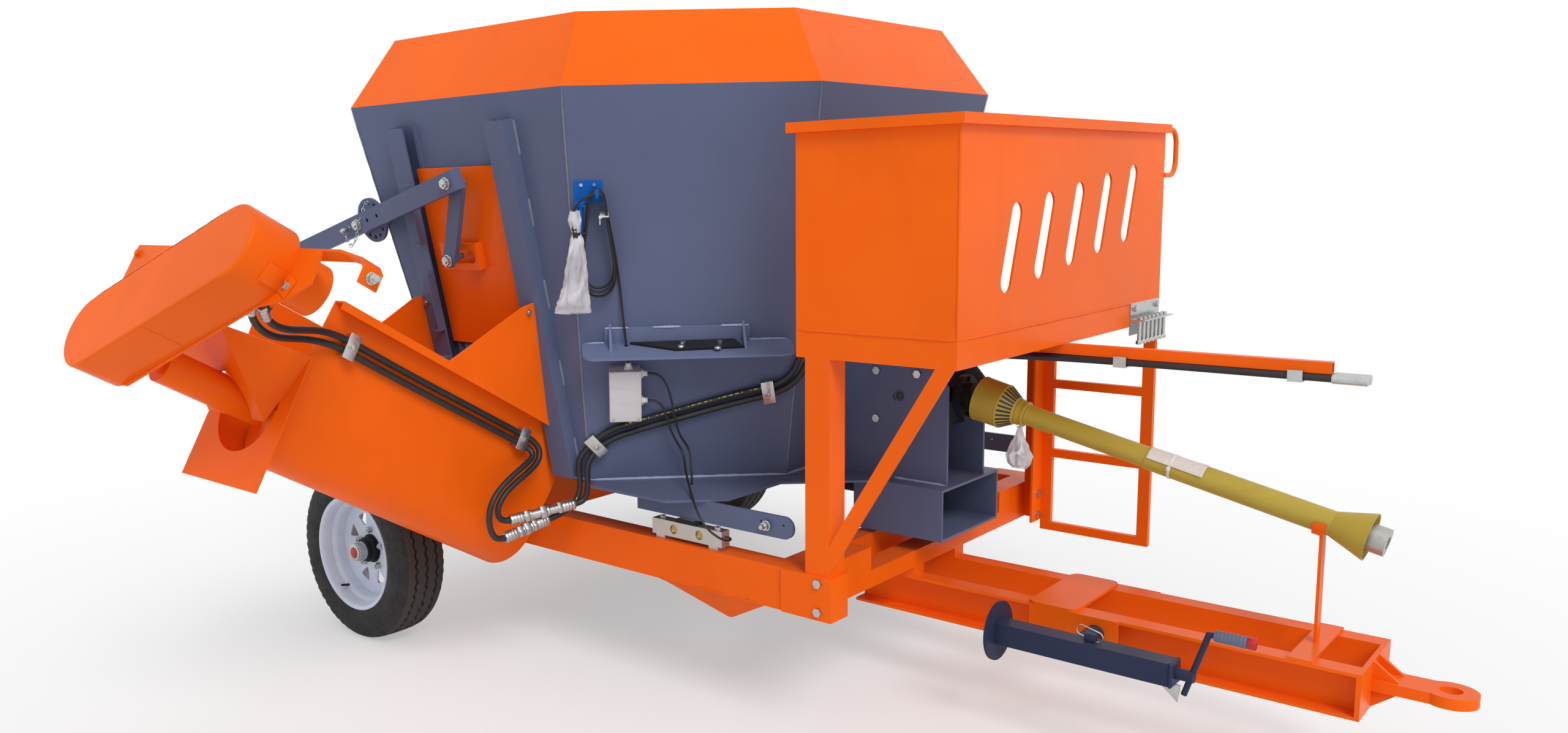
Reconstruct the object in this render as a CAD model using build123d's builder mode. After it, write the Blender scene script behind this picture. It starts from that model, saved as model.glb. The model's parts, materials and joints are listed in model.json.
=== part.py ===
# Towed vertical feed mixer: tub on load cells, side discharge conveyor, viewing platform, drawbar.
# Millimetres. +X is forward (the hitch), +Y is the machine's left, +Z is up, the ground is at Z = 0.
import os
from math import atan2, cos, degrees, radians, sin, sqrt, tan

from build123d import *

os.makedirs("parts", exist_ok=True)

# Running, sliding and seating clearances
RUN_GAP = 0.06
SEAT_GAP = 0.3
PART_GAP = 2.0

# Tub: an eight-sided funnel whose four square facets are wider than the four corner facets
TUB_FLOOR_Z = 680.0
TUB_TOP_Z = 1930.0
TUB_BASE_APOTHEM = 790.0
TUB_BASE_HALF_FACET = 327.0
TUB_TOP_APOTHEM = 1060.0
TUB_TOP_HALF_FACET = 522.0
TUB_WALL = 6.0
RING_HEIGHT = 230.0
RING_APOTHEM = 914.0
RING_HALF_FACET = 448.0
RING_WALL = 5.0
BASE_PLATE = 8.0
BASE_PLATE_APOTHEM = 838.0
BASE_PLATE_HALF_FACET = 700.0
BASE_NOTCH_HALF = 378.0
GUSSET_HALF = 425.0
GUSSET_FRONT_X = 1085.0
GUSSET_TIP = 8.0

# Drive tunnel, gearboxes and power take-off
TUNNEL_HALF_WIDTH = 190.0
TUNNEL_HEIGHT = 168.0
TUNNEL_WALL = 8.0
TUNNEL_FRONT_X = 1287.0
TUNNEL_REAR_X = 965.0
SIDE_PLATE = 10.0
SIDE_PLATE_INNER_Y = 118.0
SIDE_PLATE_FRONT_X = 1268.0
SIDE_PLATE_TOP_Z = 1062.0
SIDE_PLATE_NOSE_Z = 990.0
SIDE_PLATE_NOSE = 63.0
PLUG_HOLE_R = 16.0
DROP_BOX_X = 1088.0
DROP_BOX_LENGTH = 220.0
DROP_BOX_HEIGHT = 220.0
DROP_LEG_HALF = 75.0
DROP_LEG_BOTTOM_Z = 540.0
INPUT_Z = 945.0
INPUT_R = 24.0
INPUT_FLANGE_R = 70.0
INPUT_FLANGE_X = 1252.0
INPUT_FLANGE = 44.0
INPUT_BOLTS = 6
PLATE_BOLT_DX = 149.0
PLATE_BOLT_DZ = 159.0
MAIN_BOX_R = 160.0
MAIN_BOX_BOTTOM_Z = 530.0
MAIN_BOX_TOP_Z = 800.0
MAIN_BOX_FLANGE_R = 200.0
MAIN_BOX_FLANGE = 12.0
MAIN_SHAFT_R = 55.0
MAIN_SHAFT_DEPTH = 60.0
CROSS_SHAFT_R = 25.0
CROSS_SHAFT_Z = 592.0
PTO_ANGLE = 13.2
PTO_JOINT_X = 1310.0
PTO_LENGTH = 1180.0
PTO_SHAFT_R = 26.0
PTO_YOKE_R = 38.0
PTO_YOKE_LENGTH = 60.0
PTO_BORE_R = 17.5
PTO_BORE_DEPTH = 70.0
PTO_CONE_R = 72.0
PTO_CONE_LENGTH = 132.0
PTO_BELL_SHARE = 0.61
PTO_CONE_START = 8.0
PTO_TUBE_R = 32.0
PTO_COLLAR_STEP = 6.0
PTO_COLLAR = 24.0
PTO_OUTER_TUBE_R = 35.0
PTO_TUBE_WALL = 3.5
PTO_SPLIT_SHARE = 0.465
PTO_REST_AT = 1025.0
PTO_REST_LENGTH = 30.0
PTO_REST_T = 8.0
CHAIN_BAG_DROP = 145.0
CHAIN_BAG_WIDTH = 86.0

# Mixing auger
AUGER_SKIRT_R = 230.0
AUGER_TOP_R = 85.0
AUGER_TOP_Z = 1560.0
AUGER_SHELL = 12.0
AUGER_WEB = 20.0
AUGER_FLIGHT_TURNS = 2.25
AUGER_FLIGHT_BASE_R = 720.0
AUGER_FLIGHT_TOP_R = 300.0
AUGER_FLIGHT = 14.0
AUGER_FLOOR_GAP = 25.0
KNIFE_TURNS = (0.35, 0.75, 1.15, 1.55, 1.95)
KNIFE_LENGTH = 210.0
KNIFE_WIDTH = 110.0
KNIFE = 8.0
KNIFE_REACH = 45.0

# Chassis
BEAM_OUTER_Y = 770.0
BEAM_WIDTH = 80.0
BEAM_BOTTOM_Z = 398.0
BEAM_HEIGHT = 130.0
BEAM_WALL = 6.0
BEAM_FRONT_X = 1262.0
BEAM_REAR_X = -1000.0
DOUBLER = 8.0
DOUBLER_LENGTH = 172.0
WEDGE_REAR_X = 605.0
WEDGE_LENGTH = 420.0
WEDGE_TIP = 245.0
WEDGE_TIP_SIZE = 16.0
WEDGE_DEPTH = 90.0
CROSS_BEAM_FRONT_X = 1180.0
CROSS_BEAM_DEPTH = 80.0
CROSS_BEAM_LOW_Z = 453.0
CROSS_BEAM_NOTCH_HALF = 430.0
CROSS_BEAM_WALL = 6.0
CROSS_MEMBER_XS = (-880.0, -420.0, 1000.0)
CROSS_MEMBER_WIDTH = 60.0
CROSS_MEMBER_HEIGHT = 92.0
CROSS_MEMBER_WALL = 6.0
RAIL_OUTER_Y = 164.0
RAIL_FLANGE = 60.0
RAIL_BOTTOM_Z = 240.0
RAIL_HEIGHT = 125.0
RAIL_WEB = 7.0
RAIL_FLANGE_T = 9.0
RAIL_FRONT_X = 2440.0
RAIL_REAR_X = 960.0
HITCH_PLATE = 12.0
HITCH_X = 2620.0
HITCH_R = 62.0
HITCH_BORE_R = 26.0
HITCH_TONGUE = 30.0
SADDLE_X = 1705.0
SADDLE_LENGTH = 265.0
SADDLE_TOP_X = 1640.0
SADDLE_TOP_LENGTH = 150.0
SADDLE_PLATE = 8.0
SADDLE_DEPTH = 83.0
SADDLE_CORNER_R = 30.0

# Axle and wheels
AXLE_X = -610.0
AXLE_SIZE = 80.0
AXLE_WALL = 8.0
AXLE_HALF = 840.0
WHEEL_Y = 1005.0
TYRE_R = 325.0
TYRE_HALF = 100.0
TYRE_SIDE = 20.0
TYRE_CROWN = 22.0
GROOVE_WIDTH = 8.0
GROOVE_DEPTH = 9.0
GROOVE_SPACING = 45.0
BEAD_R = 190.0
BEAD_HALF = 88.0
RIM_FLANGE_R = 214.0
RIM_FLANGE = 6.0
RIM_WALL = 5.0
DISH_AT = 64.0
RIM_WINDOWS = 8
WHEEL_NUTS = 5
NUT_CIRCLE_R = 57.0
SPINDLE_R = 25.0
SPINDLE_REACH = 78.0
HUB_R = 44.0
HUB_REACH = 96.0
HUB_CAP_R = 34.0
HUB_CAP = 14.0

# Viewing platform
DECK_REAR_X = 1140.0
DECK_FRONT_X = 1633.0
DECK_RIGHT_Y = -770.0
DECK_LEFT_Y = 640.0
DECK_BOTTOM_Z = 1153.0
DECK_DEPTH = 77.0
DECK_PLATE = 8.0
PANEL = 6.0
PANEL_TOP_Z = 1772.0
SLOT_COUNT = 5
SLOT_WIDTH = 62.0
SLOT_LENGTH = 250.0
SLOT_LEAN = 18.0
SLOT_PITCH = 205.0
SLOT_CLIMB = 0.12
RIM_RAIL_HEIGHT = 28.0
RIM_RAIL_WIDTH = 42.0
RIM_RAIL_OVERHANG = 20.0
GRAB_R = 8.0
GRAB_REACH = 110.0
GRAB_DROP = 150.0
POST_SIZE = 80.0
POST_WALL = 5.0
POST_FRONT_X = 1250.0
BRACE = 8.0
BRACE_FOOT = 85.0
BRACE_TOP_X = 1625.0
BRACE_WIDTH = 53.0
ANGLE_X = 1240.0
ANGLE_LEG = 90.0
ANGLE_T = 8.0
ANGLE_BOTTOM_Z = 400.0
LADDER_BOTTOM_Z = 365.0
LADDER_STILE = 38.0
LADDER_DEPTH = 20.0
LADDER_RUNG = 30.0
LADDER_RUNG_ZS = (890.0, 637.0)
RACK_LEFT_Y = 630.0
RACK_LENGTH = 250.0
RACK_BOTTOM_Z = 1126.0
RACK_PLATE = 4.0
RACK_SHELF = 46.0
RACK_BOLTS = 7
SPARE_BOLT_R = 6.0
SPARE_BOLT_LENGTH = 80.0
HOSE_ARM_Y = -102.0
HOSE_ARM_SIZE = 30.0
HOSE_ARM_WALL = 3.0
HOSE_ARM_REAR_X = 1560.0
HOSE_ARM_FRONT_X = 2330.0

# Discharge door on the right facet; x along the facet, v up its slope, w out from it
DOOR_HALF_WIDTH = 213.0
DOOR_BOTTOM_V = 454.0
DOOR_HEIGHT = 605.0
DOOR_PLATE = 6.0
DOOR_STANDOFF = 8.0
OPENING_HALF_WIDTH = 182.0
OPENING_BOTTOM_V = 30.0
OPENING_TOP_V = 440.0
GUIDE_LIP_X = 205.0
GUIDE_LIP = 88.0
GUIDE_STAND = 46.0
GUIDE_T = 6.0
GUIDE_BOTTOM_V = 20.0
GUIDE_TOP_V = 1200.0
GUIDE_STRIP = 18.0
GUIDE_STRIP_GAP = 0.5
CLIP_TOP_VS = (410.0, 710.0, 1016.0)
CLIP_LENGTH = 205.0
CLIP_LOW_CUT = 57.0
CLIP_WIDTH = 30.0
CLIP_STAND = 26.0
CLIP_T = 5.0
PIVOT_X = -447.0
PIVOT_V = 898.0
PIVOT_R = 12.0
STUB_R = 26.0
DISC_R = 78.0
DISC_T = 10.0
DISC_AT_W = 62.0
DISC_HOLES = 12
DISC_HOLE_R = 7.0
DISC_CIRCLE_R = 60.0
LEVER_WIDTH = 66.0
LEVER_SIZE = 42.0
LEVER_WALL = 4.0
LEVER_BACK_W = 92.0
LEVER_ARM = 540.0
LEVER_HANDLE = 630.0
LEVER_END = 38.0
LEVER_ANGLE = 14.4
LEVER_HOLE_STEP = 62.0
LINK_LENGTH = 292.0
LINK_ANGLE = 25.2
LINK_WIDTH = 54.0
LINK_T = 6.0
LINK_DEPTH = 20.0
PIN_R = 9.0
LUG_FACE_W = 42.0
LUG_T = 8.0
LUG_HALF = 92.0
LUG_SLOT_HALF = 56.0
LUG_SLOT_V = 24.0
LUG_HEIGHT = 90.0

# Discharge conveyor: x across, u up from the auger's axis, s out along it from the end plate
CONVEYOR_ANGLE = 30.2
CONVEYOR_HEAD = (0.0, -1813.0, 1046.0)
TROUGH_LENGTH = 1069.0
TROUGH_R = 150.0
TROUGH_TOP_HALF = 195.0
TROUGH_TOP_U = 340.0
TROUGH_WALL = 5.0
TROUGH_FLANGE = 40.0
TROUGH_LIP = 24.0
MOUTH_GAP = 16.0
LOWER_BEARING_R = 45.0
LOWER_BEARING = 35.0
END_PLATE = 6.0
END_PLATE_HALF = 200.0
END_PLATE_TOP_U = 165.0
END_PLATE_BOTTOM_U = -235.0
OUTLET_R = 140.0
WING = 6.0
WING_TOP_Z = 1280.0
WING_TIP_S = -420.0
WING_BLUNT = 42.0
WING_FLARE = 8.0
WING_FOOT_BACK = 48.0
WING_BOLT_W = 26.0
WING_BOLT_DROP = 22.0
SCREW_PIPE_R = 50.0
SCREW_R = 132.0
SCREW_TURNS = 5.0
SCREW_FLIGHT = 6.0
SCREW_BOTTOM_GAP = 14.0
SCREW_PIPE_END_S = 300.0
SCREW_STUB_R = 24.0
SCREW_STUB_END_S = 470.0
HOOD = 5.0
HOOD_FOLD_X = 105.0
HOOD_FOOT_U = -40.0
HOOD_TOP_U = 148.0
HOOD_TOP_S = 248.0
HOOD_STRAP = 75.0
HOOD_PIPE_CLEAR = 6.0
CASE_BACK_S = 385.0
CASE_BACK_PLATE = 6.0
CASE_BACK_CORNERS = (
    (-225.0, 305.0),
    (681.0, 309.0),
    (690.0, 221.0),
    (609.0, 173.0),
    (514.0, 155.0),
    (60.0, -95.0),
    (-70.0, -95.0),
    (-140.0, 10.0),
    (-229.0, 185.0),
)
CASE_DEPTH = 128.0
CASE_R = 100.0
CASE_WALL = 3.0
MOTOR_X = 490.0
MOTOR_U = 260.0
MOTOR_R = 46.0
MOTOR_LENGTH = 118.0
MOTOR_SHAFT_R = 12.5
MOTOR_BORE = 40.0
PORT_R = 9.0
PORT_REACH = 98.0
PORT_HEADING = -135.0
PORT_SS = (310.0, 350.0)
GUARD_R = 68.0
GUARD_WALL = 3.0
GUARD_LENGTH = 132.0
LUG_STRAP_RUN = ((560.0, 309.0), (752.0, 309.0), (846.0, 292.0), (868.0, 274.0))
LUG_STRAP_END_U = 232.0
LUG_STRAP_WIDTH = 54.0
LUG_STRAP_T = 6.0
SPROCKET_S = 430.0
SPROCKET_T = 12.0
CHAIN_PITCH = 19.05
SCREW_TEETH = 20
MOTOR_TEETH = 12
CHAIN_PLATE = 3.0
CHAIN_HALF = 9.0
TOOTH = 4.0

# Jack on the right drawbar rail
JACK_Y = -325.0
JACK_Z = 318.0
JACK_PIVOT_X = 1775.0
JACK_REAR_X = 1552.0
JACK_FRONT_X = 2050.0
JACK_SIZE = 64.0
JACK_WALL = 5.0
JACK_LEG_SIZE = 52.0
JACK_LEG_LENGTH = 430.0
JACK_LEG_WALL = 4.0
JACK_FOOT_R = 88.0
JACK_FOOT = 8.0
JACK_PIN_R = 16.0
JACK_SLEEVE_R = 26.0
JACK_SCREW_R = 10.0
JACK_SCREW_REACH = 410.0
CRANK_R = 8.0
CRANK_HUB_R = 16.0
CRANK_HUB = 50.0
CRANK_DROP = 54.0
CRANK_THROW = 126.0
CRANK_SWEEP = 56.0
GRIP_R = 14.0
GRIP_LENGTH = 96.0

# Weighing
CELL_LENGTH = 282.0
CELL_WIDTH = 38.0
CELL_X = 716.0
CELL_Y = 740.0
CELL_BOTTOM_Z = 540.0
CELL_HEIGHT = 50.0
CELL_PAD = 60.0
CELL_RECESS_R = 15.0
CELL_RECESS_AT = 52.0
CELL_SEAT = 36.0
CELL_SEAT_INSET = 16.0
CELL_RECESS = 6.0
FOOT_T = 12.0
FOOT_INNER_X = 500.0
FOOT_END_X = 1111.0
FOOT_BOTTOM_Z = 605.0
FOOT_BOLT_X = 1020.0
FOOT_HOLE_R = 8.0

# Counter-knife shelf, junction box and cable hook on the front right corner facet; s along, v up, w out
SHELF_V = 488.0
SHELF_DEPTH = 130.0
SHELF_RIGHT_S = 320.0
SHELF_LEFT_S = -340.0
SHELF_T = 8.0
SHELF_CORNER_R = 40.0
SHELF_BACK_LEFT_S = -269.0
SHELF_BACK_RIGHT_S = 190.0
SHELF_BACK_HEIGHT = 52.0
SHELF_BACK = 8.0
RIB_SS = (-255.0, 165.0)
RIB_DROP = 70.0
RIB = 8.0
CABLE_HOLE = (-200.5, 28.5)
CABLE_HOLE_R = 8.0
BLADE_T = 8.0
BLADE_CORNERS = ((-190, 20), (140, 10), (165, 75), (-50, 85))
BLADE_BOLT_SS = (-26.0, 91.0)
BLADE_BOLT_W = 48.0
BOX_S = -207.0
BOX_V = 325.0
BOX_WIDTH = 98.0
BOX_HEIGHT = 170.0
BOX_DEPTH = 60.0
GLAND_R = 9.0
GLAND = 22.0
GLAND_VS = (393.0, 299.0)
LEAD_S = -196.0
HOOK_S = -284.0
HOOK_V = 976.0
HOOK_R = 6.0
HOOK_REACH = 80.0
HOOK_TIP = 26.0
HOOK_PLATE = 4.0
HOLDER_S = -336.0
HOLDER_R = 11.0
HOLDER_W = 33.0
HOLDER_BOTTOM_V = 850.0
HOLDER_TOP_V = 943.0

# Hydraulic and electric lines
HOSE_R = 10.0
CLAMP_WIDTH = 36.0
CLAMP_HEIGHT = 27.0
COUPLING_R = 15.0
CABLE_R = 3.5
HANK_LOOPS = 5
HANK_PITCH = 9.0
HANK_FIRST_W = 14.0
HANK_SHRINK = 0.025
HANK_SEAT = 1.0

# Fasteners
BOLT_FLATS = 24.0
BOLT_HEAD = 10.0
BOLT_R = 8.0
SMALL_FLATS = 17.0
SMALL_HEAD = 8.0
SMALL_R = 5.0

# Derived places
BASE_PLATE_Z = TUB_FLOOR_Z - BASE_PLATE
TUNNEL_BOTTOM_Z = BASE_PLATE_Z - TUNNEL_HEIGHT
BEAM_TOP_Z = BEAM_BOTTOM_Z + BEAM_HEIGHT
BEAM_INNER_Y = BEAM_OUTER_Y - BEAM_WIDTH
RAIL_TOP_Z = RAIL_BOTTOM_Z + RAIL_HEIGHT
RAIL_INNER_Y = RAIL_OUTER_Y - RAIL_FLANGE
DECK_TOP_Z = DECK_BOTTOM_Z + DECK_DEPTH
CASE_FLOOR_S = CASE_BACK_S + CASE_BACK_PLATE
CELL_TOP_Z = CELL_BOTTOM_Z + CELL_HEIGHT
SADDLE_HALF = RAIL_OUTER_Y + SADDLE_PLATE
SCREW_SPROCKET_R = CHAIN_PITCH / 2 / sin(radians(180 / SCREW_TEETH))
MOTOR_SPROCKET_R = CHAIN_PITCH / 2 / sin(radians(180 / MOTOR_TEETH))
SIDES = (-1, 1)
BASE = (Align.CENTER, Align.CENTER, Align.MIN)


def facet_plane(heading, base_distance, top_distance):
    """Plane on a tub facet: x along its foot, y up its slope, z outwards, origin at the foot's middle."""
    lean = atan2(top_distance - base_distance, TUB_TOP_Z - TUB_FLOOR_Z)
    turn = radians(heading)
    return Plane(
        origin=(base_distance * cos(turn), base_distance * sin(turn), TUB_FLOOR_Z),
        x_dir=(-sin(turn), cos(turn), 0),
        z_dir=(cos(turn) * cos(lean), sin(turn) * cos(lean), -sin(lean)),
    )


def corner_distance(apothem, half_facet):
    return (apothem + half_facet) / sqrt(2)


def front_facet_x(z):
    share = (z - TUB_FLOOR_Z) / (TUB_TOP_Z - TUB_FLOOR_Z)
    return TUB_BASE_APOTHEM + share * (TUB_TOP_APOTHEM - TUB_BASE_APOTHEM)


RIGHT_FACET = facet_plane(-90, TUB_BASE_APOTHEM, TUB_TOP_APOTHEM)
CORNER_FACET = facet_plane(
    -45,
    corner_distance(TUB_BASE_APOTHEM, TUB_BASE_HALF_FACET),
    corner_distance(TUB_TOP_APOTHEM, TUB_TOP_HALF_FACET),
)
CONVEYOR = Plane(
    origin=CONVEYOR_HEAD,
    x_dir=(1, 0, 0),
    z_dir=(0, -cos(radians(CONVEYOR_ANGLE)), sin(radians(CONVEYOR_ANGLE))),
)
PTO = Plane(
    origin=(PTO_JOINT_X, 0, INPUT_Z),
    x_dir=(0, 1, 0),
    z_dir=(cos(radians(PTO_ANGLE)), 0, -sin(radians(PTO_ANGLE))),
)


def at(plane, point):
    """A point given in a plane's frame, in the machine's frame."""
    return tuple(plane.from_local_coords(Vector(*point)))


def bar(x0, x1, y0, y1, z0, z1, mode=Mode.ADD):
    """A block between two corners, in the frame of the part being built."""
    with Locations(((x0 + x1) / 2, (y0 + y1) / 2, (z0 + z1) / 2)):
        Box(abs(x1 - x0), abs(y1 - y0), abs(z1 - z0), mode=mode)


def rod(start, end, radius, mode=Mode.ADD):
    """A round bar between two points, in the frame of the part being built."""
    run = Vector(*end) - Vector(*start)
    with Locations(Plane(origin=start, z_dir=run.normalized())):
        Cylinder(radius, run.length, align=BASE, mode=mode)


def plate(plane, points, thickness, both=False, mode=Mode.ADD):
    """A flat plate: a polygon in a plane, thickened along the plane's normal."""
    with BuildSketch(plane) as outline:
        Polygon(*points, align=None)
    extrude(outline.sketch, amount=thickness, both=both, mode=mode)


def panel(plane, x0, x1, y0, y1, thickness, mode=Mode.ADD):
    """A flat rectangular plate in a plane, thickened along the plane's normal."""
    plate(plane, [(x0, y0), (x1, y0), (x1, y1), (x0, y1)], thickness, mode=mode)


def disc(plane, centre, radius, thickness, mode=Mode.ADD):
    """A round plate or hole on a plane."""
    with BuildSketch(plane) as outline:
        with Locations(centre):
            Circle(radius)
    extrude(outline.sketch, amount=thickness, mode=mode)


def turned(plane, axis, points, mode=Mode.ADD):
    """A turned piece from its half section."""
    with BuildSketch(plane) as section:
        Polygon(*points, align=None)
    revolve(section.sketch, axis=axis, mode=mode)


def octagon(height, apothem, half_facet):
    a, h = apothem, half_facet
    with BuildSketch(Plane.XY.offset(height)) as outline:
        Polygon((a, h), (h, a), (-h, a), (-a, h), (-a, -h), (-h, -a), (h, -a), (a, -h), align=None)
    return outline.sketch


def funnel(inset, bottom, top, mode=Mode.ADD):
    """A solid eight-sided funnel; bottom and top are (height, apothem, half facet)."""
    corner = inset * (sqrt(2) - 1)
    sections = [octagon(z, a - inset, h - corner) for z, a, h in (bottom, top)]
    loft(sections, ruled=True, mode=mode)


def bolt(plane, centre, flats=BOLT_FLATS, head=BOLT_HEAD, end_r=0.0):
    """A hexagon head or nut standing on a plane, with the stud's round end above a nut."""
    with BuildSketch(plane) as outline:
        with Locations(centre):
            RegularPolygon(flats / 2, 6, major_radius=False)
    extrude(outline.sketch, amount=head)
    if end_r:
        disc(plane, centre, end_r, head * 1.7)


def stadium(plane, x0, u0, x1, u1, radius, thickness, mode=Mode.ADD):
    """A round-ended plate about two centres."""
    length = sqrt((x1 - x0) ** 2 + (u1 - u0) ** 2)
    with BuildSketch(plane) as outline:
        with Locations(((x0 + x1) / 2, (u0 + u1) / 2)):
            SlotCenterToCenter(length, 2 * radius, rotation=degrees(atan2(u1 - u0, x1 - x0)))
    extrude(outline.sketch, amount=thickness, mode=mode)


def belt(plane, big_r, small_r, thickness, mode=Mode.ADD):
    """The outline that a chain takes round the auger's sprocket and the motor's sprocket."""
    span = sqrt(MOTOR_X**2 + MOTOR_U**2)
    heading = atan2(MOTOR_U, MOTOR_X)
    spread = radians(90) - atan2(big_r - small_r, sqrt(span**2 - (big_r - small_r) ** 2))
    corners = []
    for radius, x, u, turn in (
        (big_r, 0, 0, spread),
        (small_r, MOTOR_X, MOTOR_U, spread),
        (small_r, MOTOR_X, MOTOR_U, -spread),
        (big_r, 0, 0, -spread),
    ):
        corners.append((x + radius * cos(heading + turn), u + radius * sin(heading + turn)))
    with BuildSketch(plane) as outline:
        Circle(big_r)
        with Locations((MOTOR_X, MOTOR_U)):
            Circle(small_r)
        Polygon(*corners, align=None)
    extrude(outline.sketch, amount=thickness, mode=mode)


def trough_section(plane, radius, top_half, top_u):
    """A round-bottomed trough section with straight sides tangent to its round."""
    reach = sqrt(top_half**2 + top_u**2)
    angle = atan2(top_u, top_half) - radians(90) + atan2(radius, sqrt(reach**2 - radius**2))
    side_x, side_u = radius * cos(angle), radius * sin(angle)
    with BuildSketch(plane) as outline:
        Circle(radius)
        Polygon((side_x, side_u), (top_half, top_u), (-top_half, top_u), (-side_x, side_u), align=None)
    return outline.sketch


def screw_flight(plane, turns, steps_per_turn, inner_r, outer_r, height, thickness):
    """A screw flight: radial strips lofted along its turns, with radii and height by its length."""
    steps = round(turns * steps_per_turn)
    strips = []
    for step in range(steps + 1):
        share = step / steps
        angle = radians(360 * turns * share)
        radial = plane.x_dir * cos(angle) + plane.y_dir * sin(angle)
        around = plane.y_dir * cos(angle) - plane.x_dir * sin(angle)
        middle = plane.origin + plane.z_dir * height(share)
        middle = middle + radial * ((inner_r(share) + outer_r(share)) / 2)
        with BuildSketch(Plane(origin=middle, x_dir=radial, z_dir=around)) as strip:
            Rectangle(outer_r(share) - inner_r(share), thickness)
        strips.append(strip.sketch)
    loft(strips, ruled=True)


def cord_radii(points, share):
    """The largest arc at each inner point of a hand-picked route."""
    radii = []
    for before, here, after in zip(points, points[1:], points[2:]):
        arriving = Vector(*here) - Vector(*before)
        leaving = Vector(*after) - Vector(*here)
        turn = radians(arriving.get_angle(leaving))
        radii.append(share * min(arriving.length, leaving.length) / tan(turn / 2))
    return radii


def cord(name, points, radius, share=0.45):
    """A round cord along a route of straight runs joined by tangent arcs."""
    radii = cord_radii(points, share)
    with BuildLine() as route:
        FilletPolyline(*points, radius=radii)
    path = route.wires()[0]
    with BuildSketch(Plane(origin=path @ 0, z_dir=path % 0)) as section:
        Circle(radius)
    tube = sweep(section.sketch, path=path)
    filled = tube.volume / (section.sketch.area * path.length)
    listed = " ".join(f"{value:.0f}" for value in radii)
    print(f"{name}: length {path.length:.0f}, volume over section times length {filled:.4f}")
    print(f"{name}: radii {listed}")
    return path


def outward(side, reach):
    """Plane that faces away from the middle of the machine, on its right (-1) or its left (1)."""
    return Plane(origin=(0, side * reach, 0), x_dir=(-side, 0, 0), z_dir=(0, side, 0))


def conveyor_side(x):
    """Plane across the conveyor: its axes are u and s, and it faces +X."""
    return Plane(origin=at(CONVEYOR, (x, 0, 0)), x_dir=CONVEYOR.y_dir, z_dir=CONVEYOR.x_dir)


def beam_front(side):
    """The right beam reaches past the front cross beam, the left one ends at it."""
    return BEAM_FRONT_X if side < 0 else CROSS_BEAM_FRONT_X


# Chassis side beams with bolted front plates and wedge braces underneath
with BuildPart() as side_beams:
    for side in SIDES:
        front = beam_front(side)
        bar(BEAM_REAR_X, front, side * BEAM_INNER_Y, side * BEAM_OUTER_Y, BEAM_BOTTOM_Z, BEAM_TOP_Z)
        bar(
            BEAM_REAR_X,
            front - BEAM_WALL,
            side * (BEAM_INNER_Y + BEAM_WALL),
            side * (BEAM_OUTER_Y - BEAM_WALL),
            BEAM_BOTTOM_Z + BEAM_WALL,
            BEAM_TOP_Z - BEAM_WALL,
            Mode.SUBTRACT,
        )
        bar(
            front - DOUBLER_LENGTH,
            front,
            side * BEAM_OUTER_Y,
            side * (BEAM_OUTER_Y + DOUBLER),
            BEAM_BOTTOM_Z,
            BEAM_TOP_Z,
        )
        with BuildSketch(Plane.XY.offset(BEAM_BOTTOM_Z)) as wedge_top:
            with Locations((WEDGE_REAR_X + WEDGE_LENGTH / 2, side * (BEAM_OUTER_Y - BEAM_WIDTH / 2))):
                Rectangle(WEDGE_LENGTH, BEAM_WIDTH - 2 * BEAM_WALL)
        with BuildSketch(Plane.XY.offset(BEAM_BOTTOM_Z - WEDGE_DEPTH)) as wedge_tip:
            with Locations((WEDGE_REAR_X + WEDGE_TIP, side * (BEAM_INNER_Y + WEDGE_TIP_SIZE))):
                Rectangle(WEDGE_TIP_SIZE, WEDGE_TIP_SIZE)
        loft([wedge_top.sketch, wedge_tip.sketch], ruled=True)
side_beams.part.label = "side_beams"

# Cross members between the side beams; the front one is lowered under the drive tunnel
with BuildPart() as cross_members:
    beam_rear = Plane.YZ.offset(CROSS_BEAM_FRONT_X - CROSS_BEAM_DEPTH)
    notch, half = CROSS_BEAM_NOTCH_HALF, BEAM_INNER_Y
    low, mid, high, wall = BEAM_BOTTOM_Z, CROSS_BEAM_LOW_Z, BEAM_TOP_Z, CROSS_BEAM_WALL
    outer = [(-half, low), (half, low), (half, high), (notch, high), (notch, mid), (-notch, mid)]
    plate(beam_rear, outer + [(-notch, high), (-half, high)], CROSS_BEAM_DEPTH)
    step = notch + wall
    inner = [
        (-half, low + wall),
        (half, low + wall),
        (half, high - wall),
        (step, high - wall),
        (step, mid - wall),
    ]
    inner += [(-step, mid - wall), (-step, high - wall), (-half, high - wall)]
    plate(beam_rear.offset(wall), inner, CROSS_BEAM_DEPTH - 2 * wall, mode=Mode.SUBTRACT)
    for member_x in CROSS_MEMBER_XS:
        rear, front = member_x - CROSS_MEMBER_WIDTH / 2, member_x + CROSS_MEMBER_WIDTH / 2
        top = BEAM_BOTTOM_Z + CROSS_MEMBER_HEIGHT
        bar(rear, front, -half, half, BEAM_BOTTOM_Z, top)
        bar(
            rear,
            front - CROSS_MEMBER_WALL,
            -half,
            half,
            BEAM_BOTTOM_Z + CROSS_MEMBER_WALL,
            top - CROSS_MEMBER_WALL,
            Mode.SUBTRACT,
        )
cross_members.part.label = "cross_members"

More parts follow.
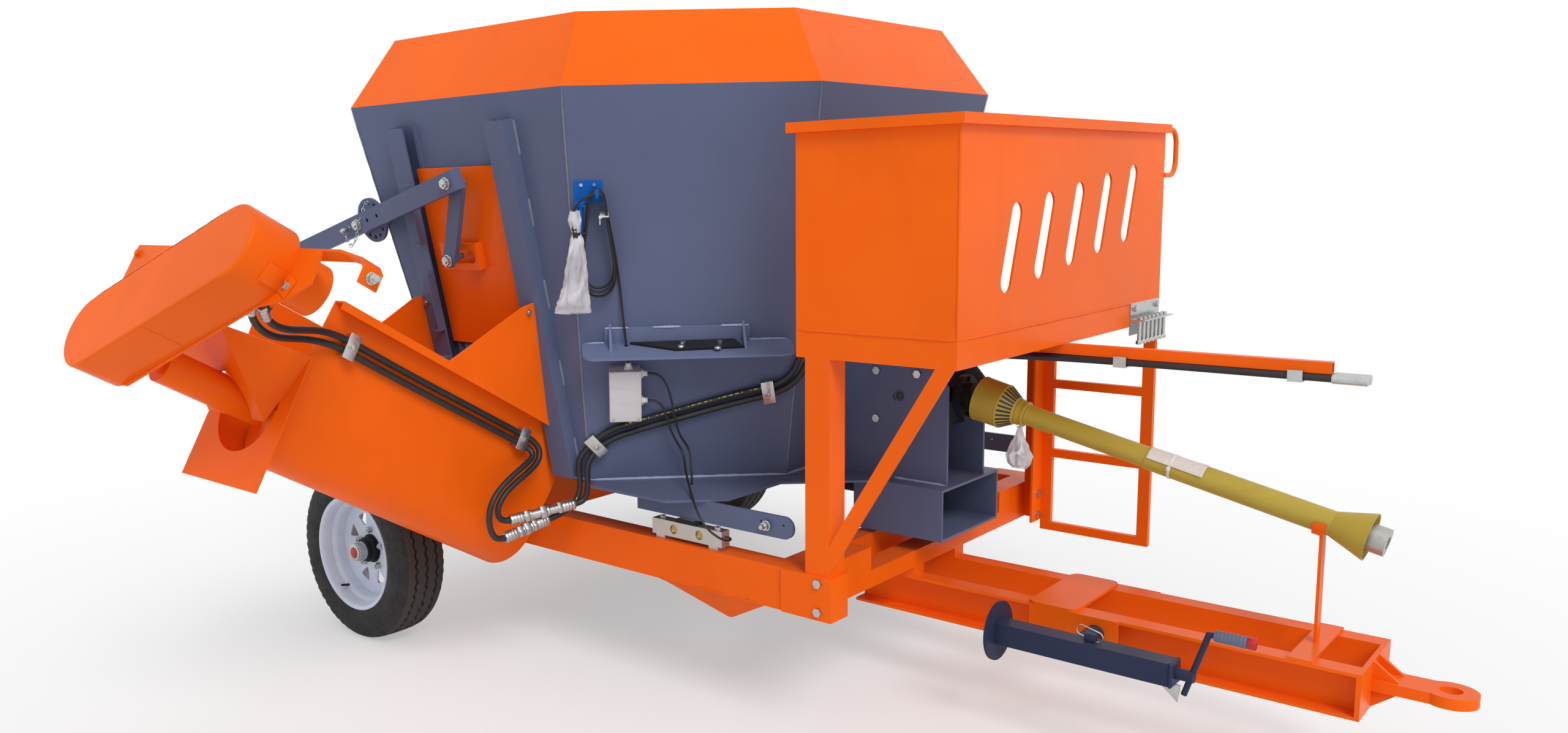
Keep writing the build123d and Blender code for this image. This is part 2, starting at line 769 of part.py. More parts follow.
# Drawbar: two channels with their flanges outwards, hung from the front cross members
with BuildPart() as drawbar_rails:
    beam_rear_x = CROSS_BEAM_FRONT_X - CROSS_BEAM_DEPTH
    for side in SIDES:
        inner, outer = side * RAIL_INNER_Y, side * RAIL_OUTER_Y
        bar(RAIL_REAR_X, RAIL_FRONT_X, inner, outer, RAIL_BOTTOM_Z, RAIL_TOP_Z)
        bar(
            RAIL_REAR_X,
            RAIL_FRONT_X,
            inner + side * RAIL_WEB,
            outer,
            RAIL_BOTTOM_Z + RAIL_FLANGE_T,
            RAIL_TOP_Z - RAIL_FLANGE_T,
            Mode.SUBTRACT,
        )
        member_x, reach = CROSS_MEMBER_XS[-1], CROSS_MEMBER_WIDTH / 2
        bar(member_x - reach, member_x + reach, inner, outer, RAIL_TOP_Z, BEAM_BOTTOM_Z)
        bar(beam_rear_x, CROSS_BEAM_FRONT_X, inner, outer, RAIL_TOP_Z, BEAM_BOTTOM_Z)
drawbar_rails.part.label = "drawbar_rails"

# Saddle over both rails, with the jack's pivot pin on its right cheek
with BuildPart() as drawbar_saddle:
    with BuildSketch(Plane.XY.offset(RAIL_TOP_Z)) as saddle_top:
        with Locations((SADDLE_TOP_X, 0)):
            RectangleRounded(SADDLE_TOP_LENGTH, 2 * SADDLE_HALF, SADDLE_CORNER_R)
    extrude(saddle_top.sketch, amount=SADDLE_PLATE)
    for side in SIDES:
        bar(
            SADDLE_X - SADDLE_LENGTH / 2,
            SADDLE_X + SADDLE_LENGTH / 2,
            side * RAIL_OUTER_Y,
            side * SADDLE_HALF,
            RAIL_TOP_Z + SADDLE_PLATE - SADDLE_DEPTH,
            RAIL_TOP_Z,
        )
    pin_end = JACK_Y + JACK_SIZE / 2 + SEAT_GAP
    rod((JACK_PIVOT_X, -SADDLE_HALF, JACK_Z), (JACK_PIVOT_X, pin_end, JACK_Z), JACK_PIN_R)
drawbar_saddle.part.label = "drawbar_saddle"

# Tow eye on the drawbar's front plate
with BuildPart() as tow_eye:
    tongue_z = (RAIL_BOTTOM_Z + RAIL_TOP_Z) / 2
    tongue_low, tongue_high = tongue_z - HITCH_TONGUE / 2, tongue_z + HITCH_TONGUE / 2
    plate_front = RAIL_FRONT_X + HITCH_PLATE
    bar(RAIL_FRONT_X, plate_front, -RAIL_OUTER_Y, RAIL_OUTER_Y, RAIL_BOTTOM_Z, RAIL_TOP_Z)
    bar(plate_front, HITCH_X, -0.8 * HITCH_R, 0.8 * HITCH_R, tongue_low, tongue_high)
    disc(Plane.XY.offset(tongue_low), (HITCH_X, 0), HITCH_R, HITCH_TONGUE)
    disc(Plane.XY.offset(tongue_low), (HITCH_X, 0), HITCH_BORE_R, HITCH_TONGUE, mode=Mode.SUBTRACT)
    for side in SIDES:
        plate(
            Plane.XZ.offset(-side * HITCH_R / 2),
            [
                (plate_front, RAIL_BOTTOM_Z),
                (plate_front, RAIL_TOP_Z),
                (HITCH_X - HITCH_R - HITCH_BORE_R, tongue_z),
            ],
            HITCH_PLATE / 2,
            both=True,
        )
tow_eye.part.label = "tow_eye"

# Rest that holds the parked drive shaft above the drawbar
with BuildPart() as pto_rest:
    rest_x = PTO_JOINT_X + PTO_REST_AT * cos(radians(PTO_ANGLE))
    rest_z = INPUT_Z - PTO_REST_AT * sin(radians(PTO_ANGLE))
    rest_r = PTO_OUTER_TUBE_R + SEAT_GAP
    foot_top = RAIL_TOP_Z + PTO_REST_T
    bar(
        rest_x - PTO_REST_LENGTH,
        rest_x + PTO_REST_LENGTH,
        -RAIL_OUTER_Y,
        RAIL_OUTER_Y,
        RAIL_TOP_Z,
        foot_top,
    )
    bar(rest_x - PTO_REST_T / 2, rest_x + PTO_REST_T / 2, -rest_r / 2, rest_r / 2, foot_top, rest_z)
    disc(PTO.offset(PTO_REST_AT - PTO_REST_LENGTH / 2), (0, 0), rest_r + PTO_REST_T, PTO_REST_LENGTH)
    disc(PTO.offset(PTO_REST_AT - PTO_REST_LENGTH), (0, 0), rest_r, 2 * PTO_REST_LENGTH, mode=Mode.SUBTRACT)
    clear = 2 * rest_r
    bar(rest_x - clear, rest_x + clear, -clear, clear, rest_z, rest_z + 2 * clear, Mode.SUBTRACT)
pto_rest.part.label = "pto_rest"

# Axle beam with its pads and wheel spindles
with BuildPart() as axle_beam:
    axle_top = RAIL_TOP_Z
    axle_z = axle_top - AXLE_SIZE / 2
    half = AXLE_SIZE / 2
    bar(AXLE_X - half, AXLE_X + half, -AXLE_HALF, AXLE_HALF, axle_top - AXLE_SIZE, axle_top)
    inner, reach = half - AXLE_WALL, AXLE_HALF - AXLE_WALL
    bar(AXLE_X - inner, AXLE_X + inner, -reach, reach, axle_z - inner, axle_z + inner, Mode.SUBTRACT)
    drain = AXLE_WALL
    bar(AXLE_X - drain, AXLE_X + drain, -drain, drain, axle_top - AXLE_SIZE, axle_z, Mode.SUBTRACT)
    for side in SIDES:
        bar(AXLE_X - half, AXLE_X + half, side * BEAM_INNER_Y, side * BEAM_OUTER_Y, axle_top, BEAM_BOTTOM_Z)
        tip = side * (WHEEL_Y + SPINDLE_REACH)
        rod((AXLE_X, side * AXLE_HALF, TYRE_R), (AXLE_X, tip, TYRE_R), SPINDLE_R)
axle_beam.part.label = "axle_beam"

WHEEL_AXIS = Axis((AXLE_X, 0, TYRE_R), (0, 1, 0))


def wheel_section(side):
    """Half-section plane of a wheel: x is the radius, y runs outwards along the axle."""
    return Plane(origin=(AXLE_X, side * WHEEL_Y, TYRE_R), x_dir=(1, 0, 0), z_dir=(0, 0, side))


def wheel_face(side, reach):
    """Plane across a wheel, facing outwards, at a reach along the axle from its middle."""
    return Plane(origin=(AXLE_X, side * (WHEEL_Y + reach), TYRE_R), x_dir=(1, 0, 0), z_dir=(0, side, 0))


def mirrored(points):
    return points + [(x, -y) for x, y in reversed(points)]


def make_tyre(side):
    section = wheel_section(side)
    r, h, b = TYRE_R, TYRE_HALF, BEAD_HALF
    outer = [(BEAD_R, b), (RIM_FLANGE_R + 5, b), (RIM_FLANGE_R + 12, h - 3), (r - 70, h), (r - 32, h - 4)]
    turned(section, WHEEL_AXIS, mirrored(outer + [(r - 8, h - 18), (r, h - 36)]))
    crown, t = r - TYRE_CROWN, TYRE_SIDE
    hollow = [(BEAD_R - 1, b - t), (RIM_FLANGE_R + 8, h - t), (crown - 22, h - t), (crown, h - t - 22)]
    turned(section, WHEEL_AXIS, mirrored(hollow), mode=Mode.SUBTRACT)
    for lane in (-GROOVE_SPACING, 0, GROOVE_SPACING):
        left, right = lane - GROOVE_WIDTH / 2, lane + GROOVE_WIDTH / 2
        groove = [(r - GROOVE_DEPTH, left), (r + 1, left), (r + 1, right), (r - GROOVE_DEPTH, right)]
        turned(section, WHEEL_AXIS, groove, mode=Mode.SUBTRACT)


def make_wheel(side):
    section = wheel_section(side)
    b, edge, barrel = BEAD_HALF, BEAD_HALF + RIM_FLANGE, BEAD_R - RIM_WALL
    rim = [(barrel, edge), (RIM_FLANGE_R, edge), (RIM_FLANGE_R, b), (BEAD_R, b)]
    turned(section, WHEEL_AXIS, mirrored(rim))
    dish_in, crest = HUB_R - RIM_WALL, NUT_CIRCLE_R + HUB_R
    dish = [(dish_in, DISH_AT), (crest, DISH_AT + 8), (barrel + 1, DISH_AT - 6), (barrel + 1, DISH_AT)]
    turned(section, WHEEL_AXIS, dish + [(crest, DISH_AT + 14), (dish_in, DISH_AT + 6)])
    hub_back = AXLE_HALF + 10 - WHEEL_Y
    turned(section, WHEEL_AXIS, [(0, hub_back), (HUB_R, hub_back), (HUB_R, HUB_REACH), (0, HUB_REACH)])
    cap_end = HUB_REACH + HUB_CAP
    turned(
        section,
        WHEEL_AXIS,
        [(0, HUB_REACH), (HUB_CAP_R, HUB_REACH), (HUB_CAP_R - 4, cap_end), (0, cap_end)],
    )
    bore, bore_end = SPINDLE_R + RUN_GAP, SPINDLE_REACH + PART_GAP
    hole = [(0, hub_back - 1), (bore, hub_back - 1), (bore, bore_end), (0, bore_end)]
    turned(section, WHEEL_AXIS, hole, mode=Mode.SUBTRACT)
    inner, outer = NUT_CIRCLE_R + 36, barrel - 14
    for window in range(RIM_WINDOWS):
        middle = radians(360 * (window + 0.5) / RIM_WINDOWS)
        corners = []
        for radius, spread in ((inner, 0.0), (outer, 0.30), (outer, -0.30)):
            corners.append((radius * cos(middle + spread), radius * sin(middle + spread)))
        plate(wheel_face(side, DISH_AT - 12), corners, 40, mode=Mode.SUBTRACT)
    for nut in range(WHEEL_NUTS):
        angle = radians(360 * nut / WHEEL_NUTS + 90)
        centre = (NUT_CIRCLE_R * cos(angle), NUT_CIRCLE_R * sin(angle))
        bolt(wheel_face(side, DISH_AT + 6), centre, SMALL_FLATS + 4, SMALL_HEAD + 8)


with BuildPart() as tyre_right:
    make_tyre(-1)
tyre_right.part.label = "tyre_right"

with BuildPart() as tyre_left:
    make_tyre(1)
tyre_left.part.label = "tyre_left"

with BuildPart() as wheel_right:
    make_wheel(-1)
wheel_right.part.label = "wheel_right"

with BuildPart() as wheel_left:
    make_wheel(1)
wheel_left.part.label = "wheel_left"

# Platform posts: a square tube with a flat brace on the right, an angle on the left
with BuildPart() as platform_posts:
    post_rear, post_in, wall = POST_FRONT_X - POST_SIZE, DECK_RIGHT_Y + POST_SIZE, POST_WALL
    bar(post_rear, POST_FRONT_X, DECK_RIGHT_Y, post_in, BEAM_TOP_Z, DECK_BOTTOM_Z)
    bar(
        post_rear + wall,
        POST_FRONT_X - wall,
        DECK_RIGHT_Y + wall,
        post_in - wall,
        BEAM_TOP_Z + wall,
        DECK_BOTTOM_Z,
        Mode.SUBTRACT,
    )
    plate(
        Plane.XZ.offset(-DECK_RIGHT_Y - BRACE),
        [
            (POST_FRONT_X, BEAM_TOP_Z + BRACE),
            (POST_FRONT_X, BEAM_TOP_Z + BRACE + BRACE_FOOT),
            (BRACE_TOP_X - BRACE_WIDTH, DECK_BOTTOM_Z),
            (BRACE_TOP_X, DECK_BOTTOM_Z),
        ],
        BRACE,
    )
    angle_in, leaf = DECK_LEFT_Y - ANGLE_LEG, DECK_LEFT_Y - ANGLE_T
    bar(ANGLE_X, ANGLE_X + ANGLE_T, angle_in, DECK_LEFT_Y, ANGLE_BOTTOM_Z, DECK_BOTTOM_Z)
    bar(CROSS_BEAM_FRONT_X, ANGLE_X, leaf, DECK_LEFT_Y, ANGLE_BOTTOM_Z, DECK_BOTTOM_Z)
platform_posts.part.label = "platform_posts"

# Platform floor: a folded tray with a rib that carries the hose arm
with BuildPart() as platform_floor:
    rear, front = DECK_REAR_X + PANEL, DECK_FRONT_X - PANEL
    right, left = DECK_RIGHT_Y + PANEL, DECK_LEFT_Y - PANEL
    under = DECK_TOP_Z - DECK_PLATE
    bar(DECK_REAR_X, DECK_FRONT_X, DECK_RIGHT_Y, DECK_LEFT_Y, DECK_BOTTOM_Z, DECK_TOP_Z)
    bar(rear, front, right, left, DECK_BOTTOM_Z, under, Mode.SUBTRACT)
    bar(HOSE_ARM_REAR_X, HOSE_ARM_REAR_X + PANEL, right, left, DECK_BOTTOM_Z, under)
platform_floor.part.label = "platform_floor"

# Platform side and front panels; the front one has leaning round-ended slots
with BuildPart() as platform_panels:
    bar(DECK_REAR_X, DECK_FRONT_X, DECK_RIGHT_Y, DECK_RIGHT_Y + PANEL, DECK_TOP_Z, PANEL_TOP_Z)
    bar(DECK_FRONT_X - PANEL, DECK_FRONT_X, DECK_RIGHT_Y, DECK_LEFT_Y, DECK_TOP_Z, PANEL_TOP_Z)
    middle_y, middle_z = (DECK_RIGHT_Y + DECK_LEFT_Y) / 2, (DECK_TOP_Z + PANEL_TOP_Z) / 2
    with BuildSketch(Plane.YZ.offset(DECK_FRONT_X - 2 * PANEL)) as slots:
        for slot in range(SLOT_COUNT):
            along = (slot - (SLOT_COUNT - 1) / 2) * SLOT_PITCH
            with Locations((middle_y + along, middle_z + SLOT_CLIMB * along)):
                SlotOverall(SLOT_LENGTH, SLOT_WIDTH, rotation=90 - SLOT_LEAN)
    extrude(slots.sketch, amount=3 * PANEL, mode=Mode.SUBTRACT)
platform_panels.part.label = "platform_panels"

# Rim rail on the panels, with a grab handle at its left end
with BuildPart() as platform_rim:
    rim_top = PANEL_TOP_Z + RIM_RAIL_HEIGHT
    rim_out_y = DECK_RIGHT_Y - RIM_RAIL_OVERHANG
    rim_out_x = DECK_FRONT_X + RIM_RAIL_OVERHANG
    rim_rear = DECK_REAR_X - RIM_RAIL_OVERHANG
    bar(rim_rear, rim_out_x, rim_out_y, rim_out_y + RIM_RAIL_WIDTH, PANEL_TOP_Z, rim_top)
    bar(rim_out_x - RIM_RAIL_WIDTH, rim_out_x, rim_out_y, DECK_LEFT_Y, PANEL_TOP_Z, rim_top)
    grab_x = DECK_FRONT_X - PANEL / 2
    grab_top = (PANEL_TOP_Z + rim_top) / 2
    grab_y = DECK_LEFT_Y + GRAB_REACH
    grab_low = grab_top - GRAB_DROP
    grab_route = [(grab_x, DECK_LEFT_Y, grab_top), (grab_x, grab_y, grab_top)]
    grab_route += [(grab_x, grab_y, grab_low), (grab_x, DECK_LEFT_Y, grab_low)]
    cord("grab handle", grab_route, GRAB_R)
platform_rim.part.label = "platform_rim"

# Ladder under the platform's open left side
with BuildPart() as ladder:
    ladder_right = DECK_LEFT_Y - LADDER_DEPTH
    rear_stile = ANGLE_X + ANGLE_T
    for stile in (rear_stile, DECK_FRONT_X - LADDER_STILE):
        bar(stile, stile + LADDER_STILE, ladder_right, DECK_LEFT_Y, LADDER_BOTTOM_Z, DECK_BOTTOM_Z)
    for rung in (LADDER_BOTTOM_Z, *LADDER_RUNG_ZS):
        bar(rear_stile, DECK_FRONT_X, ladder_right, DECK_LEFT_Y, rung, rung + LADDER_RUNG)
ladder.part.label = "ladder"

RACK_FRONT_X = DECK_FRONT_X + RACK_PLATE
RACK_SHELF_Z = (RACK_BOTTOM_Z + DECK_TOP_Z) / 2


def spare_bolt_place(index):
    return (RACK_FRONT_X + RACK_SHELF / 2, RACK_LEFT_Y - RACK_LENGTH * (index + 0.5) / RACK_BOLTS)


# Rack of spare shear bolts on the platform's front edge
with BuildPart() as shear_bolt_rack:
    rack_right = RACK_LEFT_Y - RACK_LENGTH
    shelf_low = RACK_SHELF_Z - RACK_PLATE
    bar(DECK_FRONT_X, RACK_FRONT_X, rack_right, RACK_LEFT_Y, RACK_BOTTOM_Z, DECK_TOP_Z)
    bar(RACK_FRONT_X, RACK_FRONT_X + RACK_SHELF, rack_right, RACK_LEFT_Y, shelf_low, RACK_SHELF_Z)
    for index in range(RACK_BOLTS):
        hole_r = SPARE_BOLT_R + SEAT_GAP
        disc(Plane.XY.offset(shelf_low), spare_bolt_place(index), hole_r, RACK_PLATE, mode=Mode.SUBTRACT)
shear_bolt_rack.part.label = "shear_bolt_rack"

# Arm that carries the supply hoses forward
with BuildPart() as hose_arm:
    half = HOSE_ARM_SIZE / 2
    inner = half - HOSE_ARM_WALL
    arm_z = DECK_BOTTOM_Z - half
    rear, front = HOSE_ARM_REAR_X, HOSE_ARM_FRONT_X
    bar(rear, front, HOSE_ARM_Y - half, HOSE_ARM_Y + half, arm_z - half, DECK_BOTTOM_Z)
    bar(rear, front, HOSE_ARM_Y - inner, HOSE_ARM_Y + inner, arm_z - inner, arm_z + inner, Mode.SUBTRACT)
hose_arm.part.label = "hose_arm"

TUB_FOOT = (TUB_FLOOR_Z, TUB_BASE_APOTHEM, TUB_BASE_HALF_FACET)
TUB_MOUTH = (TUB_TOP_Z, TUB_TOP_APOTHEM, TUB_TOP_HALF_FACET)
RING_MOUTH = (TUB_TOP_Z + RING_HEIGHT, RING_APOTHEM, RING_HALF_FACET)

# Tub wall with the discharge opening in its right facet
with BuildPart() as tub_shell:
    funnel(0, TUB_FOOT, TUB_MOUTH)
    funnel(TUB_WALL, TUB_FOOT, TUB_MOUTH, mode=Mode.SUBTRACT)
    panel(
        RIGHT_FACET.offset(-10 * TUB_WALL),
        -OPENING_HALF_WIDTH,
        OPENING_HALF_WIDTH,
        OPENING_BOTTOM_V,
        OPENING_TOP_V,
        20 * TUB_WALL,
        mode=Mode.SUBTRACT,
    )
tub_shell.part.label = "tub_shell"

# Spill ring leaning inwards on the tub's rim
with BuildPart() as spill_ring:
    funnel(0, TUB_MOUTH, RING_MOUTH)
    funnel(RING_WALL, TUB_MOUTH, RING_MOUTH, mode=Mode.SUBTRACT)
spill_ring.part.label = "spill_ring"

# Floor plate under the tub, notched for the conveyor and the hoses
with BuildPart() as base_plate:
    extrude(octagon(BASE_PLATE_Z, BASE_PLATE_APOTHEM, BASE_PLATE_HALF_FACET), amount=BASE_PLATE)
    notch = BASE_NOTCH_HALF
    bar(-notch, notch, -TUB_BASE_APOTHEM, -2 * BASE_PLATE_APOTHEM, BASE_PLATE_Z, TUB_FLOOR_Z, Mode.SUBTRACT)
    disc(Plane.XY.offset(BASE_PLATE_Z), (0, 0), MAIN_BOX_R + PART_GAP, BASE_PLATE, mode=Mode.SUBTRACT)
    gusset_in = SIDE_PLATE_INNER_Y + SIDE_PLATE + GUSSET_TIP
    gusset_tip = TUNNEL_HALF_WIDTH + GUSSET_TIP
    for side in SIDES:
        corners = [(BASE_PLATE_APOTHEM, gusset_in), (GUSSET_FRONT_X, gusset_in), (GUSSET_FRONT_X, gusset_tip)]
        corners.append((BASE_PLATE_APOTHEM, GUSSET_HALF))
        plate(Plane.XY.offset(BASE_PLATE_Z), [(x, side * y) for x, y in corners], BASE_PLATE)
base_plate.part.label = "base_plate"

FOOT_R = (BASE_PLATE_Z - FOOT_BOTTOM_Z) / 2
FOOT_Z = (BASE_PLATE_Z + FOOT_BOTTOM_Z) / 2

# Four feet that carry the tub on the load cells
with BuildPart() as load_feet:
    for side in SIDES:
        low_y, high_y = side * CELL_Y - FOOT_T / 2, side * CELL_Y + FOOT_T / 2
        for end in SIDES:
            far = end * (FOOT_END_X - FOOT_R)
            bar(end * FOOT_INNER_X, far, low_y, high_y, FOOT_BOTTOM_Z, BASE_PLATE_Z)
            rod((far, low_y, FOOT_Z), (far, high_y, FOOT_Z), FOOT_R)
            for hole_x in (FOOT_BOLT_X - 3 * FOOT_HOLE_R, FOOT_END_X - FOOT_R):
                hole_z = FOOT_Z + FOOT_HOLE_R
                rod(
                    (end * hole_x, low_y - 1, hole_z),
                    (end * hole_x, high_y + 1, hole_z),
                    FOOT_HOLE_R / 2,
                    Mode.SUBTRACT,
                )
load_feet.part.label = "load_feet"

# Four double-ended load cells with their pads
with BuildPart() as load_cells:
    for side in SIDES:
        near, far = side * (CELL_Y - CELL_WIDTH / 2), side * (CELL_Y + CELL_WIDTH / 2)
        for end in SIDES:
            middle = end * CELL_X
            rear, front = middle - CELL_LENGTH / 2, middle + CELL_LENGTH / 2
            bar(rear, front, near, far, CELL_BOTTOM_Z, CELL_TOP_Z)
            for seat in (rear + CELL_SEAT_INSET, front - CELL_SEAT_INSET - CELL_SEAT):
                bar(seat, seat + CELL_SEAT, near, far, BEAM_TOP_Z, CELL_BOTTOM_Z)
            bar(middle - CELL_PAD / 2, middle + CELL_PAD / 2, near, far, CELL_TOP_Z, FOOT_BOTTOM_Z)
            for shift in (-CELL_RECESS_AT, CELL_RECESS_AT):
                spot_z = (CELL_BOTTOM_Z + CELL_TOP_Z) / 2
                floor = far - side * CELL_RECESS
                rod(
                    (middle + shift, far, spot_z),
                    (middle + shift, floor, spot_z),
                    CELL_RECESS_R,
                    Mode.SUBTRACT,
                )
load_cells.part.label = "load_cells"

# Rectangular drive tunnel in front of the tub, open at both ends
with BuildPart() as main_tunnel:
    half, wall = TUNNEL_HALF_WIDTH, TUNNEL_WALL
    inner = half - wall
    roof = BASE_PLATE_Z - wall
    bar(TUNNEL_REAR_X, TUNNEL_FRONT_X, -half, half, TUNNEL_BOTTOM_Z, BASE_PLATE_Z)
    bar(TUNNEL_REAR_X, TUNNEL_FRONT_X, -inner, inner, TUNNEL_BOTTOM_Z + wall, roof, Mode.SUBTRACT)
    leg = DROP_LEG_HALF + PART_GAP
    bar(DROP_BOX_X - leg, DROP_BOX_X + leg, -leg, leg, roof, BASE_PLATE_Z, Mode.SUBTRACT)
main_tunnel.part.label = "main_tunnel"

# Two plates on the tunnel that hold the drop gearbox against the tub
with BuildPart() as gearbox_side_plates:
    profile = [
        (TUB_BASE_APOTHEM, TUB_FLOOR_Z),
        (BASE_PLATE_APOTHEM, TUB_FLOOR_Z),
        (BASE_PLATE_APOTHEM, BASE_PLATE_Z),
        (SIDE_PLATE_FRONT_X, BASE_PLATE_Z),
        (SIDE_PLATE_FRONT_X, SIDE_PLATE_NOSE_Z),
        (SIDE_PLATE_FRONT_X - SIDE_PLATE_NOSE, SIDE_PLATE_TOP_Z),
        (front_facet_x(SIDE_PLATE_TOP_Z), SIDE_PLATE_TOP_Z),
    ]
    for side in SIDES:
        face = outward(side, SIDE_PLATE_INNER_Y)
        plate(face, [(-side * x, z) for x, z in profile], SIDE_PLATE)
        disc(face, (-side * DROP_BOX_X, INPUT_Z), PLUG_HOLE_R, SIDE_PLATE, mode=Mode.SUBTRACT)
gearbox_side_plates.part.label = "gearbox_side_plates"

# Drop gearbox between the plates, with its leg down into the tunnel
with BuildPart() as drop_gearbox:
    rear, front = DROP_BOX_X - DROP_BOX_LENGTH / 2, DROP_BOX_X + DROP_BOX_LENGTH / 2
    bottom, top = INPUT_Z - DROP_BOX_HEIGHT / 2, INPUT_Z + DROP_BOX_HEIGHT / 2
    bar(rear, front, -SIDE_PLATE_INNER_Y, SIDE_PLATE_INNER_Y, bottom, top)
    leg = DROP_LEG_HALF
    bar(DROP_BOX_X - leg, DROP_BOX_X + leg, -leg, leg, DROP_LEG_BOTTOM_Z, bottom)
    rod((DROP_BOX_X, 0, INPUT_Z), (front + 1, 0, INPUT_Z), INPUT_R + RUN_GAP, Mode.SUBTRACT)
drop_gearbox.part.label = "drop_gearbox"

# Main gearbox under the mixing auger, with the shaft that reaches it along the tunnel
with BuildPart() as main_gearbox:
    rod((0, 0, MAIN_BOX_BOTTOM_Z), (0, 0, MAIN_BOX_TOP_Z), MAIN_BOX_R)
    rod((0, 0, TUB_FLOOR_Z), (0, 0, TUB_FLOOR_Z + MAIN_BOX_FLANGE), MAIN_BOX_FLANGE_R)
    rod((0, 0, CROSS_SHAFT_Z), (DROP_BOX_X - DROP_LEG_HALF, 0, CROSS_SHAFT_Z), CROSS_SHAFT_R)
    seat = MAIN_BOX_TOP_Z - MAIN_SHAFT_DEPTH
    rod((0, 0, seat), (0, 0, MAIN_BOX_TOP_Z + 1), MAIN_SHAFT_R + RUN_GAP, Mode.SUBTRACT)
main_gearbox.part.label = "main_gearbox"

# Input shaft with its shear flange
with BuildPart() as input_shaft:
    flange_front, boss_r = INPUT_FLANGE_X + INPUT_FLANGE / 2, PTO_YOKE_R + 6
    rod((DROP_BOX_X + PART_GAP, 0, INPUT_Z), (INPUT_FLANGE_X, 0, INPUT_Z), INPUT_R)
    rod((INPUT_FLANGE_X, 0, INPUT_Z), (flange_front, 0, INPUT_Z), INPUT_FLANGE_R)
    rod((INPUT_FLANGE_X, 0, INPUT_Z), (INPUT_FLANGE_X + INPUT_FLANGE, 0, INPUT_Z), boss_r)
    for index in range(INPUT_BOLTS):
        angle = radians(360 * index / INPUT_BOLTS)
        reach = (INPUT_FLANGE_R + boss_r) / 2
        bolt(
            Plane.YZ.offset(flange_front),
            (reach * sin(angle), INPUT_Z + reach * cos(angle)),
            SMALL_FLATS,
            SMALL_HEAD,
        )
input_shaft.part.label = "input_shaft"

# Drive shaft with a yoke at each end; the front one has the splined bore
with BuildPart(PTO) as pto_shaft:
    yoke_start = PTO_CONE_START + PART_GAP
    rod((0, 0, yoke_start), (0, 0, yoke_start + PTO_YOKE_LENGTH), PTO_YOKE_R)
    rod((0, 0, yoke_start), (0, 0, PTO_LENGTH), PTO_SHAFT_R)
    rod((0, 0, PTO_LENGTH - PTO_BORE_DEPTH - PTO_BORE_R), (0, 0, PTO_LENGTH), PTO_YOKE_R)
    rod((0, 0, PTO_LENGTH - PTO_BORE_DEPTH), (0, 0, PTO_LENGTH + 1), PTO_BORE_R, Mode.SUBTRACT)
pto_shaft.part.label = "pto_shaft"

# Guard round the drive shaft: bell, collar, outer and inner tube, far bell; it runs on two rings
with BuildPart() as pto_guard:
    start, mouth, wall = PTO_CONE_START, PTO_CONE_R, PTO_TUBE_WALL
    shoulder, bell = start + PTO_CONE_LENGTH, start + PTO_BELL_SHARE * PTO_CONE_LENGTH
    split, far = PTO_SPLIT_SHARE * PTO_LENGTH, PTO_LENGTH - PTO_CONE_LENGTH
    end = PTO_LENGTH - 0.3 * PTO_CONE_LENGTH
    near, outer, ring = PTO_TUBE_R, PTO_OUTER_TUBE_R, PTO_SHAFT_R + RUN_GAP
    collar, ring_end = shoulder + PTO_COLLAR, shoulder + PTO_COLLAR + PTO_COLLAR_STEP
    rim = near + PTO_COLLAR_STEP
    outside = [(mouth - wall, start), (mouth, start), (mouth - 2, bell), (rim, shoulder), (rim, collar)]
    outside += [(near, collar), (near, split), (outer, split), (outer, far), (mouth - 6, end)]
    inside = [(mouth - 6 - wall, end), (outer - wall, far + wall), (ring, far + wall), (ring, far - 12)]
    inside += [(outer - wall, far - 12), (outer - wall, split + wall), (near - wall, split + wall)]
    inside += [(near - wall, ring_end), (ring, ring_end), (ring, shoulder), (rim - 2 * wall, shoulder)]
    inside += [(mouth - 2 - wall, bell)]
    section = Plane(origin=PTO.origin, x_dir=PTO.x_dir, z_dir=-PTO.y_dir)
    turned(section, Axis(PTO.origin, PTO.z_dir), outside + inside)
pto_guard.part.label = "pto_guard"

# Small bag of guard chains tied under the guard's collar
with BuildPart() as chain_bag:
    tie = Plane(origin=PTO.origin, x_dir=PTO.z_dir, z_dir=PTO.x_dir.cross(PTO.z_dir) * -1)
    tie = tie.offset(-PTO_TUBE_R - PTO_COLLAR_STEP)
    tie = Plane(
        origin=at(tie, (PTO_CONE_START + PTO_CONE_LENGTH + 12, 0, 0)),
        x_dir=tie.x_dir,
        z_dir=tie.z_dir,
    )
    wide, drop = CHAIN_BAG_WIDTH, CHAIN_BAG_DROP
    bag_sections = []
    for share, width, depth in ((0, 0.2, 0.2), (0.25, 0.4, 0.28), (0.7, 0.97, 0.47), (1, 1.0, 0.4)):
        level = Plane.XY.offset(tie.origin.Z - share * drop)
        level = Plane(origin=(tie.origin.X, 0, level.origin.Z)) if share else tie
        with BuildSketch(level) as bag_slice:
            RectangleRounded(width * wide, depth * wide, 0.08 * wide)
        bag_sections.append(bag_slice.sketch)
    loft(bag_sections, ruled=True)
chain_bag.part.label = "chain_bag"

AUGER_BASE_Z = TUB_FLOOR_Z + AUGER_FLOOR_GAP
WEB_Z = MAIN_BOX_TOP_Z + PART_GAP
FLIGHT_BOTTOM_Z = AUGER_BASE_Z + AUGER_FLIGHT
FLIGHT_RISE = AUGER_TOP_Z - AUGER_FLIGHT - FLIGHT_BOTTOM_Z


def auger_core_r(z):
    share = (z - AUGER_BASE_Z) / (AUGER_TOP_Z - AUGER_BASE_Z)
    return AUGER_SKIRT_R + share * (AUGER_TOP_R - AUGER_SKIRT_R)


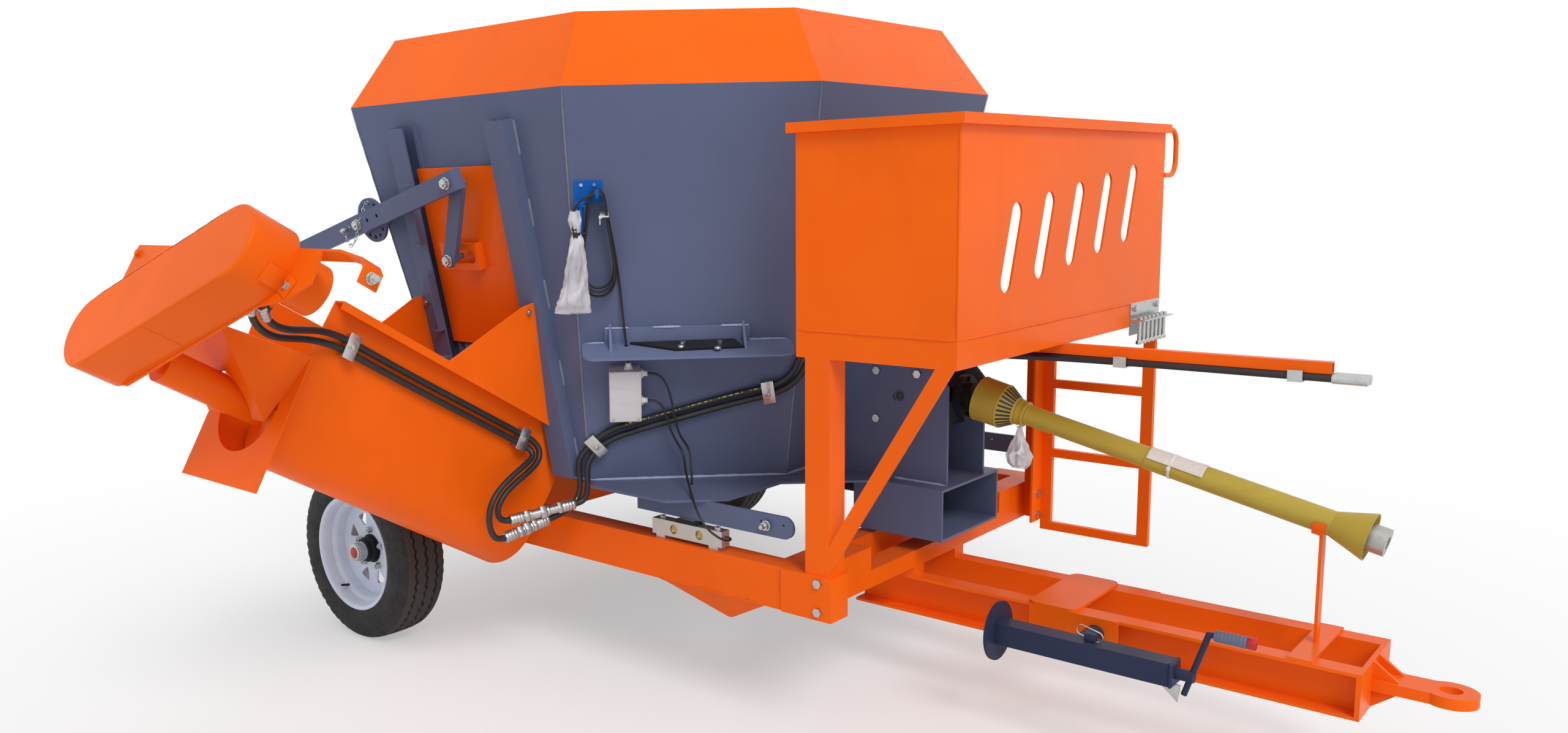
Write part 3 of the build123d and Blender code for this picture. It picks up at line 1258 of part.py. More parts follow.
def flight_z(share):
    return FLIGHT_BOTTOM_Z + share * FLIGHT_RISE


def flight_r(share):
    return AUGER_FLIGHT_BASE_R + share * (AUGER_FLIGHT_TOP_R - AUGER_FLIGHT_BASE_R)


def flight_root_r(share):
    return auger_core_r(flight_z(share)) - AUGER_SHELL / 2


# Mixing auger: a conical core on the gearbox, with one flight that narrows upwards
with BuildPart() as mixing_auger:
    top_in = AUGER_TOP_Z - AUGER_SHELL
    core = [
        (auger_core_r(AUGER_BASE_Z) - AUGER_SHELL, AUGER_BASE_Z),
        (auger_core_r(AUGER_BASE_Z), AUGER_BASE_Z),
    ]
    core += [
        (AUGER_TOP_R, AUGER_TOP_Z),
        (0, AUGER_TOP_Z),
        (0, top_in),
        (auger_core_r(top_in) - AUGER_SHELL, top_in),
    ]
    turned(Plane.XZ, Axis.Z, core)
    rod((0, 0, WEB_Z), (0, 0, WEB_Z + AUGER_WEB), auger_core_r(WEB_Z) - AUGER_SHELL / 2)
    for index in range(4):
        angle = radians(90 * index)
        spot = (1.9 * MAIN_SHAFT_R * cos(angle), 1.9 * MAIN_SHAFT_R * sin(angle))
        disc(Plane.XY.offset(WEB_Z), spot, MAIN_SHAFT_R / 2, AUGER_WEB, mode=Mode.SUBTRACT)
    rod((0, 0, MAIN_BOX_TOP_Z - MAIN_SHAFT_DEPTH + PART_GAP), (0, 0, WEB_Z), MAIN_SHAFT_R)
    screw_flight(Plane.XY, AUGER_FLIGHT_TURNS, 24, flight_root_r, flight_r, flight_z, AUGER_FLIGHT)
mixing_auger.part.label = "mixing_auger"

# Knives bolted on the flight's edge
with BuildPart() as auger_knives:
    for turn in KNIFE_TURNS:
        share = turn / AUGER_FLIGHT_TURNS
        angle = radians(360 * turn)
        edge = flight_r(share)
        slope = FLIGHT_RISE / (radians(360 * AUGER_FLIGHT_TURNS) * edge)
        radial = Vector(cos(angle), sin(angle), 0)
        along = Vector(-sin(angle), cos(angle), slope).normalized()
        up = radial.cross(along)
        seat = radial * edge + Vector(0, 0, flight_z(share))
        inner, half = KNIFE_REACH - KNIFE_WIDTH, KNIFE_LENGTH / 2
        plate(
            Plane(origin=seat, x_dir=radial, z_dir=up),
            [(inner, -half), (0, -half), (KNIFE_REACH, half), (inner, half)],
            AUGER_FLIGHT / 2 + KNIFE,
        )
    add(mixing_auger.part, mode=Mode.SUBTRACT)
auger_knives.part.label = "auger_knives"

# Guides for the discharge door: two angles with backing strips, the rear one with bent clips
with BuildPart() as door_rails:
    bottom, top = GUIDE_BOTTOM_V, GUIDE_TOP_V
    for side in SIDES:
        outer, inner = side * (GUIDE_LIP_X + GUIDE_LIP), side * GUIDE_LIP_X
        panel(RIGHT_FACET, outer - side * GUIDE_T, outer, bottom, top, GUIDE_STAND)
        panel(RIGHT_FACET.offset(GUIDE_STAND - GUIDE_T), inner, outer, bottom, top, GUIDE_T)
        strip = side * (OPENING_HALF_WIDTH + PART_GAP)
        panel(RIGHT_FACET, strip, strip + side * GUIDE_STRIP, bottom, top, DOOR_STANDOFF - GUIDE_STRIP_GAP)
    edge = -GUIDE_LIP_X
    for clip_top in CLIP_TOP_VS:
        cut = CLIP_LOW_CUT if clip_top == min(CLIP_TOP_VS) else 0.0
        clip_v = clip_top - CLIP_LENGTH + cut
        stand = RIGHT_FACET.offset(GUIDE_STAND)
        for tab_v in (clip_v, clip_top - CLIP_T):
            panel(stand, edge - CLIP_WIDTH, edge, tab_v, tab_v + CLIP_T, CLIP_STAND)
        panel(stand, edge - CLIP_T, edge, clip_v, clip_top, CLIP_STAND)
door_rails.part.label = "door_rails"

# Index disc with its stub and the lever's pivot pin
with BuildPart() as index_disc:
    pivot = (PIVOT_X, PIVOT_V)
    disc_front = DISC_AT_W + DISC_T
    disc(RIGHT_FACET, pivot, STUB_R, DISC_AT_W)
    disc(RIGHT_FACET.offset(DISC_AT_W), pivot, DISC_R, DISC_T)
    disc(RIGHT_FACET.offset(disc_front), pivot, STUB_R, LEVER_BACK_W - SEAT_GAP - disc_front)
    disc(RIGHT_FACET.offset(disc_front), pivot, PIVOT_R, LEVER_BACK_W + LEVER_SIZE + BOLT_HEAD - disc_front)
    for index in range(DISC_HOLES):
        angle = radians(360 * index / DISC_HOLES)
        spot = (PIVOT_X + DISC_CIRCLE_R * cos(angle), PIVOT_V + DISC_CIRCLE_R * sin(angle))
        disc(RIGHT_FACET.offset(DISC_AT_W), spot, DISC_HOLE_R, DISC_T, mode=Mode.SUBTRACT)
index_disc.part.label = "index_disc"

LEVER_LEAN = radians(LEVER_ANGLE)
LINK_LEAN = radians(LINK_ANGLE)
LINK_TOP = (PIVOT_X + LEVER_ARM * cos(LEVER_LEAN), PIVOT_V + LEVER_ARM * sin(LEVER_LEAN))
LINK_FOOT = (LINK_TOP[0] - LINK_LENGTH * sin(LINK_LEAN), LINK_TOP[1] - LINK_LENGTH * cos(LINK_LEAN))

# The discharge door, shown open, with the slotted lug that the link's lower pin runs in
with BuildPart() as door:
    door_front = DOOR_STANDOFF + DOOR_PLATE
    door_top = DOOR_BOTTOM_V + DOOR_HEIGHT
    panel(
        RIGHT_FACET.offset(DOOR_STANDOFF),
        -DOOR_HALF_WIDTH,
        DOOR_HALF_WIDTH,
        DOOR_BOTTOM_V,
        door_top,
        DOOR_PLATE,
    )
    lug_x, lug_v = LINK_FOOT
    low, high = lug_v - LUG_HEIGHT / 2, lug_v + LUG_HEIGHT / 2
    for side in SIDES:
        outer = lug_x + side * LUG_HALF
        panel(
            RIGHT_FACET.offset(door_front),
            outer - side * LUG_T,
            outer,
            low,
            high,
            LUG_FACE_W - door_front,
        )
    with BuildSketch(RIGHT_FACET.offset(LUG_FACE_W - LUG_T)) as lug_face:
        with Locations(LINK_FOOT):
            Rectangle(2 * LUG_HALF, LUG_HEIGHT)
            SlotOverall(2 * (LUG_SLOT_HALF + LUG_SLOT_V), 2 * LUG_SLOT_V, mode=Mode.SUBTRACT)
    extrude(lug_face.sketch, amount=LUG_T)
door.part.label = "door"

LEVER = Plane(
    origin=at(RIGHT_FACET, (PIVOT_X, PIVOT_V, LEVER_BACK_W)),
    x_dir=RIGHT_FACET.x_dir * cos(LEVER_LEAN) + RIGHT_FACET.y_dir * sin(LEVER_LEAN),
    z_dir=RIGHT_FACET.z_dir,
)
LINK = Plane(
    origin=at(RIGHT_FACET, (*LINK_TOP, LEVER_BACK_W - PART_GAP)),
    x_dir=RIGHT_FACET.x_dir * cos(LINK_LEAN) - RIGHT_FACET.y_dir * sin(LINK_LEAN),
    z_dir=RIGHT_FACET.z_dir,
)

# Hand lever: a flat tube with an end cap, two free holes and a lock pin over the disc
with BuildPart(LEVER) as lever:
    half = LEVER_WIDTH / 2
    inner = half - LEVER_WALL
    tip = LEVER_ARM + LEVER_END
    bar(-LEVER_HANDLE, tip, -half, half, 0, LEVER_SIZE)
    bar(-LEVER_HANDLE, tip - LEVER_WALL, -inner, inner, LEVER_WALL, LEVER_SIZE - LEVER_WALL, Mode.SUBTRACT)
    rod((0, 0, -1), (0, 0, LEVER_SIZE + 1), PIVOT_R + RUN_GAP, Mode.SUBTRACT)
    rod((LEVER_ARM, 0, -1), (LEVER_ARM, 0, LEVER_SIZE + 1), PIN_R + RUN_GAP, Mode.SUBTRACT)
    for step in (1, 2):
        spot = step * LEVER_HOLE_STEP
        rod((spot, 0, -1), (spot, 0, LEVER_SIZE + 1), DISC_HOLE_R, Mode.SUBTRACT)
    lock_tip = DISC_AT_W + DISC_T + PART_GAP - LEVER_BACK_W
    rod((-DISC_CIRCLE_R, 0, lock_tip), (-DISC_CIRCLE_R, 0, LEVER_SIZE + BOLT_HEAD), DISC_HOLE_R - 1)
    rod((-DISC_CIRCLE_R, 0, LEVER_SIZE), (-DISC_CIRCLE_R, 0, LEVER_SIZE + BOLT_HEAD / 2), DISC_HOLE_R + 5)
lever.part.label = "lever"

# Link from the lever to the door: a channel with a pin at each end
with BuildPart(LINK) as link:
    half = LINK_WIDTH / 2
    pin_head = PART_GAP + LEVER_SIZE + SEAT_GAP
    bar(-half, half, -LINK_LENGTH, 0, -LINK_T, 0)
    for end in (0, -LINK_LENGTH):
        rod((0, end, -LINK_T), (0, end, 0), half)
    for side in SIDES:
        bar(side * half, side * (half - LINK_T), -LINK_LENGTH, 0, -LINK_DEPTH, 0)
    rod((0, 0, -LINK_T), (0, 0, pin_head + BOLT_HEAD), PIN_R)
    rod((0, 0, pin_head), (0, 0, pin_head + BOLT_HEAD), PIN_R + 5)
    pin_back = LUG_FACE_W - LUG_T - 6 - (LEVER_BACK_W - PART_GAP)
    rod((0, -LINK_LENGTH, pin_back), (0, -LINK_LENGTH, BOLT_HEAD), PIN_R)
    rod((0, -LINK_LENGTH, 0), (0, -LINK_LENGTH, BOLT_HEAD), PIN_R + 5)
link.part.label = "link"

# Trough of the discharge conveyor, with its top flanges, lower bearing and outlet plate
with BuildPart(CONVEYOR) as trough:
    lower, wall = CONVEYOR.offset(-TROUGH_LENGTH), TROUGH_WALL
    extrude(trough_section(lower, TROUGH_R, TROUGH_TOP_HALF, TROUGH_TOP_U), amount=TROUGH_LENGTH)
    hollow = trough_section(lower.offset(wall), TROUGH_R - wall, TROUGH_TOP_HALF - wall, TROUGH_TOP_U + 1)
    extrude(hollow, amount=TROUGH_LENGTH, mode=Mode.SUBTRACT)
    for side in SIDES:
        inner, outer = side * (TROUGH_TOP_HALF - wall), side * (TROUGH_TOP_HALF + TROUGH_FLANGE)
        bar(inner, outer, TROUGH_TOP_U - wall, TROUGH_TOP_U, -TROUGH_LENGTH, 0)
        bar(outer - side * wall, outer, TROUGH_TOP_U - TROUGH_LIP, TROUGH_TOP_U, -TROUGH_LENGTH, 0)
    bar(-END_PLATE_HALF, END_PLATE_HALF, END_PLATE_BOTTOM_U, END_PLATE_TOP_U, 0, END_PLATE)
    rod((0, 0, -1), (0, 0, END_PLATE + 1), OUTLET_R, Mode.SUBTRACT)
    bearing_end = -TROUGH_LENGTH - LOWER_BEARING
    rod((0, 0, bearing_end), (0, 0, -TROUGH_LENGTH), LOWER_BEARING_R)
    rod((0, 0, bearing_end - 1), (0, 0, -TROUGH_LENGTH + 2 * wall), SCREW_STUB_R + RUN_GAP, Mode.SUBTRACT)
    span = 2 * (GUIDE_LIP_X + GUIDE_LIP)
    panel(RIGHT_FACET.offset(MOUTH_GAP), -span, span, -span, 3 * span, -span, mode=Mode.SUBTRACT)
    for side in SIDES:
        edge = side * (GUIDE_LIP_X - PART_GAP)
        panel(
            RIGHT_FACET.offset(GUIDE_STAND),
            edge,
            side * span,
            -span,
            3 * span,
            -span,
            mode=Mode.SUBTRACT,
        )
trough.part.label = "trough"

# Wings on the trough: the right one flares out over the guide's lip, the left one lies on the guide's leg
GUIDE_FACE = RIGHT_FACET.offset(GUIDE_STAND)
WING_TOP_V = (WING_TOP_Z - GUIDE_FACE.origin.Z) / GUIDE_FACE.y_dir.Z
RIGHT_WING_X = TROUGH_TOP_HALF + TROUGH_FLANGE
LEFT_WING_X = -GUIDE_LIP_X - GUIDE_LIP


def flange_reach(back):
    """How far below the wing's tip the flange's top line meets a plane on the tub's side."""
    tip = Vector(*at(CONVEYOR, (0, TROUGH_TOP_U, WING_TIP_S)))
    return (back.origin - tip).dot(back.z_dir) / (CONVEYOR.z_dir * -1).dot(back.z_dir)


def wing_corners(back):
    tip = Vector(*at(CONVEYOR, (0, TROUGH_TOP_U, WING_TIP_S)))
    top_corner = Vector(*at(back, (0, WING_TOP_V, 0)))
    low_corner = tip - CONVEYOR.z_dir * flange_reach(back)
    blunt = Vector(*at(GUIDE_FACE, (0, WING_TOP_V, WING_BLUNT)))
    return top_corner, low_corner, tip, blunt


# The right wing leans outwards from the flange's edge
WING_RISE = CONVEYOR.y_dir + CONVEYOR.x_dir * tan(radians(WING_FLARE))
RIGHT_WING = Plane(
    origin=at(CONVEYOR, (RIGHT_WING_X, TROUGH_TOP_U, 0)),
    x_dir=CONVEYOR.z_dir * -1,
    z_dir=WING_RISE.cross(CONVEYOR.z_dir).normalized(),
)


def on_right_wing(point):
    """A point beside the trough as a place on the right wing's outer face."""
    local = CONVEYOR.to_local_coords(point)
    return (-local.Z, (local.Y - TROUGH_TOP_U) / cos(radians(WING_FLARE)))


with BuildPart() as trough_wings:
    plate(RIGHT_WING, [on_right_wing(corner) for corner in wing_corners(GUIDE_FACE)], -WING)
    reach = 2 * RIGHT_WING_X
    panel(GUIDE_FACE, 0, reach, -reach, 2 * WING_TOP_V, -reach, mode=Mode.SUBTRACT)
    left_outline = [(corner.Y, corner.Z) for corner in wing_corners(RIGHT_FACET.offset(PART_GAP))]
    plate(Plane.YZ.offset(LEFT_WING_X - WING), left_outline, WING)
    foot_low = WING_TIP_S - flange_reach(GUIDE_FACE) + WING_FOOT_BACK
    panel(
        CONVEYOR.offset(foot_low),
        LEFT_WING_X,
        -TROUGH_TOP_HALF,
        TROUGH_TOP_U,
        TROUGH_TOP_U + WING,
        WING_TIP_S - WING_FOOT_BACK - foot_low,
    )
trough_wings.part.label = "trough_wings"

# Folded hood between the trough's outlet and the chain case
with BuildPart(CONVEYOR) as head_bracket:
    foot, rise, skin = HOOD_FOOT_U, HOOD_TOP_U, 1.4 * HOOD
    slope = [(foot, END_PLATE), (rise, HOOD_TOP_S), (rise + skin, HOOD_TOP_S), (foot + skin, END_PLATE)]
    plate(conveyor_side(-END_PLATE_HALF), slope, END_PLATE_HALF + HOOD_FOLD_X)
    bar(HOOD_FOLD_X - HOOD_STRAP, HOOD_FOLD_X, rise, rise + skin, HOOD_TOP_S - HOOD, CASE_BACK_S)
    fold_low = Vector(*at(CONVEYOR, (HOOD_FOLD_X, foot, END_PLATE)))
    fold_high = Vector(*at(CONVEYOR, (HOOD_FOLD_X, rise, HOOD_TOP_S)))
    cheek_top = Vector(*at(CONVEYOR, (END_PLATE_HALF, END_PLATE_TOP_U, END_PLATE)))
    fold = (fold_high - fold_low).normalized()
    cheek = Plane(origin=fold_low, x_dir=fold, z_dir=fold.cross(cheek_top - fold_low).normalized())
    corners = [cheek.to_local_coords(p) for p in (fold_low, fold_high, cheek_top)]
    plate(cheek, [(p.X, p.Y) for p in corners], HOOD)
    panel(
        CONVEYOR.offset(END_PLATE),
        -2 * END_PLATE_HALF,
        2 * END_PLATE_HALF,
        -500,
        500,
        -50,
        mode=Mode.SUBTRACT,
    )
    rod((0, 0, 0), (0, 0, CASE_BACK_S), SCREW_PIPE_R + HOOD_PIPE_CLEAR, Mode.SUBTRACT)
head_bracket.part.label = "head_bracket"


def port_point(s, reach):
    turn = radians(PORT_HEADING)
    return (MOTOR_X + reach * cos(turn), MOTOR_U + reach * sin(turn), s)


# Back plate of the chain case, with the motor's guard and a curved lug
with BuildPart(CONVEYOR) as chain_case_plate:
    stadium(CONVEYOR.offset(CASE_BACK_S), 0, 0, MOTOR_X, MOTOR_U, CASE_R, CASE_BACK_PLATE)
    plate(CONVEYOR.offset(CASE_BACK_S), CASE_BACK_CORNERS, CASE_BACK_PLATE)
    guard_low = CASE_BACK_S - GUARD_LENGTH
    rod((MOTOR_X, MOTOR_U, guard_low), (MOTOR_X, MOTOR_U, CASE_BACK_S), GUARD_R)
    rod(
        (MOTOR_X, MOTOR_U, guard_low + GUARD_WALL),
        (MOTOR_X, MOTOR_U, CASE_BACK_S),
        GUARD_R - GUARD_WALL,
        Mode.SUBTRACT,
    )
    rod((0, 0, 0), (0, 0, CASE_FLOOR_S + 1), SCREW_STUB_R + RUN_GAP, Mode.SUBTRACT)
    rod(
        (MOTOR_X, MOTOR_U, CASE_BACK_S - 1),
        (MOTOR_X, MOTOR_U, CASE_FLOOR_S + 1),
        MOTOR_SHAFT_R + RUN_GAP,
        Mode.SUBTRACT,
    )
    for port_s in PORT_SS:
        rod(port_point(port_s, MOTOR_R), port_point(port_s, PORT_REACH), PORT_R + PART_GAP, Mode.SUBTRACT)
    strap_x, strap_t = LUG_STRAP_RUN[-1][0], LUG_STRAP_T
    strap = [*LUG_STRAP_RUN, (strap_x, LUG_STRAP_END_U), (strap_x - strap_t, LUG_STRAP_END_U)]
    strap += [(x - strap_t, u - strap_t) for x, u in reversed(LUG_STRAP_RUN)]
    plate(CONVEYOR.offset(CASE_FLOOR_S - LUG_STRAP_WIDTH), strap, LUG_STRAP_WIDTH)
chain_case_plate.part.label = "chain_case_plate"

# Chain cover, open towards its back plate, with a bolted tab
with BuildPart(CONVEYOR) as chain_cover:
    stadium(CONVEYOR.offset(CASE_FLOOR_S), 0, 0, MOTOR_X, MOTOR_U, CASE_R, CASE_DEPTH)
    hollow = CASE_R - CASE_WALL
    stadium(
        CONVEYOR.offset(CASE_FLOOR_S),
        0,
        0,
        MOTOR_X,
        MOTOR_U,
        hollow,
        CASE_DEPTH - CASE_WALL,
        mode=Mode.SUBTRACT,
    )
chain_cover.part.label = "chain_cover"

# Hydraulic motor with its two ports
with BuildPart(CONVEYOR) as hydraulic_motor:
    rod((MOTOR_X, MOTOR_U, CASE_BACK_S - MOTOR_LENGTH), (MOTOR_X, MOTOR_U, CASE_BACK_S), MOTOR_R)
    for port_s in PORT_SS:
        rod(port_point(port_s, MOTOR_R / 2), port_point(port_s, PORT_REACH), PORT_R)
    seat = CASE_BACK_S - MOTOR_BORE
    rod(
        (MOTOR_X, MOTOR_U, seat),
        (MOTOR_X, MOTOR_U, CASE_BACK_S + 1),
        MOTOR_SHAFT_R + RUN_GAP,
        Mode.SUBTRACT,
    )
hydraulic_motor.part.label = "hydraulic_motor"

# Chain round both sprockets: its two rows of side plates
with BuildPart() as drive_chain:
    for row_s in (SPROCKET_S - SEAT_GAP - CHAIN_PLATE, SPROCKET_S + SPROCKET_T + SEAT_GAP):
        row = CONVEYOR.offset(row_s)
        belt(row, SCREW_SPROCKET_R + CHAIN_HALF, MOTOR_SPROCKET_R + CHAIN_HALF, CHAIN_PLATE)
        belt(
            row,
            SCREW_SPROCKET_R - CHAIN_HALF,
            MOTOR_SPROCKET_R - CHAIN_HALF,
            CHAIN_PLATE,
            mode=Mode.SUBTRACT,
        )
drive_chain.part.label = "drive_chain"

SCREW_LOW_S = -TROUGH_LENGTH + SCREW_BOTTOM_GAP
SCREW_RUN = -SCREW_FLIGHT - SCREW_LOW_S - SCREW_FLIGHT


def screw_s(share):
    return SCREW_LOW_S + SCREW_FLIGHT + share * SCREW_RUN


def screw_outer_r(share):
    return SCREW_R


def screw_root_r(share):
    return SCREW_PIPE_R - SCREW_FLIGHT


# Discharge auger with its stub ends and its sprocket
with BuildPart(CONVEYOR) as discharge_auger:
    rod((0, 0, SCREW_LOW_S), (0, 0, SCREW_PIPE_END_S), SCREW_PIPE_R)
    rod((0, 0, -TROUGH_LENGTH - LOWER_BEARING + PART_GAP), (0, 0, SCREW_LOW_S), SCREW_STUB_R)
    rod((0, 0, SCREW_PIPE_END_S), (0, 0, SCREW_STUB_END_S), SCREW_STUB_R)
    rod((0, 0, SPROCKET_S), (0, 0, SPROCKET_S + SPROCKET_T), SCREW_SPROCKET_R + TOOTH)
    screw_flight(CONVEYOR, SCREW_TURNS, 20, screw_root_r, screw_outer_r, screw_s, SCREW_FLIGHT)
discharge_auger.part.label = "discharge_auger"

# Motor sprocket on the motor's shaft
with BuildPart(CONVEYOR) as motor_sprocket:
    shaft_low = CASE_BACK_S - MOTOR_BORE + PART_GAP
    rod((MOTOR_X, MOTOR_U, shaft_low), (MOTOR_X, MOTOR_U, SPROCKET_S + 2 * SPROCKET_T), MOTOR_SHAFT_R)
    rod(
        (MOTOR_X, MOTOR_U, SPROCKET_S),
        (MOTOR_X, MOTOR_U, SPROCKET_S + SPROCKET_T),
        MOTOR_SPROCKET_R + TOOTH,
    )
motor_sprocket.part.label = "motor_sprocket"

SHELF_TOP = Plane(
    origin=at(CORNER_FACET, (0, SHELF_V, 0)),
    x_dir=CORNER_FACET.x_dir,
    z_dir=CORNER_FACET.y_dir * -1,
)

# Shelf for the counter-knife: a round-cornered plate, a back plate and two ribs
with BuildPart(CORNER_FACET) as knife_shelf:
    left, right, corner = SHELF_LEFT_S, SHELF_RIGHT_S, SHELF_CORNER_R
    with BuildSketch(SHELF_TOP) as shelf_face:
        Polygon((left, 0), (right, 0), (right, SHELF_DEPTH), (left, SHELF_DEPTH), align=None)
        fillet(shelf_face.vertices().sort_by(Axis.Y)[2:], corner)
        with Locations(CABLE_HOLE):
            Circle(CABLE_HOLE_R, mode=Mode.SUBTRACT)
    extrude(shelf_face.sketch, amount=SHELF_T)
    bar(SHELF_BACK_LEFT_S, SHELF_BACK_RIGHT_S, SHELF_V, SHELF_V + SHELF_BACK_HEIGHT, 0, SHELF_BACK)
    for rib_s in RIB_SS:
        face = Plane(
            origin=at(CORNER_FACET, (rib_s, SHELF_V - SHELF_T, 0)),
            x_dir=CORNER_FACET.z_dir,
            z_dir=CORNER_FACET.x_dir,
        )
        plate(face, [(0, 0), (SHELF_DEPTH - corner, 0), (0, -RIB_DROP)], RIB)
knife_shelf.part.label = "knife_shelf"

# Counter-knife stowed on its shelf
with BuildPart() as counter_knife:
    plate(SHELF_TOP.offset(-BLADE_T), BLADE_CORNERS, BLADE_T)
counter_knife.part.label = "counter_knife"

# Junction box with its cable glands
with BuildPart(CORNER_FACET) as junction_box:
    box_right, box_top = BOX_S + BOX_WIDTH / 2, BOX_V + BOX_HEIGHT / 2
    bar(BOX_S - BOX_WIDTH / 2, box_right, BOX_V - BOX_HEIGHT / 2, box_top, 0, BOX_DEPTH)
    for gland_v in GLAND_VS:
        rod((box_right, gland_v, BOX_DEPTH / 2), (box_right + GLAND, gland_v, BOX_DEPTH / 2), GLAND_R)
    rod((LEAD_S, box_top, BOX_DEPTH / 2), (LEAD_S, box_top + GLAND, BOX_DEPTH / 2), GLAND_R)
junction_box.part.label = "junction_box"

# Cable hook: a plate with a turned-up hook and a plug holder
with BuildPart(CORNER_FACET) as cable_hook:
    plate_left = HOLDER_S - HOLDER_R - HOOK_PLATE
    bar(plate_left, HOOK_S + 3 * HOOK_R, HOLDER_TOP_V, HOOK_V + 6 * HOOK_R, 0, HOOK_PLATE)
    tip_w = HOOK_REACH - HOOK_R
    hook_route = [(HOOK_S, HOOK_V, 0), (HOOK_S, HOOK_V, tip_w), (HOOK_S, HOOK_V + HOOK_TIP, tip_w)]
    cord("cable hook", [at(CORNER_FACET, p) for p in hook_route], HOOK_R)
    strap_top = HOLDER_TOP_V + 2 * HOOK_PLATE
    strap_half = HOLDER_R + HOOK_PLATE
    bar(HOLDER_S - strap_half, HOLDER_S + strap_half, HOLDER_TOP_V, strap_top, 0, HOLDER_W + strap_half)
    rod((HOLDER_S, HOLDER_BOTTOM_V, HOLDER_W), (HOLDER_S, HOLDER_TOP_V, HOLDER_W), HOLDER_R)
cable_hook.part.label = "cable_hook"

# The weighing cable: up from the junction box, five loops over the hook, then down to its connector
LEAD = [
    (LEAD_S, 432, 30),
    (LEAD_S, 456, 30),
    (-201, 490, 28),
    (-207, 550, 21),
    (-213, 615, 13),
    (-219, 690, 9),
    (-229, 770, 8),
    (-242, 850, 8.5),
    (-255, 920, 10.5),
]
TAIL = [
    (-296, 983, 59),
    (-309, 980, 59.5),
    (-328, 970, 60),
    (-346, 953, 60),
    (-356, 931, 60),
    (-356, 905, 60),
]
LOOP_OUTLINE = [
    (0, 0),
    (-12, -3),
    (-20, -13),
    (-25, -36),
    (-31, -80),
    (-40, -145),
    (-50, -215),
    (-55, -268),
    (-46, -309),
    (-24, -331),
    (0, -337),
    (24, -331),
    (46, -309),
    (55, -268),
    (50, -215),
    (40, -145),
    (31, -80),
    (25, -36),
    (20, -13),
    (12, -3),
]


def hank_points():
    """The loops: one outline repeated outwards along the hook, each a little shorter than the longest."""
    top = HOOK_V + HOOK_R + CABLE_R + HANK_SEAT
    points = [(HOOK_S + s, top + v, HANK_FIRST_W) for s, v in LOOP_OUTLINE[-3:]]
    for loop in range(HANK_LOOPS):
        size = 1 - HANK_SHRINK * (2 * loop % HANK_LOOPS)
        for step, (s, v) in enumerate(LOOP_OUTLINE):
            w = HANK_FIRST_W + HANK_PITCH * (loop + step / len(LOOP_OUTLINE))
            grip = size if v < -40 else 1
            points.append((HOOK_S + grip * s, top + grip * v, w))
    points.append((HOOK_S, top, HANK_FIRST_W + HANK_PITCH * HANK_LOOPS))
    return points


with BuildPart() as cable_hank:
    hank_route = [at(CORNER_FACET, p) for p in LEAD + hank_points() + TAIL]
    hank_path = cord("weighing cable", hank_route, CABLE_R)
    samples = [hank_path @ (i / 1500) for i in range(1501)]
    apart = max(1, round(8 * CABLE_R / (hank_path.length / 1500)))
    least = min(
        (samples[i] - samples[j]).length for i in range(0, 1501, 2) for j in range(i + apart, 1501, 2)
    )
    print(f"weighing cable: least gap to itself {least - 2 * CABLE_R:.2f}")
cable_hank.part.label = "cable_hank"

# Connector of the weighing cable in its bag
BAG_SECTIONS = [
    (-356, 905, 60, 30, 24),
    (-360, 850, 56, 34, 26),
    (-380, 720, 48, 74, 34),
    (-398, 612, 44, 92, 22),
]
with BuildPart() as connector_bag:
    bag_sections = []
    for s, v, w, width, depth in BAG_SECTIONS:
        slice_plane = Plane(
            origin=at(CORNER_FACET, (s, v, w)),
            x_dir=CORNER_FACET.x_dir,
            z_dir=CORNER_FACET.y_dir,
        )
        with BuildSketch(slice_plane) as bag_slice:
            RectangleRounded(width, depth, 8)
        bag_sections.append(bag_slice.sketch)
    loft(bag_sections, ruled=True)
connector_bag.part.label = "connector_bag"

# Cables from the junction box to the front right load cell and through the floor plate
CELL_CABLE = [
    (-136, 299, 30),
    (-114, 299, 30),
    (-92, 286, 36),
    (-77, 255, 42),
    (-67, 210, 45),
    (-46, 160, 44),
]
CELL_CABLE_DROP = [
    (592, -621, 781),
    (628, -655, 738),
    (672, -695, 708),
    (722, -742, 694),
    (772, -790, 684),
    (815, -822, 655),
    (852, -822, 612),
    (884, -795, 580),
    (892, -765, 571),
    (880, -740, 571.5),
    (857, -740, 571.5),
]
FLOOR_CABLE = [
    (-136, 393, 30),
    (-112, 393, 30),
    (-88, 378, 36),
    (-70, 345, 42),
    (-58, 295, 47),
    (-48, 235, 50),
    (-34, 180, 48),
]
FLOOR_CABLE_DROP = [(603, -602, 790), (625, -622, 745), (634, -630, 712), (634, -630, 680)]
with BuildPart() as signal_cables:
    cord("cell cable", [at(CORNER_FACET, p) for p in CELL_CABLE] + CELL_CABLE_DROP, CABLE_R)
    cord("floor cable", [at(CORNER_FACET, p) for p in FLOOR_CABLE] + FLOOR_CABLE_DROP, CABLE_R)
signal_cables.part.label = "signal_cables"

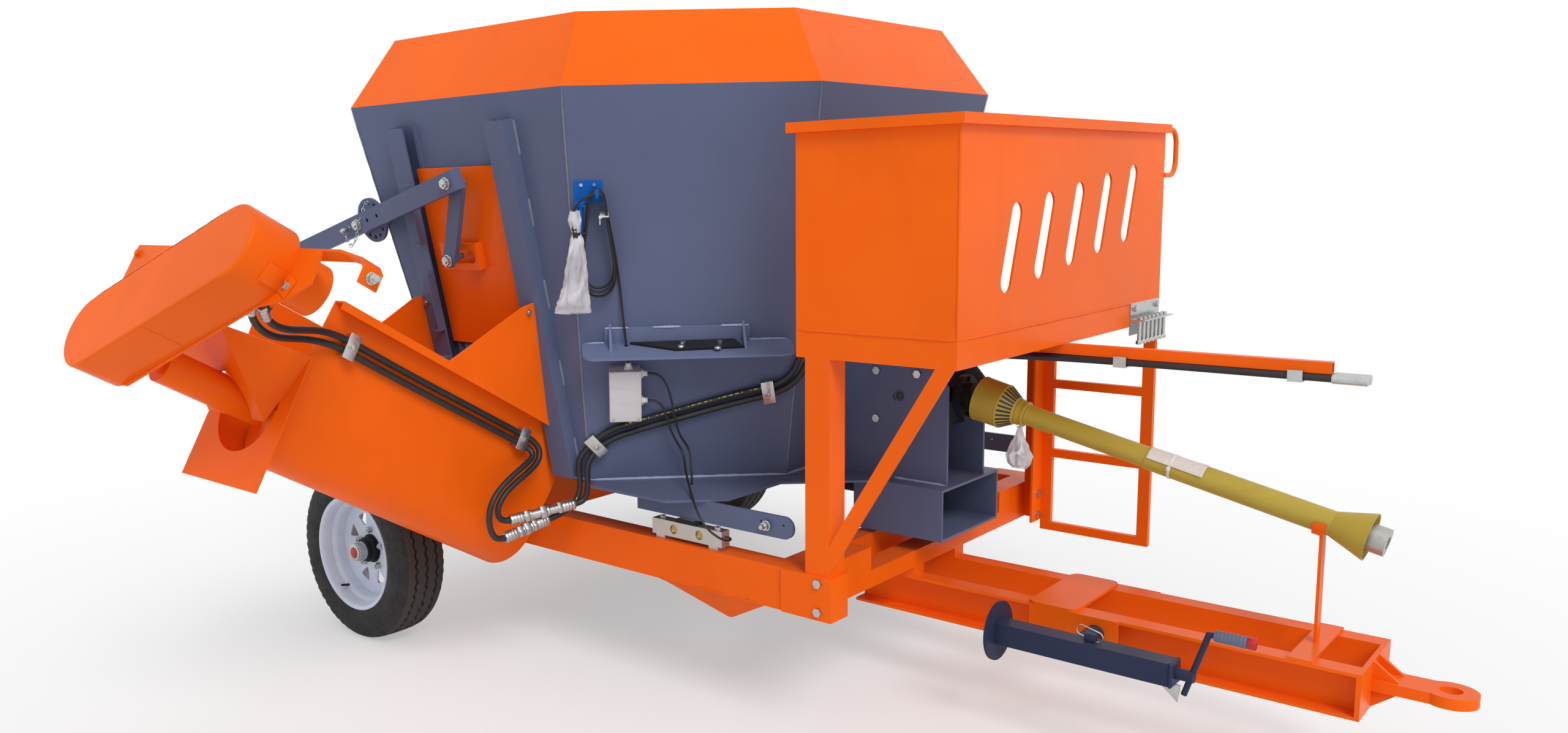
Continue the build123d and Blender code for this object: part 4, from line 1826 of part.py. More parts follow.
# Hydraulic hoses: along the trough from the motor, through the couplings, up the facet, out under the arm
TROUGH_HOSE_A = [
    port_point(PORT_SS[0], PORT_REACH),
    port_point(PORT_SS[0], PORT_REACH + 2.4 * HOSE_R),
    (385, 163, 282),
    (360, 162, 238),
    (325, 177, 178),
    (281, 204, 112),
    (238, 232, 42),
    (208, 250, -30),
    (198, 255, -95),
    (197, 252, -330),
    (197, 254, -580),
]
TROUGH_HOSE_B = [
    port_point(PORT_SS[1], PORT_REACH),
    port_point(PORT_SS[1], PORT_REACH + 2.4 * HOSE_R),
    (380, 153, 322),
    (352, 141, 280),
    (318, 142, 222),
    (276, 160, 155),
    (236, 188, 85),
    (209, 211, 15),
    (199, 222, -45),
    (197, 225, -95),
    (197, 222, -330),
    (197, 224, -580),
]
LOWER_HOSE_A = [
    (198, -964.8, 847.4),
    (208, -928, 823),
    (222, -912, 792),
    (232, -926, 759),
    (236, -972, 733),
    (236, -1030, 708),
    (235, -1080, 680),
    (232, -1110, 643),
    (229, -1110, 610),
    (232, -1091, 590),
    (240, -1069, 590),
]
LOWER_HOSE_B = [
    (197, -979.9, 821.5),
    (207, -955, 806),
    (222, -944, 788),
    (232, -956, 771),
    (238, -995, 756),
    (240, -1055, 729),
    (240, -1110, 698),
    (238, -1145, 655),
    (235, -1154, 605),
    (236, -1144, 560),
    (239.8, -1123, 537),
    (245, -1099, 539),
]
COUPLING_A_END = (320, -856, 612)
COUPLING_B_END = (280, -939, 571)
RISER_A = [
    COUPLING_A_END,
    (328, -834, 614.3),
    (338, -818, 632),
    (344, -815, 668),
    (349, -822, 712),
    (360, -829, 755),
]
RISER_B = [
    COUPLING_B_END,
    (285.7, -913, 576),
    (295, -880, 586),
    (306, -848, 606),
    (314, -828, 636),
    (318, -824, 676),
    (322, -832, 722),
    (332, -841, 768),
]
WALL_HOSE_A = [
    (-292, 129, 14),
    (-243, 162, 15),
    (-175, 184, 14),
    (-95, 207, 14),
    (25, 241, 15),
    (147, 273, 14),
    (255, 298, 14),
]
WALL_HOSE_A += [(318, 322, 16), (362, 372, 17)]
WALL_HOSE_B = [
    (-313, 147, 14),
    (-262, 188, 15),
    (-190, 211, 14),
    (-100, 236, 14),
    (20, 270, 15),
    (140, 302, 14),
    (250, 326, 14),
]
WALL_HOSE_B += [(303, 346, 16), (338, 388, 17)]
ARM_HOSE_A = [
    (914, -377, 1092),
    (980, -325, 1118),
    (1070, -270, 1128),
    (1190, -210, 1122),
    (1330, -155, 1113),
    (1470, -111, 1109),
    (1590, -91, 1110),
    (1700, -87, 1112),
    (1950, -87, 1112.4),
    (2200, -87, 1112),
    (2334, -87, 1112.2),
]
ARM_HOSE_B = [
    (896, -398, 1102),
    (965, -350, 1128),
    (1060, -300, 1136),
    (1180, -245, 1126),
    (1320, -190, 1114),
    (1460, -145, 1109),
    (1580, -121, 1110),
    (1700, -117, 1112),
    (1950, -117, 1112.4),
    (2200, -117, 1112),
    (2334, -117, 1112.2),
]
with BuildPart() as hydraulic_hoses:
    cord("hose A, trough", [at(CONVEYOR, p) for p in TROUGH_HOSE_A] + LOWER_HOSE_A, HOSE_R)
    cord("hose B, trough", [at(CONVEYOR, p) for p in TROUGH_HOSE_B] + LOWER_HOSE_B, HOSE_R)
    cord("hose A, supply", RISER_A + [at(CORNER_FACET, p) for p in WALL_HOSE_A] + ARM_HOSE_A, HOSE_R)
    cord("hose B, supply", RISER_B + [at(CORNER_FACET, p) for p in WALL_HOSE_B] + ARM_HOSE_B, HOSE_R)
hydraulic_hoses.part.label = "hydraulic_hoses"

# Clamps and couplings of the hoses
TROUGH_CLAMP_SS = (-95.0, -833.0)
WALL_CLAMPS = ((-302.5, 138.0, 40.6), (252.5, 312.0, 10.0))
ARM_CLAMP_XS = (1800.0, 2250.0)
with BuildPart() as hose_fittings:
    for clamp_s in TROUGH_CLAMP_SS:
        half = CLAMP_WIDTH / 2
        block = Plane(origin=at(CONVEYOR, (0, 0, clamp_s - half)), x_dir=(1, 0, 0), z_dir=CONVEYOR.z_dir)
        panel(block, 183, 211, 206, 274, CLAMP_WIDTH)
    for clamp_s, clamp_v, turn in WALL_CLAMPS:
        with BuildSketch(CORNER_FACET) as clamp_face:
            with Locations((clamp_s, clamp_v)):
                Rectangle(CLAMP_WIDTH, 2 * CLAMP_WIDTH, rotation=turn)
        extrude(clamp_face.sketch, amount=CLAMP_HEIGHT)
    for clamp_x in ARM_CLAMP_XS:
        half = CLAMP_WIDTH / 2
        arm_half = HOSE_ARM_SIZE / 2
        wide = arm_half + HOSE_R + 4
        arm_low = DECK_BOTTOM_Z - HOSE_ARM_SIZE
        low = arm_low - 2 * HOSE_R - 5
        bar(clamp_x - half, clamp_x + half, HOSE_ARM_Y - wide, HOSE_ARM_Y + wide, low, arm_low + 6)
        bar(
            clamp_x - half,
            clamp_x + half,
            HOSE_ARM_Y - wide + 3,
            HOSE_ARM_Y + wide - 3,
            low + 3,
            arm_low + 3,
            Mode.SUBTRACT,
        )
        bar(
            clamp_x - half,
            clamp_x + half,
            HOSE_ARM_Y - arm_half,
            HOSE_ARM_Y + arm_half,
            low + 3,
            arm_low + 6,
            Mode.SUBTRACT,
        )
    rod(LOWER_HOSE_A[-1], COUPLING_A_END, COUPLING_R)
    rod(LOWER_HOSE_B[-1], COUPLING_B_END, COUPLING_R)
    for hose_end in (ARM_HOSE_A[-1], ARM_HOSE_B[-1]):
        rod(hose_end, (hose_end[0] + 80, hose_end[1], hose_end[2]), HOSE_R + 3)
    add(hydraulic_hoses.part, mode=Mode.SUBTRACT)
    add(trough.part, mode=Mode.SUBTRACT)
hose_fittings.part.label = "hose_fittings"

# Jack: the square outer tube with its swivel sleeve
with BuildPart() as jack_tube:
    half, wall = JACK_SIZE / 2, JACK_WALL
    inner = half - wall
    bar(JACK_REAR_X, JACK_FRONT_X, JACK_Y - half, JACK_Y + half, JACK_Z - half, JACK_Z + half)
    bar(
        JACK_REAR_X,
        JACK_FRONT_X - wall,
        JACK_Y - inner,
        JACK_Y + inner,
        JACK_Z - inner,
        JACK_Z + inner,
        Mode.SUBTRACT,
    )
    sleeve_end = -SADDLE_HALF - PART_GAP
    rod((JACK_PIVOT_X, JACK_Y + half, JACK_Z), (JACK_PIVOT_X, sleeve_end, JACK_Z), JACK_SLEEVE_R)
    rod(
        (JACK_PIVOT_X, JACK_Y + half, JACK_Z),
        (JACK_PIVOT_X, sleeve_end, JACK_Z),
        JACK_PIN_R + RUN_GAP,
        Mode.SUBTRACT,
    )
    rod(
        (JACK_FRONT_X - wall - 1, JACK_Y, JACK_Z),
        (JACK_FRONT_X + 1, JACK_Y, JACK_Z),
        JACK_SCREW_R + RUN_GAP,
        Mode.SUBTRACT,
    )
    low = JACK_Z - half
    plate(
        Plane.XZ.offset(-JACK_Y),
        [(JACK_FRONT_X - 40, low), (JACK_FRONT_X + 12, low), (JACK_FRONT_X + 8, low - 42)],
        1.5,
        both=True,
    )
jack_tube.part.label = "jack_tube"

# Jack: the sliding leg with its round foot
with BuildPart() as jack_leg:
    half = JACK_LEG_SIZE / 2
    inner = half - JACK_LEG_WALL
    leg_front = JACK_REAR_X + JACK_LEG_LENGTH
    bar(JACK_REAR_X, leg_front, JACK_Y - half, JACK_Y + half, JACK_Z - half, JACK_Z + half)
    bar(
        JACK_REAR_X,
        leg_front - JACK_LEG_WALL,
        JACK_Y - inner,
        JACK_Y + inner,
        JACK_Z - inner,
        JACK_Z + inner,
        Mode.SUBTRACT,
    )
    rod(
        (leg_front - 2 * JACK_LEG_WALL, JACK_Y, JACK_Z),
        (leg_front + 1, JACK_Y, JACK_Z),
        JACK_SCREW_R + SEAT_GAP,
        Mode.SUBTRACT,
    )
    rod((JACK_REAR_X - JACK_FOOT, JACK_Y, JACK_Z), (JACK_REAR_X - SEAT_GAP, JACK_Y, JACK_Z), JACK_FOOT_R)
    bar(JACK_REAR_X - JACK_FOOT, JACK_REAR_X, JACK_Y - half, JACK_Y + half, JACK_Z - half, JACK_Z + half)
jack_leg.part.label = "jack_leg"

# Jack: the crank on its screw
with BuildPart() as jack_crank:
    hub_start = JACK_FRONT_X + SEAT_GAP
    hub_end = hub_start + CRANK_HUB
    rod((JACK_FRONT_X - JACK_SCREW_REACH, JACK_Y, JACK_Z), (hub_end, JACK_Y, JACK_Z), JACK_SCREW_R)
    rod((hub_start, JACK_Y, JACK_Z), (hub_end, JACK_Y, JACK_Z), CRANK_HUB_R)
    share = CRANK_DROP / (CRANK_DROP + CRANK_THROW)
    low_x = hub_end - CRANK_R - share * CRANK_SWEEP
    high_x = low_x + CRANK_SWEEP
    grip_z = JACK_Z + CRANK_THROW
    rod((low_x, JACK_Y, JACK_Z - CRANK_DROP), (high_x, JACK_Y, grip_z), CRANK_R)
    with Locations((high_x, JACK_Y, grip_z)):
        Sphere(CRANK_R)
    rod((high_x, JACK_Y, grip_z), (high_x + CRANK_R + GRIP_LENGTH, JACK_Y, grip_z), CRANK_R)
    rod(
        (high_x + 2 * CRANK_R, JACK_Y, grip_z),
        (high_x + 2 * CRANK_R + GRIP_LENGTH, JACK_Y, grip_z),
        GRIP_R,
    )
jack_crank.part.label = "jack_crank"

# Bolts, nuts and the spare shear bolts
with BuildPart() as fasteners:
    for side in SIDES:
        doubler = outward(side, BEAM_OUTER_Y + DOUBLER)
        for share in (0.2, 0.85):
            bolt(doubler, (-side * (beam_front(side) - 42), BEAM_BOTTOM_Z + share * BEAM_HEIGHT))
        cheek = outward(side, SIDE_PLATE_INNER_Y + SIDE_PLATE)
        for dx in (-PLATE_BOLT_DX / 2, PLATE_BOLT_DX / 2):
            for dz in (-PLATE_BOLT_DZ / 2, PLATE_BOLT_DZ / 2):
                bolt(cheek, (-side * (DROP_BOX_X + dx), INPUT_Z + dz))
        foot_face = outward(side, CELL_Y + FOOT_T / 2)
        for end in SIDES:
            bolt(foot_face, (-side * end * FOOT_BOLT_X, FOOT_Z), SMALL_FLATS, SMALL_HEAD, SMALL_R)
            for shift in (-1, 1):
                spot = (end * CELL_X + shift * (CELL_LENGTH - CELL_PAD) / 2, side * CELL_Y)
                bolt(Plane.XY.offset(CELL_TOP_Z), spot, SMALL_FLATS, SMALL_HEAD)
    wing_bolt = Vector(*at(GUIDE_FACE, (0, WING_TOP_V - WING_BOLT_DROP, WING_BOLT_W)))
    bolt(RIGHT_WING, on_right_wing(wing_bolt), SMALL_FLATS, SMALL_HEAD, SMALL_R)
    bolt(
        GUIDE_FACE,
        (LEFT_WING_X + GUIDE_LIP / 4, WING_TOP_V - WING_BOLT_DROP),
        SMALL_FLATS,
        SMALL_HEAD,
        SMALL_R,
    )
    for blade_s in BLADE_BOLT_SS:
        blade_top = Plane(
            origin=at(CORNER_FACET, (0, SHELF_V + BLADE_T, 0)),
            x_dir=CORNER_FACET.x_dir,
            z_dir=CORNER_FACET.y_dir,
        )
        bolt(blade_top, (blade_s, -BLADE_BOLT_W), SMALL_FLATS, SMALL_HEAD)
    for shift_s in (-1, 1):
        for shift_v in (-1, 1):
            spot = (BOX_S + shift_s * (BOX_WIDTH / 2 - 10), BOX_V + shift_v * (BOX_HEIGHT / 2 - 10))
            disc(CORNER_FACET.offset(BOX_DEPTH), spot, SMALL_R, 2)
        bolt(
            CORNER_FACET.offset(HOOK_PLATE),
            ((HOOK_S + HOLDER_S) / 2 + shift_s * 20, HOOK_V + 4 * HOOK_R),
            10,
            5,
        )
    for post_z in (BEAM_BOTTOM_Z + 25, BEAM_TOP_Z - 25):
        bolt(Plane.YZ.offset(ANGLE_X + ANGLE_T), (DECK_LEFT_Y - ANGLE_LEG / 2, post_z))
    for index in range(RACK_BOLTS):
        x, y = spare_bolt_place(index)
        rod((x, y, RACK_SHELF_Z - SPARE_BOLT_LENGTH), (x, y, RACK_SHELF_Z), SPARE_BOLT_R)
        bolt(Plane.XY.offset(RACK_SHELF_Z), (x, y), SMALL_FLATS, SMALL_HEAD)
    strap_end = LUG_STRAP_RUN[-1]
    stud_u = (strap_end[1] + LUG_STRAP_END_U) / 2
    stud_s = CASE_FLOOR_S - LUG_STRAP_WIDTH / 2
    bolt(conveyor_side(strap_end[0]), (stud_u, stud_s), SMALL_FLATS, SMALL_HEAD, SMALL_R)
fasteners.part.label = "fasteners"

CORDS = [cable_hank, connector_bag, signal_cables]
PIECES = [side_beams, cross_members, drawbar_rails, drawbar_saddle, tow_eye, pto_rest, axle_beam]
PIECES += [tyre_right, tyre_left, wheel_right, wheel_left]
PIECES += [platform_posts, platform_floor, platform_panels, platform_rim, ladder, shear_bolt_rack, hose_arm]
PIECES += [tub_shell, spill_ring, base_plate, load_feet, load_cells, main_tunnel, gearbox_side_plates]
PIECES += [
    drop_gearbox,
    main_gearbox,
    input_shaft,
    pto_shaft,
    pto_guard,
    chain_bag,
    mixing_auger,
    auger_knives,
]
PIECES += [door_rails, index_disc, door, lever, link, trough, trough_wings, head_bracket, chain_case_plate]
PIECES += [
    chain_cover,
    hydraulic_motor,
    drive_chain,
    discharge_auger,
    motor_sprocket,
    knife_shelf,
    counter_knife,
]
PIECES += [
    junction_box,
    cable_hook,
    hydraulic_hoses,
    hose_fittings,
    jack_tube,
    jack_leg,
    jack_crank,
    fasteners,
]

# The origin goes to the middle of the machine's footprint, on the ground
low = [min(getattr(piece.part.bounding_box().min, axis) for piece in PIECES) for axis in "XYZ"]
high = [max(getattr(piece.part.bounding_box().max, axis) for piece in PIECES) for axis in "XYZ"]
TO_ORIGIN = Location((-(low[0] + high[0]) / 2, -(low[1] + high[1]) / 2, -low[2]))
print("box", low, high)
print("moved by", TO_ORIGIN.position)
for piece in PIECES + CORDS:
    placed = piece.part.moved(TO_ORIGIN)
    placed.label = piece.part.label
    export_step(placed, f"parts/{placed.label}.step")
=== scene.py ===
import json
from math import atan2, copysign, cos, pi, radians, sin, sqrt

import bmesh
import bpy
from mathutils import Matrix, Vector, noise

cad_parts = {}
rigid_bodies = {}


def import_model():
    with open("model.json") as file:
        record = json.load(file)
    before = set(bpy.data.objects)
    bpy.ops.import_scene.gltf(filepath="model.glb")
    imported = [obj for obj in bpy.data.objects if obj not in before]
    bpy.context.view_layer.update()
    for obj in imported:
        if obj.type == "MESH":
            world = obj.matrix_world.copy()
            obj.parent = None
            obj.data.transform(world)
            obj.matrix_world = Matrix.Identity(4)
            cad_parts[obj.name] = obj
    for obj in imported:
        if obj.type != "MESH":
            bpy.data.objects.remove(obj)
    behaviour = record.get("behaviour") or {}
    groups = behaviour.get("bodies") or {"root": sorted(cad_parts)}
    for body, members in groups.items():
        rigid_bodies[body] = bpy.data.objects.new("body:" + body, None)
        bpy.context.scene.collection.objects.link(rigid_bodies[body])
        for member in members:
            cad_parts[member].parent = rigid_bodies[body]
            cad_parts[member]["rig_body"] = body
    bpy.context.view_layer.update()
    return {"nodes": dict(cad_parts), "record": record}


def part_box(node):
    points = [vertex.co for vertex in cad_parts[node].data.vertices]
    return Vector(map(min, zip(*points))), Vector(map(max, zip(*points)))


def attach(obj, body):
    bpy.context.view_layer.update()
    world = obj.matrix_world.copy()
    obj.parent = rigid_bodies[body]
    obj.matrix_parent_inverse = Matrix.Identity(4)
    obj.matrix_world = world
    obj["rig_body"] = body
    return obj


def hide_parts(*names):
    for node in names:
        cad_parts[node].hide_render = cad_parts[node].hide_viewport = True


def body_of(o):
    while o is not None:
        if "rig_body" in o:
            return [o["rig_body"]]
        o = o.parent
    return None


bl_info = {
    "name": "Vertical feed mixer",
    "version": (1, 0, 0),
    "blender": (4, 5, 0),
    "location": "View3D > Sidebar > Feed mixer",
    "description": "Dresses the packed feed mixer with its finishes, welds, hoses, cables and small parts",
    "category": "Object",
}

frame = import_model()
NODES = frame["nodes"]
MM = 0.001
SIDES = ((-1, "right"), (1, "left"))


def srgb(red, green, blue):
    """A display colour of 0 to 255 as linear values."""
    values = (red / 255, green / 255, blue / 255)
    return tuple(v / 12.92 if v <= 0.04045 else ((v + 0.055) / 1.055) ** 2.4 for v in values)


def local_frame(origin, x_axis, z_axis):
    """A matrix for a place on the machine: its origin, its x axis and its outward z axis."""
    x, z = Vector(x_axis).normalized(), Vector(z_axis).normalized()
    turn = Matrix((x, z.cross(x), z)).transposed().to_4x4()
    return Matrix.Translation(Vector(origin)) @ turn


def extent(node):
    """The two corners of a CAD piece's box."""
    return tuple(Vector(corner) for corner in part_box(node))


def middle(node):
    low, high = extent(node)
    return (low + high) / 2


# The tub's axis meets the ground here; the machine's own places are counted from it, in millimetres
TUB_AXIS = Vector((middle("tub_shell").x, middle("tub_shell").y, 0))
MACHINE = Matrix.Translation(TUB_AXIS)
TUB_FLOOR, TUB_TOP = (corner.z for corner in extent("tub_shell"))
RING_TOP = extent("spill_ring")[1].z
# Reach and half length of a main facet at the tub's foot, at its mouth and at the spill ring's top
TUB_BASE, TUB_MOUTH, RING_MOUTH = (0.790, 0.327), (1.060, 0.522), (0.914, 0.448)
CONVEYOR_HEAD, CONVEYOR_SLOPE = (0, -1.813, 1.046), radians(30.2)
SHAFT_START, SHAFT_SLOPE = (1.310, 0, 0.945), radians(13.2)


def facet_frame(heading, base, top):
    """A tub facet: x along its foot, y up its slope, z outwards."""
    lean, turn = atan2(top - base, TUB_TOP - TUB_FLOOR), radians(heading)
    origin = TUB_AXIS + Vector((base * cos(turn), base * sin(turn), TUB_FLOOR))
    out = (cos(turn) * cos(lean), sin(turn) * cos(lean), -sin(lean))
    return local_frame(origin, (-sin(turn), cos(turn), 0), out)


RIGHT_FACET = facet_frame(-90, TUB_BASE[0], TUB_MOUTH[0])
CORNER_FACET = facet_frame(-45, sum(TUB_BASE) / sqrt(2), sum(TUB_MOUTH) / sqrt(2))
CONVEYOR = local_frame(
    MACHINE @ Vector(CONVEYOR_HEAD), (1, 0, 0), (0, -cos(CONVEYOR_SLOPE), sin(CONVEYOR_SLOPE))
)
DRIVE_SHAFT = local_frame(
    MACHINE @ Vector(SHAFT_START), (0, 1, 0), (cos(SHAFT_SLOPE), 0, -sin(SHAFT_SLOPE))
)


def places(matrix, points):
    """Points in millimetres in a local frame, as places on the machine in metres."""
    return [matrix @ (Vector(p) * MM) for p in points]


def shifted(matrix, x, y, z=0):
    """A local frame moved by millimetres along its own axes."""
    return matrix @ Matrix.Translation(Vector((x, y, z)) * MM)


def aside(matrix, point, x_axis, z_axis):
    """A frame at a point in millimetres of another frame, with its axes given in that frame."""
    turn = matrix.to_3x3()
    return local_frame(places(matrix, [point])[0], turn @ Vector(x_axis), turn @ Vector(z_axis))


def line_frame(start, end):
    """A frame at one place with its z axis towards another."""
    return local_frame(start, (end - start).orthogonal(), end - start)


def turned(matrix, share):
    """A local frame turned by a share of a full turn about its z axis."""
    return matrix @ Matrix.Rotation(2 * pi * share, 4, "Z")


class MixerFinishes(bpy.types.PropertyGroup):
    """Colours of the machine's finishes."""

    def colour(name, words, value):
        return bpy.props.FloatVectorProperty(
            name=name, description=words, subtype="COLOR", size=3, min=0, max=1, default=value
        )

    orange: colour("Orange enamel", "Chassis, platform, trough and spill ring", srgb(247, 102, 14))
    grey: colour("Grey enamel", "Tub, tunnel, lever and door guides", srgb(95, 104, 133))
    jack: colour("Jack paint", "Jack tube and leg", srgb(46, 53, 78))
    black: colour("Black paint", "Gearboxes, input flange and counter-knife", srgb(38, 39, 43))
    rim: colour("Rim paint", "Wheel discs", srgb(214, 224, 240))
    tyre: colour("Tyre rubber", "Tyres", srgb(40, 40, 43))
    guard: colour("Guard plastic", "Drive shaft guard", srgb(186, 163, 58))
    box: colour("Box plastic", "Junction box", srgb(205, 203, 205))
    blue: colour("Blue paint", "Cable hook", srgb(22, 98, 190))
    zinc: colour("Zinc", "Bolts, clamps and couplings", srgb(205, 207, 205))
    steel: colour("Bare steel", "Augers, chain and load cells", srgb(190, 187, 182))
    hose: colour("Hose cover", "Hydraulic hoses", srgb(34, 34, 36))
    cable: colour("Cable jacket", "Weighing cables", srgb(24, 24, 26))
    film: colour("Clear film", "Bags", srgb(226, 226, 232))


class MixerSizes(bpy.types.PropertyGroup):
    """Sizes of the added detail."""

    def length(name, words, value):
        return bpy.props.FloatProperty(
            name=name, description=words, subtype="DISTANCE", unit="LENGTH", min=0, default=value
        )

    hose_radius: length("Hose radius", "Outside radius of the hydraulic hoses", 0.010)
    cable_radius: length("Cable radius", "Outside radius of the weighing cables", 0.0035)
    seam_bead: length("Seam bead", "Half width of the long weld seams", 0.0030)
    stitch_bead: length("Stitch bead", "Half width of the short welds", 0.0045)
    cover_edge: length("Cover edge", "Edge radius of the chain cover", 0.007)
    groove_depth: length("Groove depth", "Depth of the tyre's grooves", 0.009)


class Finish:
    """A material under construction."""

    def __init__(self, name, colour, roughness, metallic=0.0):
        self.material = bpy.data.materials.new(name)
        self.material.use_nodes = True
        self.tree = self.material.node_tree
        self.shader = self.tree.nodes["Principled BSDF"]
        self.set("Base Color", (*colour, 1))
        self.set("Roughness", roughness)
        self.set("Metallic", metallic)
        self.normal = None

    def set(self, socket, value):
        self.feed(self.shader.inputs[socket], value)

    def feed(self, socket, value):
        if isinstance(value, bpy.types.NodeSocket):
            self.tree.links.new(value, socket)
        else:
            socket.default_value = value

    def node(self, kind, *values, **settings):
        made = self.tree.nodes.new(kind)
        for key, value in settings.items():
            setattr(made, key, value)
        for socket, value in zip(made.inputs, values):
            if value is not None:
                self.feed(socket, value)
        return made

    def spot(self, offset=(0, 0, 0), scale=(1, 1, 1)):
        """Object coordinates, moved so that a place on the machine is their origin."""
        coords = self.node("ShaderNodeTexCoord").outputs["Object"]
        shift = tuple(-v * s for v, s in zip(offset, scale))
        return self.node("ShaderNodeMapping", coords, shift, None, scale).outputs[0]

    def noise(self, scale, detail, vector=None):
        made = self.node("ShaderNodeTexNoise", vector or self.spot())
        made.inputs["Scale"].default_value = scale
        made.inputs["Detail"].default_value = detail
        return made.outputs["Fac"]

    def range(self, value, low, high, to_low=0.0, to_high=1.0):
        return self.node("ShaderNodeMapRange", value, low, high, to_low, to_high).outputs[0]

    def sum(self, operation, first, second=0.0):
        return self.node("ShaderNodeMath", first, second, operation=operation).outputs[0]

    def dot(self, first, second):
        made = self.node("ShaderNodeVectorMath", first, tuple(second), operation="DOT_PRODUCT")
        return made.outputs["Value"]

    def surface_normal(self):
        return self.node("ShaderNodeNewGeometry").outputs["Normal"]

    def within(self, value, low, high, blur):
        """1 between two limits, 0 outside, with a short ramp."""
        above = self.range(value, low - blur, low + blur)
        below = self.range(value, high - blur, high + blur, 1.0, 0.0)
        return self.sum("MULTIPLY", above, below)

    def mix(self, share, first, second):
        made = self.node("ShaderNodeMix", data_type="RGBA")
        self.feed(made.inputs[0], share)
        for socket, tone in ((made.inputs[6], first), (made.inputs[7], second)):
            self.feed(socket, tone if isinstance(tone, bpy.types.NodeSocket) else (*tone, 1))
        return made.outputs[2]

    def bump(self, height, distance, strength):
        made = self.node("ShaderNodeBump")
        made.inputs["Strength"].default_value = strength
        made.inputs["Distance"].default_value = distance
        self.feed(made.inputs["Height"], height)
        if self.normal is not None:
            self.feed(made.inputs["Normal"], self.normal)
        self.normal = made.outputs[0]
        self.set("Normal", self.normal)

    def radius(self, centre, axis):
        """Distance from an axis through a point, the place along that axis, and the two places across it."""
        split = self.node("ShaderNodeSeparateXYZ", self.spot(centre)).outputs
        across = [split[i] for i in range(3) if i != axis]
        squares = [self.sum("MULTIPLY", a, a) for a in across]
        return self.sum("SQRT", self.sum("ADD", *squares)), split[axis], across


def darker(colour, share):
    return tuple(v * share for v in colour)


DUST_TONE, DUST_SHARE = (0.42, 0.38, 0.34), 0.05


def enamel(name, colour, roughness, wave):
    """Sprayed enamel on sheet steel: cloudy tone, orange peel, wavy panels, dust on the top faces."""
    finish = Finish(name, colour, roughness)
    cloud = finish.range(finish.noise(1.6, 4), 0.3, 0.7)
    tone = finish.mix(cloud, darker(colour, 0.90), darker(colour, 1.06))
    smear = finish.range(finish.noise(5.5, 5, finish.spot(scale=(1, 1, 0.35))), 0.55, 0.8, 0.0, 0.5)
    tone = finish.mix(smear, tone, darker(colour, 0.84))
    up = finish.node("ShaderNodeSeparateXYZ", finish.surface_normal()).outputs[2]
    patches = finish.range(finish.noise(9, 5), 0.3, 0.75)
    settled = finish.sum("MULTIPLY", finish.range(up, 0.5, 1.0), patches)
    settled = finish.sum("MULTIPLY", settled, DUST_SHARE)
    finish.set("Base Color", finish.mix(settled, tone, DUST_TONE))
    dull = finish.range(finish.noise(3.1, 5), 0.3, 0.7, roughness - 0.06, roughness + 0.09)
    finish.set("Roughness", dull)
    finish.set("Specular IOR Level", 0.09)
    finish.set("Coat Weight", 0.03)
    finish.set("Coat Roughness", 0.16)
    finish.bump(finish.noise(1.9, 1), 0.010 * wave, 0.35)
    finish.bump(finish.noise(210, 2), 0.0006, 0.30)
    return finish


def bare_metal(name, colour, roughness, grain=(40, 40, 40), stain=0.25):
    """Bare or plated steel with a fine grain and faint stains."""
    finish = Finish(name, colour, roughness, 1.0)
    streak = finish.noise(6, 6, finish.spot(scale=grain))
    spots = finish.range(finish.noise(34, 5), 0.45, 0.75, 0.0, stain)
    tone = finish.mix(finish.range(streak, 0.3, 0.7), darker(colour, 0.86), colour)
    finish.set("Base Color", finish.mix(spots, tone, darker(colour, 0.55)))
    finish.set("Roughness", finish.range(streak, 0.25, 0.75, roughness - 0.08, roughness + 0.12))
    finish.bump(streak, 0.0004, 0.35)
    return finish


def moulded(name, colour, roughness, grain=0.0006):
    """Moulded plastic or rubber with a fine grain and light scuffs."""
    finish = Finish(name, colour, roughness)
    scuff = finish.range(finish.noise(11, 6, finish.spot(scale=(1, 1, 3))), 0.5, 0.8, 0.0, 0.35)
    cloud = finish.range(finish.noise(3, 3), 0.3, 0.7)
    tone = finish.mix(cloud, darker(colour, 0.90), darker(colour, 1.05))
    finish.set("Base Color", finish.mix(scuff, tone, darker(colour, 0.72)))
    finish.set("Roughness", finish.range(finish.noise(26, 4), 0.3, 0.7, roughness - 0.07, roughness + 0.10))
    finish.bump(finish.noise(320, 2), grain, 0.4)
    return finish


TREAD_SLITS, SLIT_SLANT, TREAD_REACH = 132, 5.0, 0.3185
SIDEWALL_RINGS, SIDEWALL_LOW, SIDEWALL_HIGH = 85.0, 0.235, 0.290


